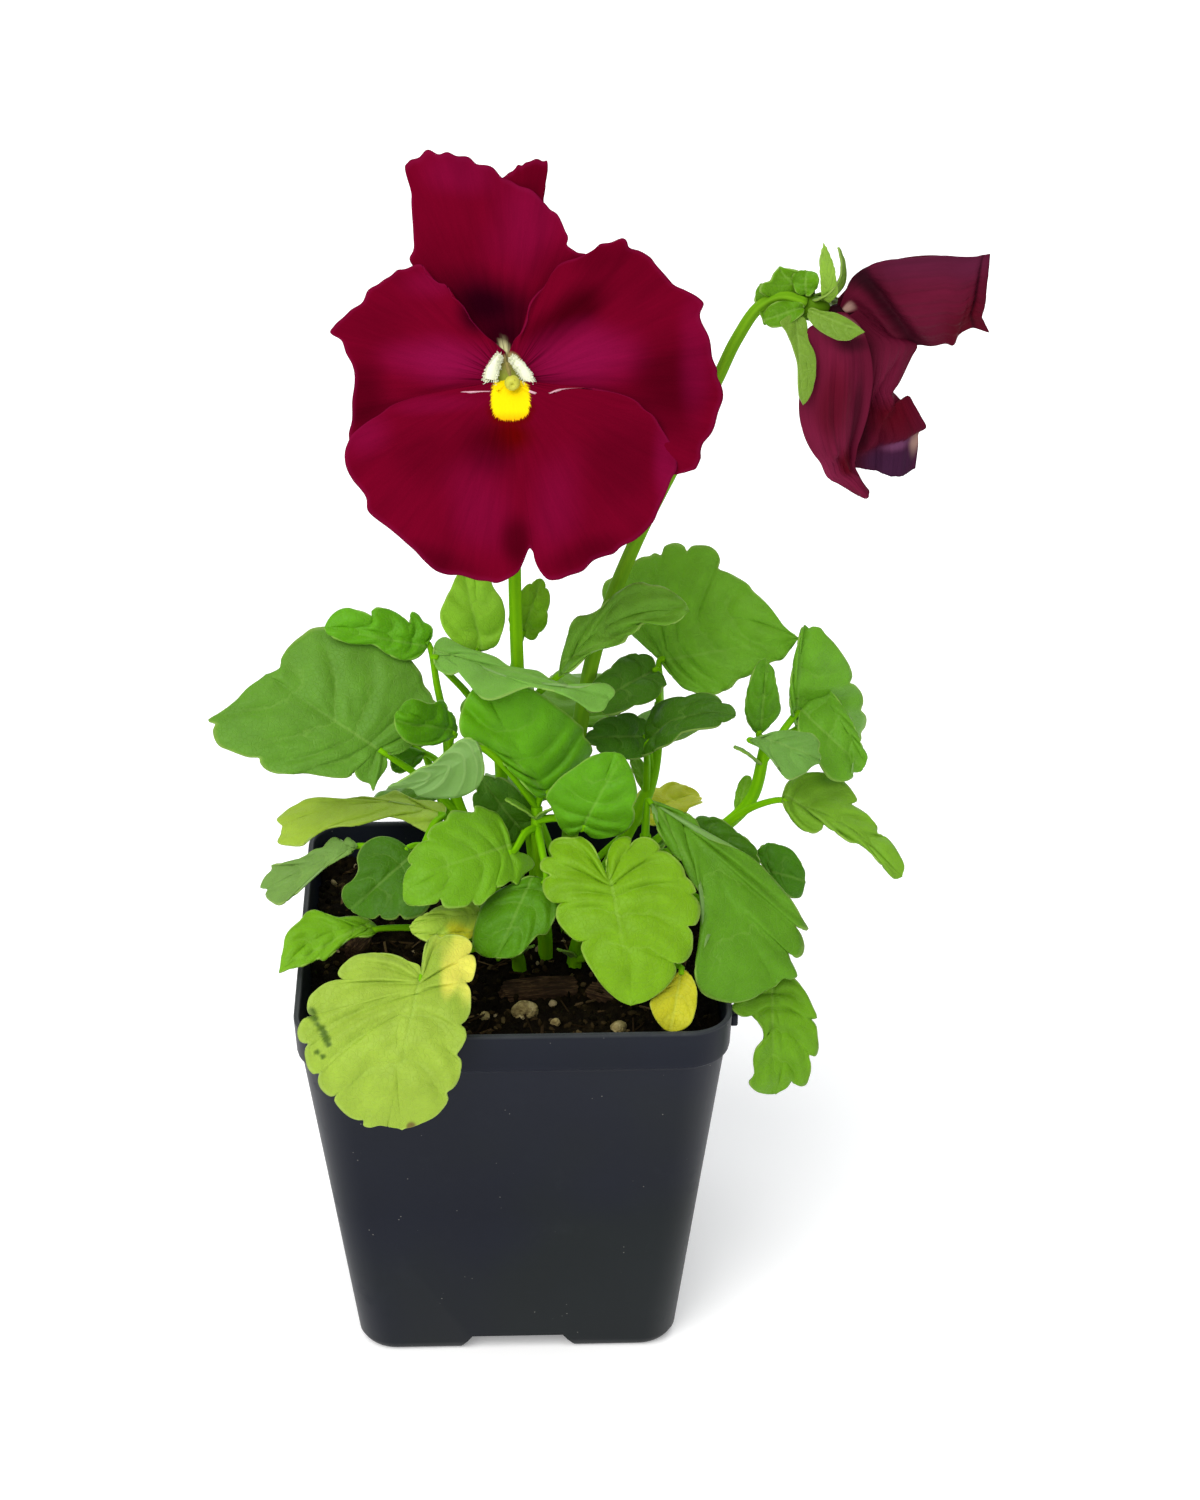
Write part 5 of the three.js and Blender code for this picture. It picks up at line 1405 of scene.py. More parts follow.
            (582, 688), (592, 685), (602, 683), (610, 686), (615, 693),
        ],
        "right": [
            (438, 670), (450, 675), (461, 671), (468, 673), (474, 686), (479, 696), (488, 700),
            (500, 698), (512, 693), (522, 689), (532, 687), (543, 689), (555, 691), (566, 694),
            (576, 699), (584, 705), (590, 711), (597, 712), (604, 710),
        ],
    },
    "stem_back_centre 3": {
        "rib": [(559, 676), (572, 657), (590, 638), (615, 622), (650, 611), (689, 611)],
        "left": [
            (562, 657), (567, 640), (570, 626), (578, 616), (588, 615), (597, 611), (605, 603),
            (613, 596), (622, 590), (632, 584), (641, 582), (650, 585), (660, 586), (670, 590),
            (679, 597), (686, 604),
        ],
        "right": [
            (571, 671), (580, 663), (588, 655), (598, 649), (612, 646), (624, 642), (628, 636),
            (637, 631), (642, 624), (652, 623), (665, 625), (677, 622),
        ],
    },
    "sepal 0": {
        "rib": [(829, 303), (828, 285), (827, 265), (824, 243)],
        "left": [(822, 296), (821, 285), (820, 270), (820, 258), (822, 250)],
        "right": [(838, 292), (836, 280), (835, 270), (832, 260), (828, 251)],
    },
    "sepal 2": {
        "rib": [(808, 314), (825, 320), (845, 327), (865, 332)],
        "left": [(810, 308), (822, 311), (836, 313), (850, 320), (858, 326)],
        "right": [(808, 318), (815, 327), (825, 334), (838, 340), (850, 340), (857, 336)],
    },
    "sepal 3": {
        "rib": [(794, 314), (798, 335), (806, 360), (808, 380), (803, 405)],
        "left": [(806, 320), (808, 338), (815, 355), (816, 368), (814, 384), (809, 398)],
        "right": [(780, 322), (786, 332), (792, 346), (797, 362), (798, 380), (799, 396)],
    },
    "ear 0": {
        "rib": [(805, 300), (795, 288), (786, 277), (780, 267)],
        "left": [(790, 303), (772, 298), (760, 292), (762, 284), (770, 281), (774, 273)],
        "right": [(814, 296), (814, 285), (809, 277), (803, 276), (800, 272), (790, 269)],
    },
    "ear 1": {
        "rib": [(800, 306), (780, 304), (765, 303), (755, 300)],
        "left": [(795, 314), (780, 318), (768, 322), (764, 325), (762, 318), (757, 308)],
        "right": [(796, 294), (782, 290), (770, 285), (761, 284), (756, 291)],
    },
}


# the leaves' tones, where they aren't plain green, and the marks on them: along, across, size, tone
# deep is a darker green for the leaves that sit in shade inside the plant: painted shade. light makes a leaf
# lighter or darker: partly its own colour, partly painted light and shade for how lit it stands
leafTints = {
    "stem_left_high 0": {"tone": "cool", "quilt": 1.0, "pucker": 0.8},
    "stem_left_high 1": {"tone": "vivid", "light": 1.15},
    "stem_left_high 2": {"tone": "vivid"},
    "stem_left_high 3": {"tone": "deep", "light": 1.8},
    "stem_left_low 0": {"tone": "lime", "light": 1.1, "pucker": 0.45},
    "stem_left_low 1": {"tone": "grey", "light": 1.15, "pucker": 0.5},
    "stem_left_low 2": {"tone": "deep"},
    "stem_front_left 0": {"tone": "fresh", "light": 1.15},
    "stem_front_left 1": {
        "tone": "lime", "light": 0.96, "fan": 2.4,
        "marks": [
            (-0.1, 0.5, 0.2, "straw"), (0.14, 0.86, 0.13, "straw"), (0.39, -1.0, 0.036, "scar"),
            (0.42, -0.95, 0.03, "scar"), (0.45, -0.92, 0.022, "scar"), (0.47, -0.88, 0.027, "scar"),
            (0.5, -0.84, 0.023, "scar"), (0.53, -0.8, 0.021, "scar"), (0.56, -0.77, 0.015, "scar"),
            (0.62, -0.86, 0.018, "scar"), (0.64, -0.8, 0.015, "scar"), (0.955, 0.22, 0.03, "brown"),
        ],
    },
    "stem_front_left 2": {"tone": "lime", "light": 1.3, "marks": [(0.2, 0.2, 0.4, "yellow")]},
    "stem_centre 0": {"tone": "vivid", "light": 1.12, "fan": 2.0},
    "stem_centre 1": {"tone": "vivid", "light": 1.08, "fan": 2.0},
    "stem_centre 2": {"tone": "fresh", "fan": 2.0, "pucker": 0.7},
    "stem_centre 3": {"tone": "vivid", "light": 0.75},
    "stem_centre 4": {"tone": "deep"},
    "stem_centre 5": {"tone": "sage", "light": 1.08, "pucker": 0.6},
    "stem_front 0": {"tone": "lemon", "light": 0.93, "fan": 2.4},
    "stem_front 1": {"tone": "yellow", "light": 0.8, "pucker": 0.4},
    "stem_right_front 0": {"tone": "green", "light": 0.92, "fan": 2.2},
    "stem_right_front 1": {"tone": "fresh", "light": 0.86},
    "stem_right_front 2": {"tone": "deep", "light": 1.2},
    "stem_right_front 3": {"tone": "deep"},
    "stem_right 0": {"tone": "pale", "light": 0.86},
    "stem_right 1": {"light": 1.18},
    "stem_right 2": {"light": 1.27},
    "stem_right 3": {"tone": "sage", "light": 0.85, "pucker": 0.6},
    "stem_right 4": {"tone": "deep", "light": 1.8},
    "stem_right_back 0": {"tone": "green", "light": 1.42, "fan": 2.2},
    "stem_right_back 1": {"tone": "deep"},
    "stem_right_back 2": {"tone": "deep"},
    "stem_right_back 3": {"tone": "deep"},
    "stem_back_centre 0": {"tone": "pale", "light": 1.35},
    "stem_back_centre 1": {"tone": "lemon"},
    "stem_back_centre 2": {"tone": "sage", "light": 1.15, "pucker": 0.6},
    "stem_back_centre 3": {"tone": "cool", "light": 1.2},
    "stem_back 3": {"tone": "yellow"},
}

# the petals' outlines in the face of the bloom, right and up from its throat in millimetres
petalOutlines = {
    "upper back": [
        (-3, 4), (-9, 20), (-6, 34), (-1.5, 38.2), (1.6, 40.6), (4, 41.8), (7.6, 42), (7.4, 38),
        (7.0, 34), (9, 24), (6, 12), (3, 4),
    ],
    "upper front": [
        (-3, 3.5), (-10, 12), (-16, 19), (-18.3, 22.2), (-19.1, 23.7), (-18.3, 24.9), (-18.1, 27),
        (-18.5, 34.7), (-18.7, 37), (-19.5, 41.2), (-18.7, 42.2), (-17, 43), (-15.2, 43.9),
        (-13.3, 43.5), (-11.4, 43.7), (-9.5, 42.9), (-7.1, 42.5), (-5.6, 41.6), (-2.7, 40.6),
        (-0.8, 38.7), (1.2, 38.1), (3.1, 36.8), (5.4, 35.8), (7, 34.1), (8.3, 32.7), (9.7, 31.4),
        (11.2, 28.7), (11.6, 27.1), (11.4, 25.8), (13.1, 24.6), (15.3, 23.9), (14.3, 20.2), (8, 13.4),
        (3, 5),
    ],
    "left": [
        (-0.8, 5.4), (-4.6, 8.7), (-7.5, 12), (-9.3, 14.9), (-11, 16.4), (-12, 18.3), (-13.3, 18.7),
        (-14.9, 19.9), (-16, 20.8), (-16.4, 22), (-17.4, 22.4), (-18.7, 22), (-20.3, 21.4), (-21.6, 21),
        (-23.4, 19.9), (-24.9, 18.7), (-26.6, 17.8), (-27.8, 16.2), (-28.8, 14.7), (-30.7, 13.5),
        (-32.6, 11.8), (-33.8, 10.8), (-34.2, 9.5), (-33, 8.5), (-32, 7.5), (-31.5, 5.8), (-30.3, 3.5),
        (-30.1, 0), (-30.3, -3.9), (-30.7, -7.7), (-31.3, -10.8), (-30.3, -14.5), (-21, -13.5),
        (-9.5, -7.7), (-1.7, -2.3),
    ],
    "right": [
        (0.6, -1.5), (6, -4.8), (17.6, -11.6), (31.5, -18.5), (33, -18.3), (34.4, -17.8), (36.1, -17.4),
        (36.9, -15.8), (36.7, -14.3), (37.3, -12.7), (38.8, -10.8), (40, -8.7), (40.7, -6),
        (41.1, -3.5), (41.1, -1.5), (40.3, 0.4), (40.2, 1.9), (39.2, 4.2), (38.4, 7.7), (37.5, 10.6),
        (37.1, 12.5), (37.6, 14.3), (36.7, 15.4), (34.2, 16.8), (32.6, 17.8), (31.1, 18.9),
        (28.6, 21.4), (27.6, 23.2), (25.5, 24.5), (23.4, 25.3), (22.8, 26.3), (21.8, 26.8),
        (19.9, 26.3), (17.8, 25.9), (16.6, 24.9), (15.3, 24.1), (13.3, 23.2), (11.4, 22.8), (10, 22),
        (8.5, 20.3), (7.3, 18.3), (5.6, 16.6), (4.2, 14.7), (3.5, 11.6), (2.5, 9.3), (1, 7.5),
        (-0.2, 4.6),
    ],
    "lower": [
        (1.9, -1), (3.7, -2.1), (5.6, -2.7), (7.9, -2.5), (10.2, -1.9), (13.7, -1.7), (17.6, -2.1),
        (21.4, -2.9), (24.3, -4.2), (25.7, -5.8), (27.6, -7.1), (29.3, -9.5), (30.9, -12.2),
        (31.9, -14.9), (32, -17.4), (30.9, -19.5), (29.9, -22), (28.8, -24.7), (27.8, -27.6),
        (26.3, -29), (23.7, -30.9), (21.4, -32.2), (19.9, -33.8), (18.3, -34.2), (15.8, -35.1),
        (13.7, -37.1), (10.6, -37.8), (8.7, -38.4), (6.9, -38.6), (5.6, -37.3), (4.6, -35.1),
        (4.2, -33.2), (3.5, -32.4), (2.9, -33.2), (2.1, -35.1), (1, -37.3), (-0.6, -38.4), (-2.9, -39),
        (-4.6, -38.6), (-6.9, -38.6), (-10.2, -37.6), (-12.5, -37.5), (-15, -36.7), (-17, -34.7),
        (-18.7, -32.4), (-21, -30.5), (-23.4, -28.8), (-25.7, -27), (-27.8, -24.7), (-28, -22.4),
        (-29, -20.7), (-30.5, -18.7), (-31.9, -16), (-32.2, -13.5), (-30.9, -10.6), (-29.3, -9.1),
        (-27.2, -7.5), (-24.9, -6.2), (-23, -4.8), (-20.1, -3.7), (-15.3, -2.5), (-10.4, -2.3),
        (-3.9, -2.1), (-1.7, -1.9),
    ],
}

# zones of a petal that are darker or lighter than its ground: right, up, reach across, reach up, lean,
# tone, share. The black and dark zones are painted shade where petals overlap and bend away; the magenta
# zones are painted velvet sheen
petalZones = {
    "upper back": [(5, 38, 5, 5, 0, "wine", 0.8)],
    "upper front": [
        (-4, 14.5, 9.5, 5.5, -0.35, "black", 1.0), (-1, 8, 4, 4, 0, "black", 0.9),
        (-12, 24, 6, 6, 0, "wine", 0.5), (4, 30, 7, 9, -0.3, "magenta", 0.45),
        (-9, 40, 8, 4, -0.2, "magenta", 0.45), (9, 20, 5, 6, 0, "wine", 0.6),
        (-0.9, 5.6, 1.0, 1.9, 0.2, "cream", 1.0),
    ],
    "left": [
        (-6.8, 12.5, 3, 4, 0.4, "black", 0.85), (-13, 4, 11, 4.2, -0.1, "magenta", 1.0),
        (-25, 11, 6, 5, 0, "wine", 0.4), (-28, -3, 4.5, 8, 0, "dark", 0.7),
        (-15, 19, 6, 3, 0, "magenta", 0.4),
    ],
    "right": [
        (12, 12.5, 9, 3.8, 0.75, "dark", 1.0), (6.5, 8.5, 4, 3.5, 0.5, "dark", 0.7),
        (14, 4.4, 11, 5.5, 0.1, "magenta", 1.0), (31, -1, 7, 9, 0, "dark", 0.75),
        (22, 20, 8, 5, 0, "wine", 0.35), (36, 4, 3, 11, 0, "magenta", 0.4),
        (17, 23, 5, 3, 0.2, "dark", 0.35),
    ],
    "lower": [
        (0, -10.5, 5, 3.4, 0, "rust", 1.0), (-5, -13, 5, 6, 0.5, "dark", 0.7),
        (-15, -14, 8, 6, 0, "wine", 0.6), (-6.5, -24, 6, 9, 0.2, "magenta", 0.4),
        (8.5, -24, 5, 10, -0.2, "magenta", 0.4), (1, -31, 3, 5, 0, "dark", 0.8),
        (-28, -10, 5, 4, 0.6, "magenta", 0.5), (-14, -4.5, 9, 1.8, 0.05, "magenta", 0.35),
        (22, -16, 8, 9, 0, "dark", 0.4), (14, -34, 9, 3, 0.3, "dark", 0.5),
        (-14, -35, 9, 3, -0.3, "dark", 0.5), (30, -17, 2.5, 10, 0, "magenta", 0.6),
    ],
}

# the wilted petals' edges in the picture, with how far back each point lies; their folds (a line on the
# sheet, its width and height) and tones (place, reach, tone, share, lean), where dark is painted shade in
# the fold valleys, pink a painted lit side and violet a painted sheen; the torn end's steps
limpEdges = {
    "upper": {
        "near": [
            (840, 306, 5), (846, 290, 4.8), (853, 278, 4.5), (864, 269, 4), (875, 263, 3),
            (888, 260, 2), (902, 259, 2), (924, 257.5, 2), (945, 256, 2), (960, 257, 2.5),
            (972, 257, 3), (981, 256, 3.4), (990, 254, 4),
        ],
        "far": [
            (846, 313, 5), (860, 312, 5.6), (872, 322, 6), (884, 331, 6.6), (896, 341, 7.4),
            (907, 345, 8), (918, 345, 8), (932, 345.5, 8), (946, 343, 7.5), (953, 345, 7),
            (958, 335, 7), (972, 328, 6.4), (989, 332, 6),
        ],
        "folds": [
            (0.18, -0.05, 0.5, 1.05, 1.9, -2.2), (0.08, 0.2, 0.36, 1.05, 1.6, 1.3),
            (0.3, -0.05, 0.62, 1.05, 2.2, 0.9), (0.93, -0.1, 0.92, 1.1, 0.7, -0.9),
        ],
        "tones": [
            (0.34, 0.5, 0.085, 0.9, "dark", 0.9, 0.32), (0.24, 0.05, 0.05, 0.25, "dark", 0.8, 0),
            (0.7, 0.06, 0.4, 0.22, "violet", 0.5, 0), (0.62, 0.5, 0.25, 0.4, "rose", 0.5, 0),
            (0.85, 0.8, 0.2, 0.3, "crimson", 0.8, 0), (0.93, 0.5, 0.015, 0.8, "dark", 0.7, 0),
            (0.02, 0.6, 0.055, 0.26, "cream", 0.9, 0),
        ],
        "end": [0, -0.4, -0.8, -1.0, -1.6, 0],
    },
    "hanging": {
        "near": [
            (838, 312, 4), (824, 320, 2.5), (808, 329, 1), (807, 345, 0.8), (805, 365, 0.4),
            (801, 385, -0.5), (799, 405, -1), (801, 425, -1), (806, 440, -1), (813, 453, -0.5),
            (820, 462, 0), (828, 478, 0), (838, 483, 0), (849, 490, 0.5), (858, 495, 1),
        ],
        "far": [
            (846, 313, 4.5), (856, 322, 3.6), (864, 333, 2.8), (869, 347, 2), (872, 362, 1.5),
            (873, 380, 1), (871, 398, 1), (868, 415, 1), (863, 432, 1.5), (858, 446, 2), (856, 457, 2),
            (855, 466, 2), (859, 475, 2), (864, 484, 1.5), (869, 491, 1.2),
        ],
        "folds": [
            (0.25, 0.8, 0.72, 0.85, 1.6, -1.7), (0.28, 0.3, 0.62, 0.42, 1.1, 0.8),
            (0.62, 0.42, 0.72, 0.22, 0.9, 0.8), (0.55, 0.1, 0.75, 0.12, 1.6, 0.9),
            (0.66, 0.55, 0.98, 0.85, 1.0, 0.7), (0.3, 0.58, 0.7, 0.6, 1.0, 0.5),
        ],
        "tones": [
            (0.72, 0.1, 0.16, 0.28, "pink", 1.0, 0), (0.55, 0.06, 0.12, 0.2, "rose", 0.8, 0),
            (0.5, 0.45, 0.6, 0.6, "rose", 0.9, 0), (0.52, 0.84, 0.24, 0.08, "dark", 0.6, 0),
            (0.2, 0.7, 0.04, 0.3, "dark", 0.6, 0), (0.42, 0.45, 0.16, 0.25, "crimson", 0.7, 0),
            (0.72, 0.62, 0.1, 0.22, "crimson", 1.0, 0), (0.95, 0.4, 0.12, 0.5, "rose", 0.6, 0),
            (0.1, 0.6, 0.06, 0.4, "cream", 0.35, 0),
        ],
        "end": [0, 0.4, 0.6, 0.6, 0.3, 0],
    },
    "lower": {
        "near": [
            (848, 316, 5), (856, 328, 4.5), (861, 345, 4.3), (863, 362, 4.6), (863, 380, 5),
            (861, 398, 5.6), (859, 415, 6), (857, 430, 6.4), (855, 444, 6.2), (854, 456, 6),
            (855, 467, 6),
        ],
        "far": [
            (858, 310, 5.5), (878, 325, 6.5), (900, 338, 7.6), (917, 345, 8), (912, 356, 8),
            (905, 370, 8), (898, 383, 8), (892, 391, 8), (897, 396, 8), (902, 400, 8), (909, 396, 8),
            (914, 404, 7.5), (921, 416, 7), (926, 427, 7), (919, 432, 7), (918, 445, 6.5),
            (915, 468, 6),
        ],
        "folds": [
            (0.36, 1.0, 0.86, 0.1, 1.3, 1.3), (0.3, 0.7, 0.7, 0.0, 1.4, -1.2),
            (0.75, 0.7, 0.98, 0.75, 1.5, 0.9), (0.7, 0.4, 1.0, 0.35, 1.4, -0.8),
        ],
        "tones": [
            (0.35, 0.6, 0.2, 0.35, "rose", 0.8, 0), (0.66, 0.6, 0.14, 0.4, "crimson", 1.0, 0),
            (0.96, 0.6, 0.1, 0.6, "purple", 1.0, 0), (0.9, 0.94, 0.05, 0.09, "cream", 0.7, 0),
            (0.885, 0.66, 0.025, 0.22, "lilac", 0.8, 0), (0.5, 0.05, 0.3, 0.14, "dark", 1.0, 0),
        ],
        "end": [0, 0.2, 0.6, 1.3, 1.2, 0],
    },
}


# leaves: a sheet bent along its midrib, with round teeth, sunken veins and puckers between them
leafShape = {
    "teeth": 4, "cut": 0.13, "lobe": [0.15, 0.15], "widest": 0.15, "bow": 0.1, "sway": 0, "fold": 0.15,
    "wave": 0.4, "up": [0, -0.6, 0.8], "tone": "green", "pucker": 1.0, "light": 1.0, "fan": 1.7,
    "quilt": 0,
}
leafFinish = {"thickness": 0.42, "rows": 72, "across": 30, "petiole": 0.85, "sink": 1.2}
# deep: a darker green for the leaves in shade inside the plant, painted shade
leafTones = {
    "green": (0.098, 0.262, 0.010), "vivid": (0.088, 0.290, 0.0035), "fresh": (0.135, 0.330, 0.007),
    "cool": (0.100, 0.255, 0.018), "deep": (0.046, 0.148, 0.0035), "sage": (0.144, 0.330, 0.045),
    "grey": (0.125, 0.245, 0.055), "pale": (0.190, 0.390, 0.020), "lime": (0.290, 0.440, 0.038),
    "lemon": (0.165, 0.370, 0.007), "yellow": (0.54, 0.55, 0.018), "scar": (0.070, 0.135, 0.010),
    "brown": (0.150, 0.120, 0.025), "straw": (0.72, 0.70, 0.10),
    "sepal": (0.150, 0.270, 0.022), "ear": (0.100, 0.260, 0.0030),
}


def marginPoint(q, leaf, lobe):
    angle = pi * q
    ahead = (1 - np.cos(angle)) / 2 - lobe * np.sin(angle) * (1 - q) ** 2
    across = np.sin(angle).clip(0) ** 0.85 * (1 + leaf["widest"] * np.cos(angle))
    if leaf["teeth"]:
        tooth = np.abs(np.sin(pi * (leaf["teeth"] + 0.5) * q)) ** 0.7
        scale = 1 - leaf["cut"] * (1 - tooth)
    else:
        scale = np.ones_like(q)
    return 0.45 + (ahead - 0.45) * scale, across * scale


def drawnGrid(leaf, q, s):
    xs, ys = np.zeros_like(q), np.zeros_like(q)
    for way, lobe, half in zip((-1, 1), leaf["lobe"], leaf["halves"]):
        mine = s > 0 if way > 0 else s <= 0
        inward = np.abs(s[mine])
        x, y = marginPoint(q[mine], leaf, lobe)
        rib = q[mine] ** 1.6
        xs[mine] = rib + (x - rib) * inward ** 1.15
        ys[mine] = way * y * half * inward
    return xs, ys


# the camera's own axes, to set a leaf's outline on the leaf's plane
picture = {"wide": 1200, "high": 1500}
eye = np.array(view["place"], float)
eyeDown, eyeTurn = math.radians(view["down"]), math.radians(view["turn"])
eyeAhead = np.array([math.sin(eyeTurn) * math.cos(eyeDown), math.cos(eyeTurn) * math.cos(eyeDown),
                     -math.sin(eyeDown)])
eyeRight = np.array([math.cos(eyeTurn), -math.sin(eyeTurn), 0])
eyeUp = np.cross(eyeRight, eyeAhead)
eyeReach = view["lens"] / view["sensor"] * picture["high"]


def rayThrough(spots):
    spots = np.asarray(spots, float)
    right = spots[..., 0:1] - picture["wide"] / 2
    down = spots[..., 1:2] - picture["high"] / 2
    return eyeAhead + (right * eyeRight - down * eyeUp) / eyeReach


def seenGrid(seen, q, s, base, face, fan):
    steps, row = np.unique(np.round(q, 6), return_inverse=True)
    rib = along([(*p, 0) for p in seen["rib"]], steps ** fan)[row, :2]
    ends = seen["rib"][0], seen["rib"][-1]
    facing = np.dot(face, eye - base) > 0
    edges = {}
    for side in ("left", "right"):
        edges[side] = along([(*p, 0) for p in (ends[0], *seen[side], ends[1])], steps)[row, :2]
    plus, minus = ("left", "right") if facing else ("right", "left")
    edge = np.where((s > 0)[:, None], edges[plus], edges[minus])
    spot = rib + (edge - rib) * (np.abs(s) ** 1.1)[:, None]
    ray = rayThrough(spot)

    def onRay(height):
        return eye + ray * (((base - eye) @ face + height) / (ray @ face))[:, None]
    return onRay


def makeBlade(given, seed=0, under=True):
    leaf = {**leafShape, **given}
    base, tip, up = (np.array(leaf[key], float) for key in ("base", "tip", "up"))
    length = np.linalg.norm(tip - base)
    ahead = (tip - base) / length
    face = unit(up - ahead * np.dot(up, ahead))
    left = np.cross(face, ahead)
    crest = base + length * (ahead * 0.45 + face * 2 * leaf["bow"] + left * 2 * leaf["sway"])

    seen = leafOutlines.get(leaf.get("label"))
    veins = leaf.get("veins") or (leaf["teeth"] + 0.5 if leaf["teeth"] else 5.5)
    rows = leafFinish["rows"]
    if seen:
        rows = 3 * max(len(seen["left"]), len(seen["right"]))
    across = leafFinish["across"] if length > 10 else 14
    finer = 3 if leaf.get("marks") else 1
    piece, q, v = sheet(max(rows, 40) * finer, across * finer)
    s = 2 * v - 1
    inward = np.abs(s)
    if seen:
        onRay = seenGrid(seen, q, s, base, face, leaf["fan"])
        flat = onRay(0)
        xs = (flat - base) @ ahead / length
        ys = (flat - base) @ left
    else:
        xs, ys = drawnGrid(leaf, q, s)

    t = xs.clip(0, 1)[:, None]
    middle = base * (1 - t) ** 2 + 2 * crest * t * (1 - t) + tip * t ** 2
    tangent = unit(2 * (crest - base) * (1 - t) + 2 * (tip - crest) * t)
    side = unit(np.cross(face, tangent))
    normal = np.cross(tangent, side)
    width = np.abs(ys)
    ripple = leaf["wave"] * np.sin(9 * xs + np.where(ys > 0, 0, 2)) * inward ** 1.6
    lift = leaf["fold"] * (np.sqrt(width ** 2 + 0.8) - 0.9)

    # veins run out to the teeth, and the blade swells between them
    bent = 0.35 * np.sin(pi * inward) + 0.22 * np.sin(2.3 * veins * q + 3 * seed + np.sign(s)) * inward
    phase = veins * q + bent * smoothstep(0, 0.12, q) * smoothstep(1, 0.85, q)
    fade = smoothstep(0, 0.1, q) * smoothstep(1, 0.88, q)
    swell = (0.5 + 0.5 * np.cos(2 * pi * phase)) * np.sin(pi * inward.clip(0, 1)) ** 0.8
    reach = min(1.0, length / 26) * leaf["pucker"]
    fork = 0.30 * (inward - 0.45).clip(0)
    veinGap = np.abs(np.abs(phase % 1 - 0.5) - fork) * length / veins
    sunk = np.exp(-(veinGap / 0.45) ** 2) * (1 - inward).clip(0) ** 0.5 * fade
    rib = np.exp(-(width / 0.55) ** 2) * (1 - 0.8 * q)
    spot = np.stack([xs * length, ys, np.full_like(xs, seed * 3.7)], axis=1)
    pleat = np.sin(4 * pi * phase + 1.5 * wobble(spot, 0.3, seed)) * np.sin(pi * inward) * (1 - q) ** 0.5
    crumple = 0.20 * wobble(spot, 0.5, seed) + 0.12 * wobble(spot, 1.25, seed + 4) + 0.16 * pleat
    if leaf["quilt"]:       # small pillows between the veins, on the half near the stalk
        pillow = np.abs(wobble(spot * [0.8, 1, 1], 0.85, seed + 2)) ** 0.7
        pillow *= np.exp(-((xs - 0.38) / 0.24) ** 2)
        crumple = crumple + leaf["quilt"] * pillow * np.sin(pi * inward.clip(0, 1)) ** 0.5
    edge = 0.45 * np.sin(phase * 2 * pi + seed) * inward ** 5 * reach
    relief = reach * (0.75 * swell * fade - 0.32 * sunk) - 0.45 * rib + crumple * reach + edge * fade

    if seen:
        arch = 4 * leaf["bow"] * length * (xs * (1 - xs)).clip(-0.3, 1)
        points = onRay(arch + lift + ripple + relief)
    else:
        points = middle + tangent * np.minimum(xs, 0)[:, None] * length + side * ys[:, None]
        points = points + normal * (lift + ripple + relief)[:, None]
    place(piece, points * mm)
    note(piece, "lay", np.stack([phase, inward, np.full_like(q, length / veins)], axis=1))
    note(piece, "flat", np.stack([xs * length, ys, np.full_like(xs, seed * 7.3)], axis=1))
    paint(piece, "tone", leafShade(leaf, xs, ys, seed))
    piece.data.materials.append(leafTop)
    piece.data.materials.append(leafUnder)
    weldDoubles(piece)
    applyModifier(piece, "SOLIDIFY", thickness=leafFinish["thickness"] * mm, offset=0,
                  material_offset=1 if under else 0, use_even_offset=False)
    smooth(piece)
    return piece


# a leaf's own shade of green, made lighter or darker by its light factor (partly its own colour, partly
# painted light and shade), the marks on it and what is turning yellow at its edge
def leafShade(leaf, xs, ys, seed):
    draw = random.Random(seed * 13 + 5)
    own = [draw.uniform(0.95, 1.05), draw.uniform(0.97, 1.03), draw.uniform(0.85, 1.15)]
    # the light factor scales the whole colour: partly the leaf's own colour, partly painted light and shade
    tone = np.tile(np.array(leafTones[leaf["tone"]]) * own * leaf["light"], (len(xs), 1))
    half = max(leaf["halves"])
    spot = np.stack([xs * 9, ys * 0.6, np.full_like(xs, seed)], axis=1)
    for x, y, size, mark in leaf.get("marks", []):
        away = np.hypot(xs - x, (ys / half - y) * 0.6) / size + 0.35 * wobble(spot, 1.5, seed)
        share = smoothstep(1.35, 0.55, away)[:, None]
        tone = tone * (1 - share) + np.array(leafTones[mark]) * share
    return tone


# the point of a leaf's plane that is seen at a spot of the picture
def onPlane(spot, base, face):
    ray = rayThrough(spot)
    return eye + ray * (((base - eye) @ face) / (ray @ face))


def makePetiole(leaf, stemPath, seed, label=None):
    full = {**leafShape, **leaf}
    start = along(stemPath, leaf["at"])[0]
    base, tip, up = (np.array(full[key], float) for key in ("base", "tip", "up"))
    ahead = unit(tip - base)
    if label in leafOutlines:
        face = unit(up - ahead * np.dot(up, ahead))
        base, tip = [onPlane(leafOutlines[label]["rib"][k], base, face) for k in (0, -1)]
        ahead = unit(tip - base)
    middle = (start + base) / 2 + [0, 0, leaf.get("sag", 1.5)]
    face = unit(up - ahead * np.dot(up, ahead))
    into = base + ahead * leafFinish["sink"] + face * full["bow"] * 3
    thick = leaf.get("thick", leafFinish["petiole"])
    path = [start, middle, base, into]
    piece = stalk(path, [thick * 1.08, thick * 0.92, leafFinish["petiole"] * 0.75], 12, 26, 3, 0.06, 0.16)
    piece.data.materials.append(stemSkin)
    return piece


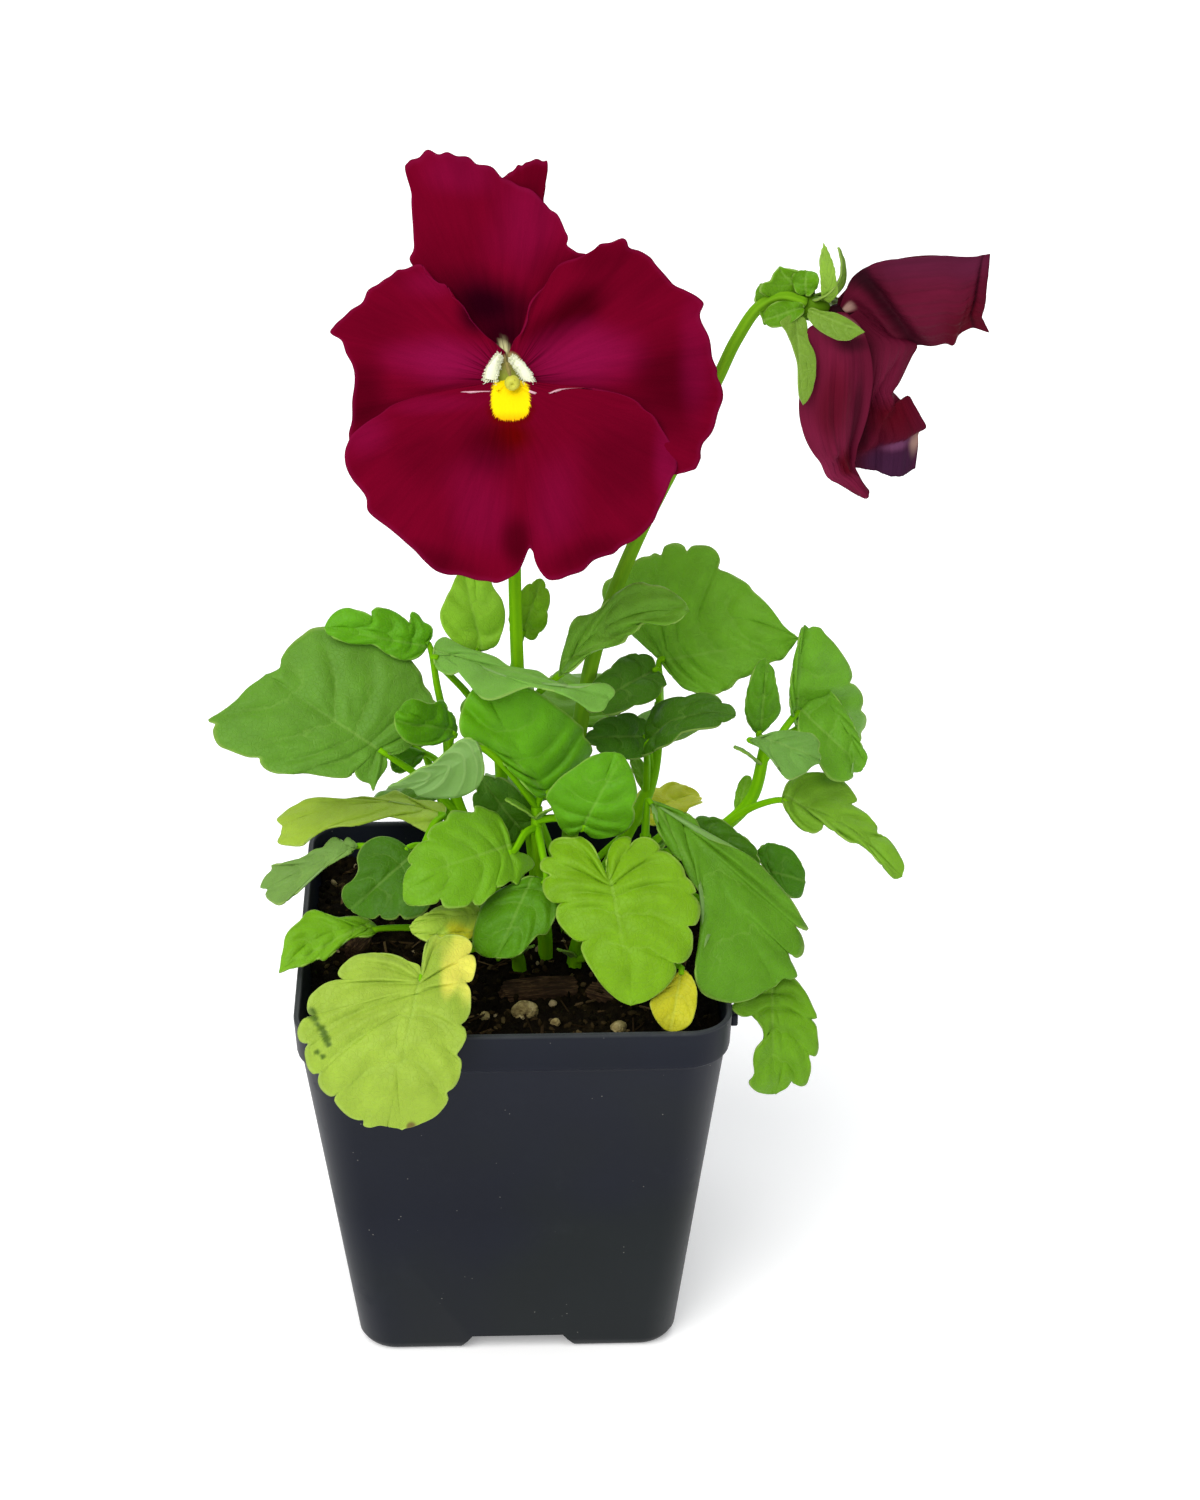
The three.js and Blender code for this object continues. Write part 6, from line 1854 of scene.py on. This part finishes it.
def makeStipule(stemPath, at, turn):
    root = along(stemPath, at)[0]
    length = 9
    out = unit([math.cos(turn), math.sin(turn), 0.9])
    return makeBlade({
        "base": root - out * 0.3, "tip": root + out * length,
        "up": [-math.cos(turn) * 0.5, -math.sin(turn) * 0.5, 1], "halves": [length * 0.17] * 2,
        "teeth": 0, "lobe": [0, 0], "widest": -0.2, "bow": 0.05, "fold": 0.1, "wave": 0, "pucker": 0.3,
        "tone": "fresh"}, seed=int(turn * 10))


# in the soil a stem is straight, as its hole is
def standing(foot, following):
    level, depth = soil["level"], 12
    foot, following = np.array([*foot, level]), np.array(following)
    shares = [(z - level) / (following[2] - level) for z in (level - depth, level - depth / 2, level)]
    return [list(foot + (following - foot) * share) for share in shares]


def makeLeafyStem(stem, seed):
    route = standing(stem["foot"], stem["path"][0]) + stem["path"]
    shaft = stalk(route, [1.6, 1.5, 1.35, 1.15], 16, 60, 4, 0.08)
    shaft.data.materials.append(stemSkin)
    parts = [shaft]
    for k, leaf in enumerate(stem["leaves"]):
        label = f"{stem['name']} {k}"
        parts.append(makePetiole(leaf, route, seed + k, label))
        parts.append(makeBlade({**leaf, "label": label, **leafTints.get(label, {})}, seed * 10 + k))
    for at, turn in stem["stipules"]:
        parts.append(makeStipule(route, at, turn))
    piece = join(parts, stem["name"] + "_leaves")
    return finishPiece(piece, "leaf", stem["name"])


def makeLeafTop():
    shade = Shade("leafTop")
    phase, inward, gap = shade.split(shade.attribute("lay"))
    flat = shade.attribute("flat")
    x, y, _ = shade.split(flat)
    tone = shade.attribute("tone", "Color")
    drift = (shade.noise(flat, 0.35, 2) - 0.5) * 0.5
    fork = (inward - 0.45).most(0.0) * 0.30
    off = (((phase + drift).fraction() - 0.5).size() - fork).size() * gap
    sideVein = shade.step(off, 0.30, 0.04) * shade.step(inward, 0.95, 0.35)
    midrib = shade.step(y.size(), 0.55, 0.12) * shade.step(x, 26.0, 3.0)
    vein = sideVein * 0.5 + midrib
    net = shade.step(shade.cells(flat, 0.95, "DISTANCE_TO_EDGE"), 0.09, 0.0)
    cloud = shade.noise(flat, 0.20, 4, 0.6)
    speck = shade.noise(flat, 2.1, 3, 0.7)
    body = shade.scaled(tone, 0.66 + cloud * 0.50 + speck * 0.12)
    pale = shade.mix(0.45, tone, (0.40, 0.60, 0.14))
    colour = shade.mix(vein * 0.30 + net * 0.06, body, pale)
    paleEdge = shade.mix(shade.step(inward, 0.955, 1.0) * 0.30, colour, (0.42, 0.56, 0.14))
    rough = 0.38 + speck * 0.10 + vein * 0.08
    skin = shade.bump(speck * 0.5 - net * 0.45 - vein * 0.35, 0.55, 0.22)
    return shade.surface(Base_Color=paleEdge, Roughness=rough, Normal=skin, Subsurface_Weight=0.08,
                         Subsurface_Radius=(0.6, 1.0, 0.2), Subsurface_Scale=0.0010, Specular_IOR_Level=0.13)


def makeLeafUnder():
    shade = Shade("leafUnder")
    phase, inward, gap = shade.split(shade.attribute("lay"))
    flat = shade.attribute("flat")
    x, y, _ = shade.split(flat)
    tone = shade.attribute("tone", "Color")
    vein = shade.step((phase.fraction() - 0.5).size() * gap, 0.5, 0.1) * (1 - inward * 0.5)
    midrib = shade.step(y.size(), 0.9, 0.2)
    speck = shade.noise(flat, 1.5, 3, 0.7)
    pale = shade.mix(0.35, tone, (0.24, 0.38, 0.13))
    body = shade.scaled(pale, 0.85 + speck * 0.2)
    colour = shade.mix(vein.most(midrib) * 0.18, body, (0.36, 0.52, 0.18))
    return shade.surface(Base_Color=colour, Roughness=0.58, Subsurface_Weight=0.12,
                         Normal=shade.bump(vein + midrib + speck * 0.3, 0.5, 0.25),
                         Subsurface_Radius=(0.6, 1.0, 0.2), Subsurface_Scale=0.0012)


def makeStemSkin(name, low, high):
    shade = Shade(name)
    run, around, _ = shade.split(shade.attribute("run"))
    spot = shade.spot()
    cloud = shade.noise(spot, 130, 4, 0.6)
    ridge = ((around * 5 * 2 * pi).sine() * 0.5 + 0.5)
    colour = shade.mix((cloud * 0.7 + ridge * 0.3), low, high)
    return shade.surface(Base_Color=colour, Roughness=0.5, Specular_IOR_Level=0.03,
                         Normal=shade.bump(shade.noise(spot, 900, 2), 0.2, 0.2))


leafTop = makeLeafTop()
leafUnder = makeLeafUnder()
stemSkin = makeStemSkin("stemSkin", (0.110, 0.36, 0.0015), (0.205, 0.49, 0.003))
hookSkin = makeStemSkin("hookSkin", (0.100, 0.27, 0.004), (0.180, 0.38, 0.012))
calyxSkin = makeStemSkin("calyxSkin", (0.055, 0.135, 0.003), (0.110, 0.25, 0.005))
for seed, stem in enumerate(leafyStems):
    makeLeafyStem(stem, seed + 1)
print("leafy stems grown")


# the open bloom: five petals in layers, each a sheet between its throat and its outline
bloom = {
    "throat": (1, -15, 218), "faces": (0, -0.927, 0.375), "up": (0, 0.375, 0.927), "reach": 40,
    "thickness": 0.4, "rowSteps": 48, "edgeSteps": 240,
}
# black and dark are painted shade, magenta a painted velvet sheen
petalTones = {
    "ground": (0.124, 0.0008, 0.0116), "wine": (0.084, 0.0004, 0.0070), "dark": (0.048, 0.0001, 0.0038),
    "black": (0.016, 0.0001, 0.0034), "magenta": (0.185, 0.0030, 0.037), "rust": (0.090, 0.0008, 0.0008),
    "cream": (0.62, 0.60, 0.30),
}
bloomAxis, bloomUp = unit(bloom["faces"]), unit(bloom["up"])
bloomRight = np.cross(bloomUp, bloomAxis)


def inBloom(points):
    basis = np.array([bloomRight, bloomUp, bloomAxis])
    return np.asarray(points, float) @ basis + bloom["throat"]


def makePetal(petal, seed):
    outline = [(x, y, 0) for x, y in petalOutlines[petal["name"]]]
    area = sum(a[0] * b[1] - b[0] * a[1] for a, b in zip(outline, outline[1:] + outline[:1]))
    if area > 0:
        outline = outline[::-1]
    piece, u, v = sheet(bloom["edgeSteps"], bloom["rowSteps"])
    rim = along(outline, u)
    fine = 0.5 * np.sin(67 * u + seed) + 0.4 * np.sin(113 * u + 2 * seed)
    rim[:, :2] *= 1 + (fine * 0.008 * smoothstep(0, 0.08, u) * smoothstep(1, 0.92, u))[:, None]
    share = v ** 0.8
    x, y = rim[:, 0] * share, rim[:, 1] * share
    radius = np.hypot(x, y)
    turn = np.arctan2(y, x)
    far = radius / bloom["reach"]
    rise = petal["layer"] * (radius / (3 if petal["layer"] > 0 else 9)).clip(0, 1)
    ruffle = 0.9 * np.sin(9 * turn + petal["layer"]) * far ** 3
    ruffle += (0.55 * np.sin(17 * turn + seed) + 0.3 * np.sin(29 * turn + 2 * seed)) * share ** 5
    veins = 0.07 * np.sin(46 * turn + 1.5 * np.sin(radius * 0.3)) * smoothstep(4, 14, radius)
    spot = np.stack([x, y, np.full_like(x, 9.0 * seed)], axis=1)
    soft = 0.25 * wobble(spot, 0.22, seed) + 0.10 * wobble(spot, 0.6, seed + 2)
    depth = rise - petal["cup"] * far ** 2 + ruffle + veins + soft * smoothstep(3, 12, radius)
    depth += petal.get("curl", 0) * smoothstep(0.8, 1.0, share)
    place(piece, inBloom(np.stack([x, y, depth], axis=1)) * mm)
    note(piece, "face", np.stack([x, y, share], axis=1))
    note(piece, "kind", np.full(len(u), petal["kind"]))
    paint(piece, "tone", petalTone(x, y, petalZones[petal["name"]], seed))
    weldDoubles(piece)
    piece.data.materials.append(velvet)
    applyModifier(piece, "SOLIDIFY", thickness=bloom["thickness"] * mm, offset=0, use_even_offset=False)
    smooth(piece)
    return piece


def petalTone(x, y, zones, seed):
    tone = np.tile(petalTones["ground"], (len(x), 1))
    spot = np.stack([x, y, np.full_like(x, 4.0 * seed)], axis=1)
    stray = 0.16 * wobble(spot, 0.35, seed)
    for right, up, across, high, lean, name, share in zones:
        dx, dy = x - right, y - up
        away = np.sqrt(((dx * math.cos(lean) + dy * math.sin(lean)) / across) ** 2
                       + ((dy * math.cos(lean) - dx * math.sin(lean)) / high) ** 2)
        weight = share * smoothstep(1.5, 0.25, away + stray)[:, None]
        tone = tone * (1 - weight) + np.array(petalTones[name]) * weight
    return tone


def makeVelvet():
    shade = Shade("velvet")
    x, y, share = shade.split(shade.attribute("face"))
    kind = shade.attribute("kind", "Fac")
    tone = shade.attribute("tone", "Color")
    radius = (x * x + y * y) ** 0.5
    turn = shade.node("ShaderNodeMath", {0: y, 1: x}, operation="ARCTAN2")
    rays = shade.noise(shade.vector(turn * 8.0, radius * 0.035, kind * 3.0), 2.2, 4, 0.6)
    fine = shade.noise(shade.vector(turn * 30.0, radius * 0.06, kind * 5.0), 2.0, 3, 0.6)
    nap = shade.noise(shade.spot(), 2600, 2)
    base = shade.scaled(tone, 0.74 + rays * 0.30 + fine * 0.26 + nap * 0.12)
    lines = shade.noise(shade.vector(turn * 11.0, 0.0, kind * 2.0), 2.6, 2, 0.5)
    upper = shade.step(y, -2.5, -0.5)
    guide = shade.step(lines, 0.50, 0.40) * shade.step(radius, 12.0, 4.0) * upper
    base = shade.mix(guide * 0.75, base, (0.016, 0.0002, 0.0030))
    rim = shade.step(share, 0.965, 1.0)
    base = shade.mix(rim * 0.40, base, (0.20, 0.006, 0.045))
    seam = shade.step((1 - share) * radius, 0.55, 0.25) * shade.step(radius, 15.0, 7.0)
    base = shade.mix(seam * shade.step(y, 1.5, -0.5) * 0.85, base, (0.78, 0.46, 0.54))
    lower = shade.step(kind, 4.3, 4.7)
    gullet = shade.step(((x - 0.2) * (x - 0.2) / 7.5 + (y - 1.2) * (y - 1.2) / 18.0), 1.15, 0.70)
    hollow = shade.mix(shade.step(y, -1.0, 5.0), (0.36, 0.42, 0.045), (0.30, 0.24, 0.10))
    base = shade.mix(gullet, base, hollow)
    fringe = shade.noise(shade.vector(turn * 14.0, 0.0, 1.0), 3.2, 3, 0.7)
    wide = ((x - 0.1).size() / 3.75) ** 3.0
    tall = ((y + 3.7).size() / 4.0) ** 3.0
    box = (wide + tall) ** 0.3333 - (fringe - 0.5) * 0.55
    scorched = shade.step(box, 1.42, 1.02) * lower * shade.step(y, -3.0, -6.0)
    base = shade.mix(scorched * 0.8, base, (0.110, 0.0012, 0.0006))
    blotch = shade.step(box, 1.02, 0.95) * lower
    flame = shade.mix(shade.step(y, -5.6, -7.6), (0.92, 0.68, 0.004), (0.88, 0.44, 0.003))
    colour = shade.mix(blotch, base, flame)
    return shade.surface(
        Base_Color=colour, Roughness=0.9, Specular_IOR_Level=0.0,
        Normal=shade.bump(rays * 0.5 + fine * 0.4 + nap * 0.2, 0.3, 0.25))


# the throat's beards: a crescent of short blunt hairs at the root of each side petal
beards = {
    "left": [(-1.8, 5.0, 0.6), (-2.6, 3.4, 0.8), (-3.4, 1.6, 0.9), (-3.8, -0.1, 0.7)],
    "right": [(0.3, 4.5, 0.6), (1.8, 2.8, 0.9), (3.1, 0.9, 0.9), (4.2, -1.3, 0.7)],
    "radii": {"left": [0.35, 0.95, 1.35, 1.25], "right": [0.4, 0.95, 1.15, 0.75]},
    "hairs": 420, "hair": 0.10, "short": 0.45, "long": 0.95,
}


# many copies of one hair, each laid straight from its own foot to its tip
def makeHairs(lines, radius):
    first = stalk([(0, 0, 0), (0, 0, 0.5), (0, 0, 1)], [1, 1], 5, 4, 3, 0.0)
    turns = unit(pointsOf(first) * [1, 1, 0] + 1e-12)[:, :2]
    rise = (pointsOf(first)[:, 2] / mm).clip(0, 1)
    hairs = []
    for foot, tip in lines:
        one = first.copy()
        one.data = first.data.copy()
        bpy.context.collection.objects.link(one)
        ahead = unit(tip - foot)
        side = unit(np.cross(ahead, [0.3, 1, 0.2]))
        other = np.cross(ahead, side)
        girth = (radius * (1 - 0.5 * rise) * (np.hypot(*(pointsOf(first)[:, :2].T)) > 0.01 * mm))[:, None]
        spots = foot + (tip - foot) * rise[:, None]
        spots = spots + girth * (turns[:, :1] * side + turns[:, 1:] * other)
        place(one, inBloom(spots) * mm)
        hairs.append(one)
    bpy.data.objects.remove(first)
    return hairs


def makeBeards():
    draw = random.Random(5)
    parts, lines = [], []
    for side, way in (("left", -1), ("right", 1)):
        arc = along(beards[side], np.linspace(0, 1, 60))
        girth = np.interp(np.linspace(0, 1, 60), np.linspace(0, 1, 4), beards["radii"][side])
        parts.append(stalk([inBloom(p) for p in arc[::6]], beards["radii"][side], 18, 30, 3, 0.05))
        for _ in range(beards["hairs"]):
            k = draw.randrange(2, 60)
            around = draw.uniform(0, 2 * pi)
            out = np.array([math.cos(around), 0.8 * math.sin(around),
                            0.4 * abs(math.sin(2 * around)) + 0.3])
            foot = arc[k] + unit(out) * girth[k] * 0.75
            reach = draw.uniform(beards["short"], beards["long"])
            lines.append((foot, foot + unit(out + [way * 0.3, -0.25, 0.1]) * reach))
    parts += makeHairs(lines, beards["hair"])
    piece = join(parts, "bloom_beards")
    shade = Shade("beardHair")
    piece.data.materials.clear()
    piece.data.materials.append(shade.surface(
        Base_Color=shade.mix(shade.noise(shade.spot(), 900), (0.74, 0.77, 0.52), (0.86, 0.88, 0.70)),
        Roughness=0.6, Subsurface_Weight=0.2, Subsurface_Radius=(1, 1, 0.6), Subsurface_Scale=0.0006))
    return finishPiece(piece, "petal", "bloom_petals")


def makeOpenPetals():
    parts = [makePetal(petal, k + 1) for k, petal in enumerate(openPetals)]
    spur = stalk([inBloom(p) for p in ((0, -1.8, -0.8), (0, -4.2, -4), (0, -4.8, -7.5))],
                 [1.3, 1.1, 0.9], 14, 20)
    note(spur, "face", np.tile((20.0, 0.0, 0.5), (len(spur.data.vertices), 1)))
    paint(spur, "tone", np.tile(petalTones["ground"], (len(spur.data.vertices), 1)))
    spur.data.materials.append(velvet)
    piece = join([*parts, spur], "bloom_open_petals")
    return finishPiece(piece, "petal", "bloom_petals")


openStalk = {
    "foot": [6.5, 3.5], "radii": [1.5, 1.35, 1.25, 1.15],
    "path": [[5.5, 3, 95], [2.6, 2, 130], [1.6, 2, 160], [1.6, 2.4, 190], [1.6, 2.4, 205],
             [1.3, 1.4, 211.4], [1, -4.2, 214.2], [1, -9.8, 216]],
}


plainBlade = {"teeth": 0, "lobe": [0, 0], "wave": 0, "pucker": 0.25}


def makeSepal(base, tip, up, width, bow, widest=0.35, fold=0.25):
    return makeBlade({**plainBlade, "base": base, "tip": tip, "up": up, "halves": [width / 2] * 2,
                      "widest": widest, "bow": bow, "fold": fold, "tone": "fresh"})


def makeStigmaSkin():
    shade = Shade("stigmaSkin")
    spot = shade.spot()
    brown = shade.step(shade.noise(spot, 700, 3, 0.6), 0.56, 0.70)
    colour = shade.mix(brown * 0.6, (0.50, 0.50, 0.045), (0.20, 0.11, 0.015))
    return shade.surface(Base_Color=colour, Roughness=0.45, Specular_IOR_Level=0.3)


# the dark groove that runs down to the stigma
def makeGrooveSkin():
    shade = Shade("grooveSkin")
    cloud = shade.noise(shade.spot(), 900, 3)
    return shade.surface(Base_Color=shade.mix(cloud, (0.10, 0.06, 0.010), (0.30, 0.26, 0.05)), Roughness=0.7)


def makeOpenStalk():
    shaft = stalk(standing(openStalk["foot"], openStalk["path"][0]) + openStalk["path"],
                  openStalk["radii"], 20, 150, 4, 0.10)
    shaft.data.materials.append(stemSkin)
    parts = [shaft]
    for k in range(5):
        turn = pi / 2 + k * 2 * pi / 5
        out = np.array([math.cos(turn), math.sin(turn), 0])
        sepalUp, earUp = [unit(inBloom(out * share + [0, 0, 1]) - bloom["throat"]) for share in (-0.3, 1)]
        parts.append(makeSepal(inBloom(out + [0, 0, -5.6]), inBloom(out * 13 + [0, 0, -9.2]),
                               sepalUp, 4, -0.06))
        parts.append(makeSepal(inBloom(out * 1.2 + [0, 0, -5.8]), inBloom(out * 3.4 + [0, 0, -9.4]),
                               earUp, 3.2, 0.05, -0.2, 0.1))
    receptacle = ball(2.3, inBloom((0, 0, -5.4)))
    receptacle.data.materials.append(stemSkin)
    deselectAll()
    bpy.ops.mesh.primitive_uv_sphere_add(segments=32, ring_count=24, radius=1.5)
    stigma = bpy.context.object
    points = pointsOf(stigma)
    hollow = np.exp(-((points[:, 0] ** 2 + (points[:, 1] + 0.5) ** 2) / 0.28)) * (points[:, 2] > 0)
    points = points * (1 - 0.55 * hollow)[:, None]
    place(stigma, inBloom(points + [0.5, -0.5, 2.9]) * mm)
    stigma.data.materials.append(makeStigmaSkin())
    smooth(stigma)
    style = stalk([inBloom(p) for p in ((0, 0, -6), (0, 0, -2), (0, 0, 2.4))], [0.8, 0.8], 12, 8)
    style.data.materials.append(stemSkin)
    groove = stalk([inBloom(p) for p in ((-0.5, 3.4, 1.6), (-0.2, 2.0, 2.3), (0.2, 0.6, 3.4))],
                   [0.3, 0.42, 0.25], 10, 12)
    groove.data.materials.append(makeGrooveSkin())
    piece = join([*parts, receptacle, stigma, style, groove], "bloom_open_stalk")
    return finishPiece(piece, "stalk", "bloom_stalk")


velvet = makeVelvet()
makeOpenPetals()
makeBeards()
makeOpenStalk()
print("open bloom made")


# the wilted bloom: limp petals, pleated along their length and crumpled
wilted = {
    "foot": [12.2, 5.5], "radii": [1.7, 1.6, 1.3, 1.05],
    "path": [[12.2, 5.5, 95], [14, 6, 125], [17.5, 6.4, 147], [22, 6, 162.5], [27.5, 5.4, 177],
             [35, 5, 193.3], [42.5, 5, 210], [46, 5, 218], [50.6, 5, 225], [55.4, 5, 226.8], [59.5, 5,
              225.4]],
    "sepals": [
        {"base": [60.8, 4.5, 226], "tip": [62.6, 2, 238.8], "up": [0.3, -1, 0], "halves": [1.9, 1.5],
         "bow": 0.04,
         "light": 1.5},
        {"base": [61, 5.6, 225.4], "tip": [66, 9, 235.6], "up": [0.8, -0.6, -0.2], "halves": [1.6,
         1.6], "bow": 0.3},
        {"base": [59.5, 2.8, 225], "tip": [70.8, -1, 221.4], "up": [0, -0.9, 0.4], "halves": [2.5,
         2.3], "bow": 0.05},
        {"base": [57.3, 2.3, 224], "tip": [58.8, -3.4, 206.9], "up": [0.2, -1, 0], "halves": [2.2, 2.2],
         "bow": 0.03, "sway": 0.06},
        {"base": [60.5, 7, 226], "tip": [68, 13, 221], "up": [0.2, 0.8, 0.4], "halves": [2, 2],
         "bow": 0.05},
    ],
    "ears": [
        {"base": [59, 7, 226.5], "tip": [53.6, 7, 232.6], "up": [0.1, -1, 0.15], "halves": [3.2, 3]},
        {"base": [58.5, 7, 226.5], "tip": [49.8, 7, 228.6], "up": [-0.1, -1, 0.1], "halves": [2.6, 2.8]},
        {"base": [59, 4, 225], "tip": [51.2, 2, 223], "up": [-0.2, -0.9, 0.5], "halves": [2.3, 2.3]},
        {"base": [59, 6, 225], "tip": [53, 9.5, 224], "up": [-0.2, 0.9, 0.5], "halves": [2.5, 2.5]},
        {"base": [59.5, 5.5, 227], "tip": [59.6, 6.6, 231.6], "up": [-0.2, -0.8, 0.5], "halves": [2.6,
         2.6]},
    ],
}
# dark is painted shade in the fold valleys, pink a painted lit side, violet a painted sheen
limpTones = {
    "ground": (0.080, 0.0032, 0.0155), "rose": (0.150, 0.0080, 0.034), "pink": (0.245, 0.022, 0.075),
    "crimson": (0.080, 0.0007, 0.0070), "dark": (0.019, 0.0016, 0.0048), "violet": (0.100, 0.014, 0.048),
    "purple": (0.042, 0.0095, 0.034), "lilac": (0.145, 0.045, 0.110), "cream": (0.44, 0.27, 0.22),
}


# the spot of the picture at a depth behind the pot's middle
def atDepth(spot):
    ray = rayThrough(spot)
    return eye + ray * ((spot[2] - eye[1]) / ray[1])


# how far each point of a sheet lies from a line on it, in shares of the sheet's own size
def awayFrom(s, t, s0, t0, s1, t1, tall=30, wide=15):
    px, py = (s - s0) * tall, (t - t0) * wide
    dx, dy = (s1 - s0) * tall, (t1 - t0) * wide
    share = ((px * dx + py * dy) / (dx * dx + dy * dy)).clip(0, 1)
    return np.hypot(px - share * dx, py - share * dy)


def makeLimpPetal(petal, seed):
    piece, s, t = sheet(100, 80)
    drawn = limpEdges.get(petal["name"])
    if drawn:
        nearPath, farPath = [[atDepth(p) for p in drawn[key]] for key in ("near", "far")]
    else:
        nearPath, farPath = petal["near"], petal["far"]
    steps = np.linspace(0, 1, 101)
    row = np.rint(s * 100).astype(int)
    nears, fars = along(nearPath, steps), along(farPath, steps)
    near, far = nears[row], fars[row]
    tangent = unit(np.gradient((nears + fars) / 2, axis=0))[row]
    normal = unit(np.cross(far - near, tangent) + 1e-9)
    normal = normal * np.sign(normal @ np.array([0.0, -1.0, 0.2]))[:, None]
    opened = (s * 2.5).clip(0, 1)
    inside = np.sin(pi * t.clip(0, 1)) ** 0.5
    if drawn:
        relief = np.zeros_like(s)
        for s0, t0, s1, t1, width, height in drawn["folds"]:
            relief += height * np.exp(-(awayFrom(s, t, s0, t0, s1, t1) / width) ** 2)
        relief = relief * opened + 1.6 * np.sin(pi * t) * opened
        end = np.interp(t, np.linspace(0, 1, len(drawn["end"])), drawn["end"]) * smoothstep(0.8, 1.0, s)
    else:
        relief = petal["fold"] * np.sin(pi * petal["pleats"] * t) * np.sin(pi * t) * opened
        end = (0.9 * np.sin(11 * t + seed) + 0.5 * np.sin(27 * t)) * smoothstep(0.85, 1.0, s)
    spot = np.stack([s * 30, t * 14, np.full_like(s, seed * 5.0)], axis=1)
    fine = 0.10 * np.sin(2 * pi * 7 * t + 2.2 * s + seed) + 0.05 * np.sin(2 * pi * 15 * t - 3 * s)
    crumple = 0.30 * wobble(spot, 0.40, seed) + 0.14 * wobble(spot, 1.1, seed + 1)
    lift = (relief + (fine + crumple) * opened) * inside
    points = near + (far - near) * t[:, None] + normal * lift[:, None] + tangent * end[:, None]
    place(piece, points * mm)
    note(piece, "limp", np.stack([s, t, np.full_like(s, seed)], axis=1))
    tone = np.tile(limpTones["ground"], (len(s), 1))
    if drawn:
        for s0, t0, tall, wide, name, share, lean in drawn["tones"]:
            away = np.hypot((s - s0 - lean * (t - t0)) / tall, (t - t0) / wide)
            weight = share * smoothstep(1.5, 0.3, away + 0.12 * wobble(spot, 0.6, seed))[:, None]
            tone = tone * (1 - weight) + np.array(limpTones[name]) * weight
    paint(piece, "tone", tone)
    piece.data.materials.append(limpSkin)
    applyModifier(piece, "SOLIDIFY", thickness=0.4 * mm, offset=0, use_even_offset=False)
    smooth(piece)
    return piece


def makeLimpSkin():
    shade = Shade("limpSkin")
    s, t, seed = shade.split(shade.attribute("limp"))
    tone = shade.attribute("tone", "Color")
    lines = shade.noise(shade.vector(s * 1.6, t * 26.0, seed), 1.6, 4, 0.6)
    cloud = shade.noise(shade.vector(s * 3.0, t * 3.0, seed), 1.3, 4)
    colour = shade.scaled(tone, 0.62 + lines * 0.20 + cloud * 0.46)
    return shade.surface(Base_Color=colour, Roughness=0.62, Specular_IOR_Level=0.04,
                         Normal=shade.bump(lines, 0.4, 0.3))


def makeWiltedPetals():
    parts = [makeLimpPetal(petal, k + 1) for k, petal in enumerate(limpPetals)]
    # the core is painted the dark tone: painted shade in the bloom's middle
    core = ball(2.6, [66.8, 6.4, 222.8], [1.2, 0.6, 0.75])
    core.data.materials.append(limpSkin)
    paint(core, "tone", np.tile(limpTones["dark"], (len(core.data.vertices), 1)))
    return finishPiece(join([*parts, core], "bloom_wilted_petals"), "wilted_petal", "wilted_petals")


def makeWiltedStalk():
    shaft = stalk(standing(wilted["foot"], wilted["path"][0]) + wilted["path"],
                  wilted["radii"], 20, 170, 4, 0.10)
    shaft.data.materials.append(hookSkin)
    parts = [shaft]
    for k, sepal in enumerate(wilted["sepals"]):
        parts.append(makeBlade({**plainBlade, "tone": "sepal", "widest": 0.3, "fold": 0.2,
                                "label": f"sepal {k}", **sepal}, k))
    for k, ear in enumerate(wilted["ears"]):
        parts.append(makeBlade({**plainBlade, "tone": "ear", "widest": -0.3, "fold": 0.3, "wave": 0.7,
                                "label": f"ear {k}", **ear}, k))
    receptacle = ball(2.4, [61.0, 6.8, 223.8], [1.5, 1, 1.1])
    receptacle.data.materials.append(calyxSkin)
    return finishPiece(join([*parts, receptacle], "bloom_wilted_stalk"), "stalk", "wilted_stalk")


limpSkin = makeLimpSkin()
makeWiltedPetals()
makeWiltedStalk()
print("wilted bloom made")
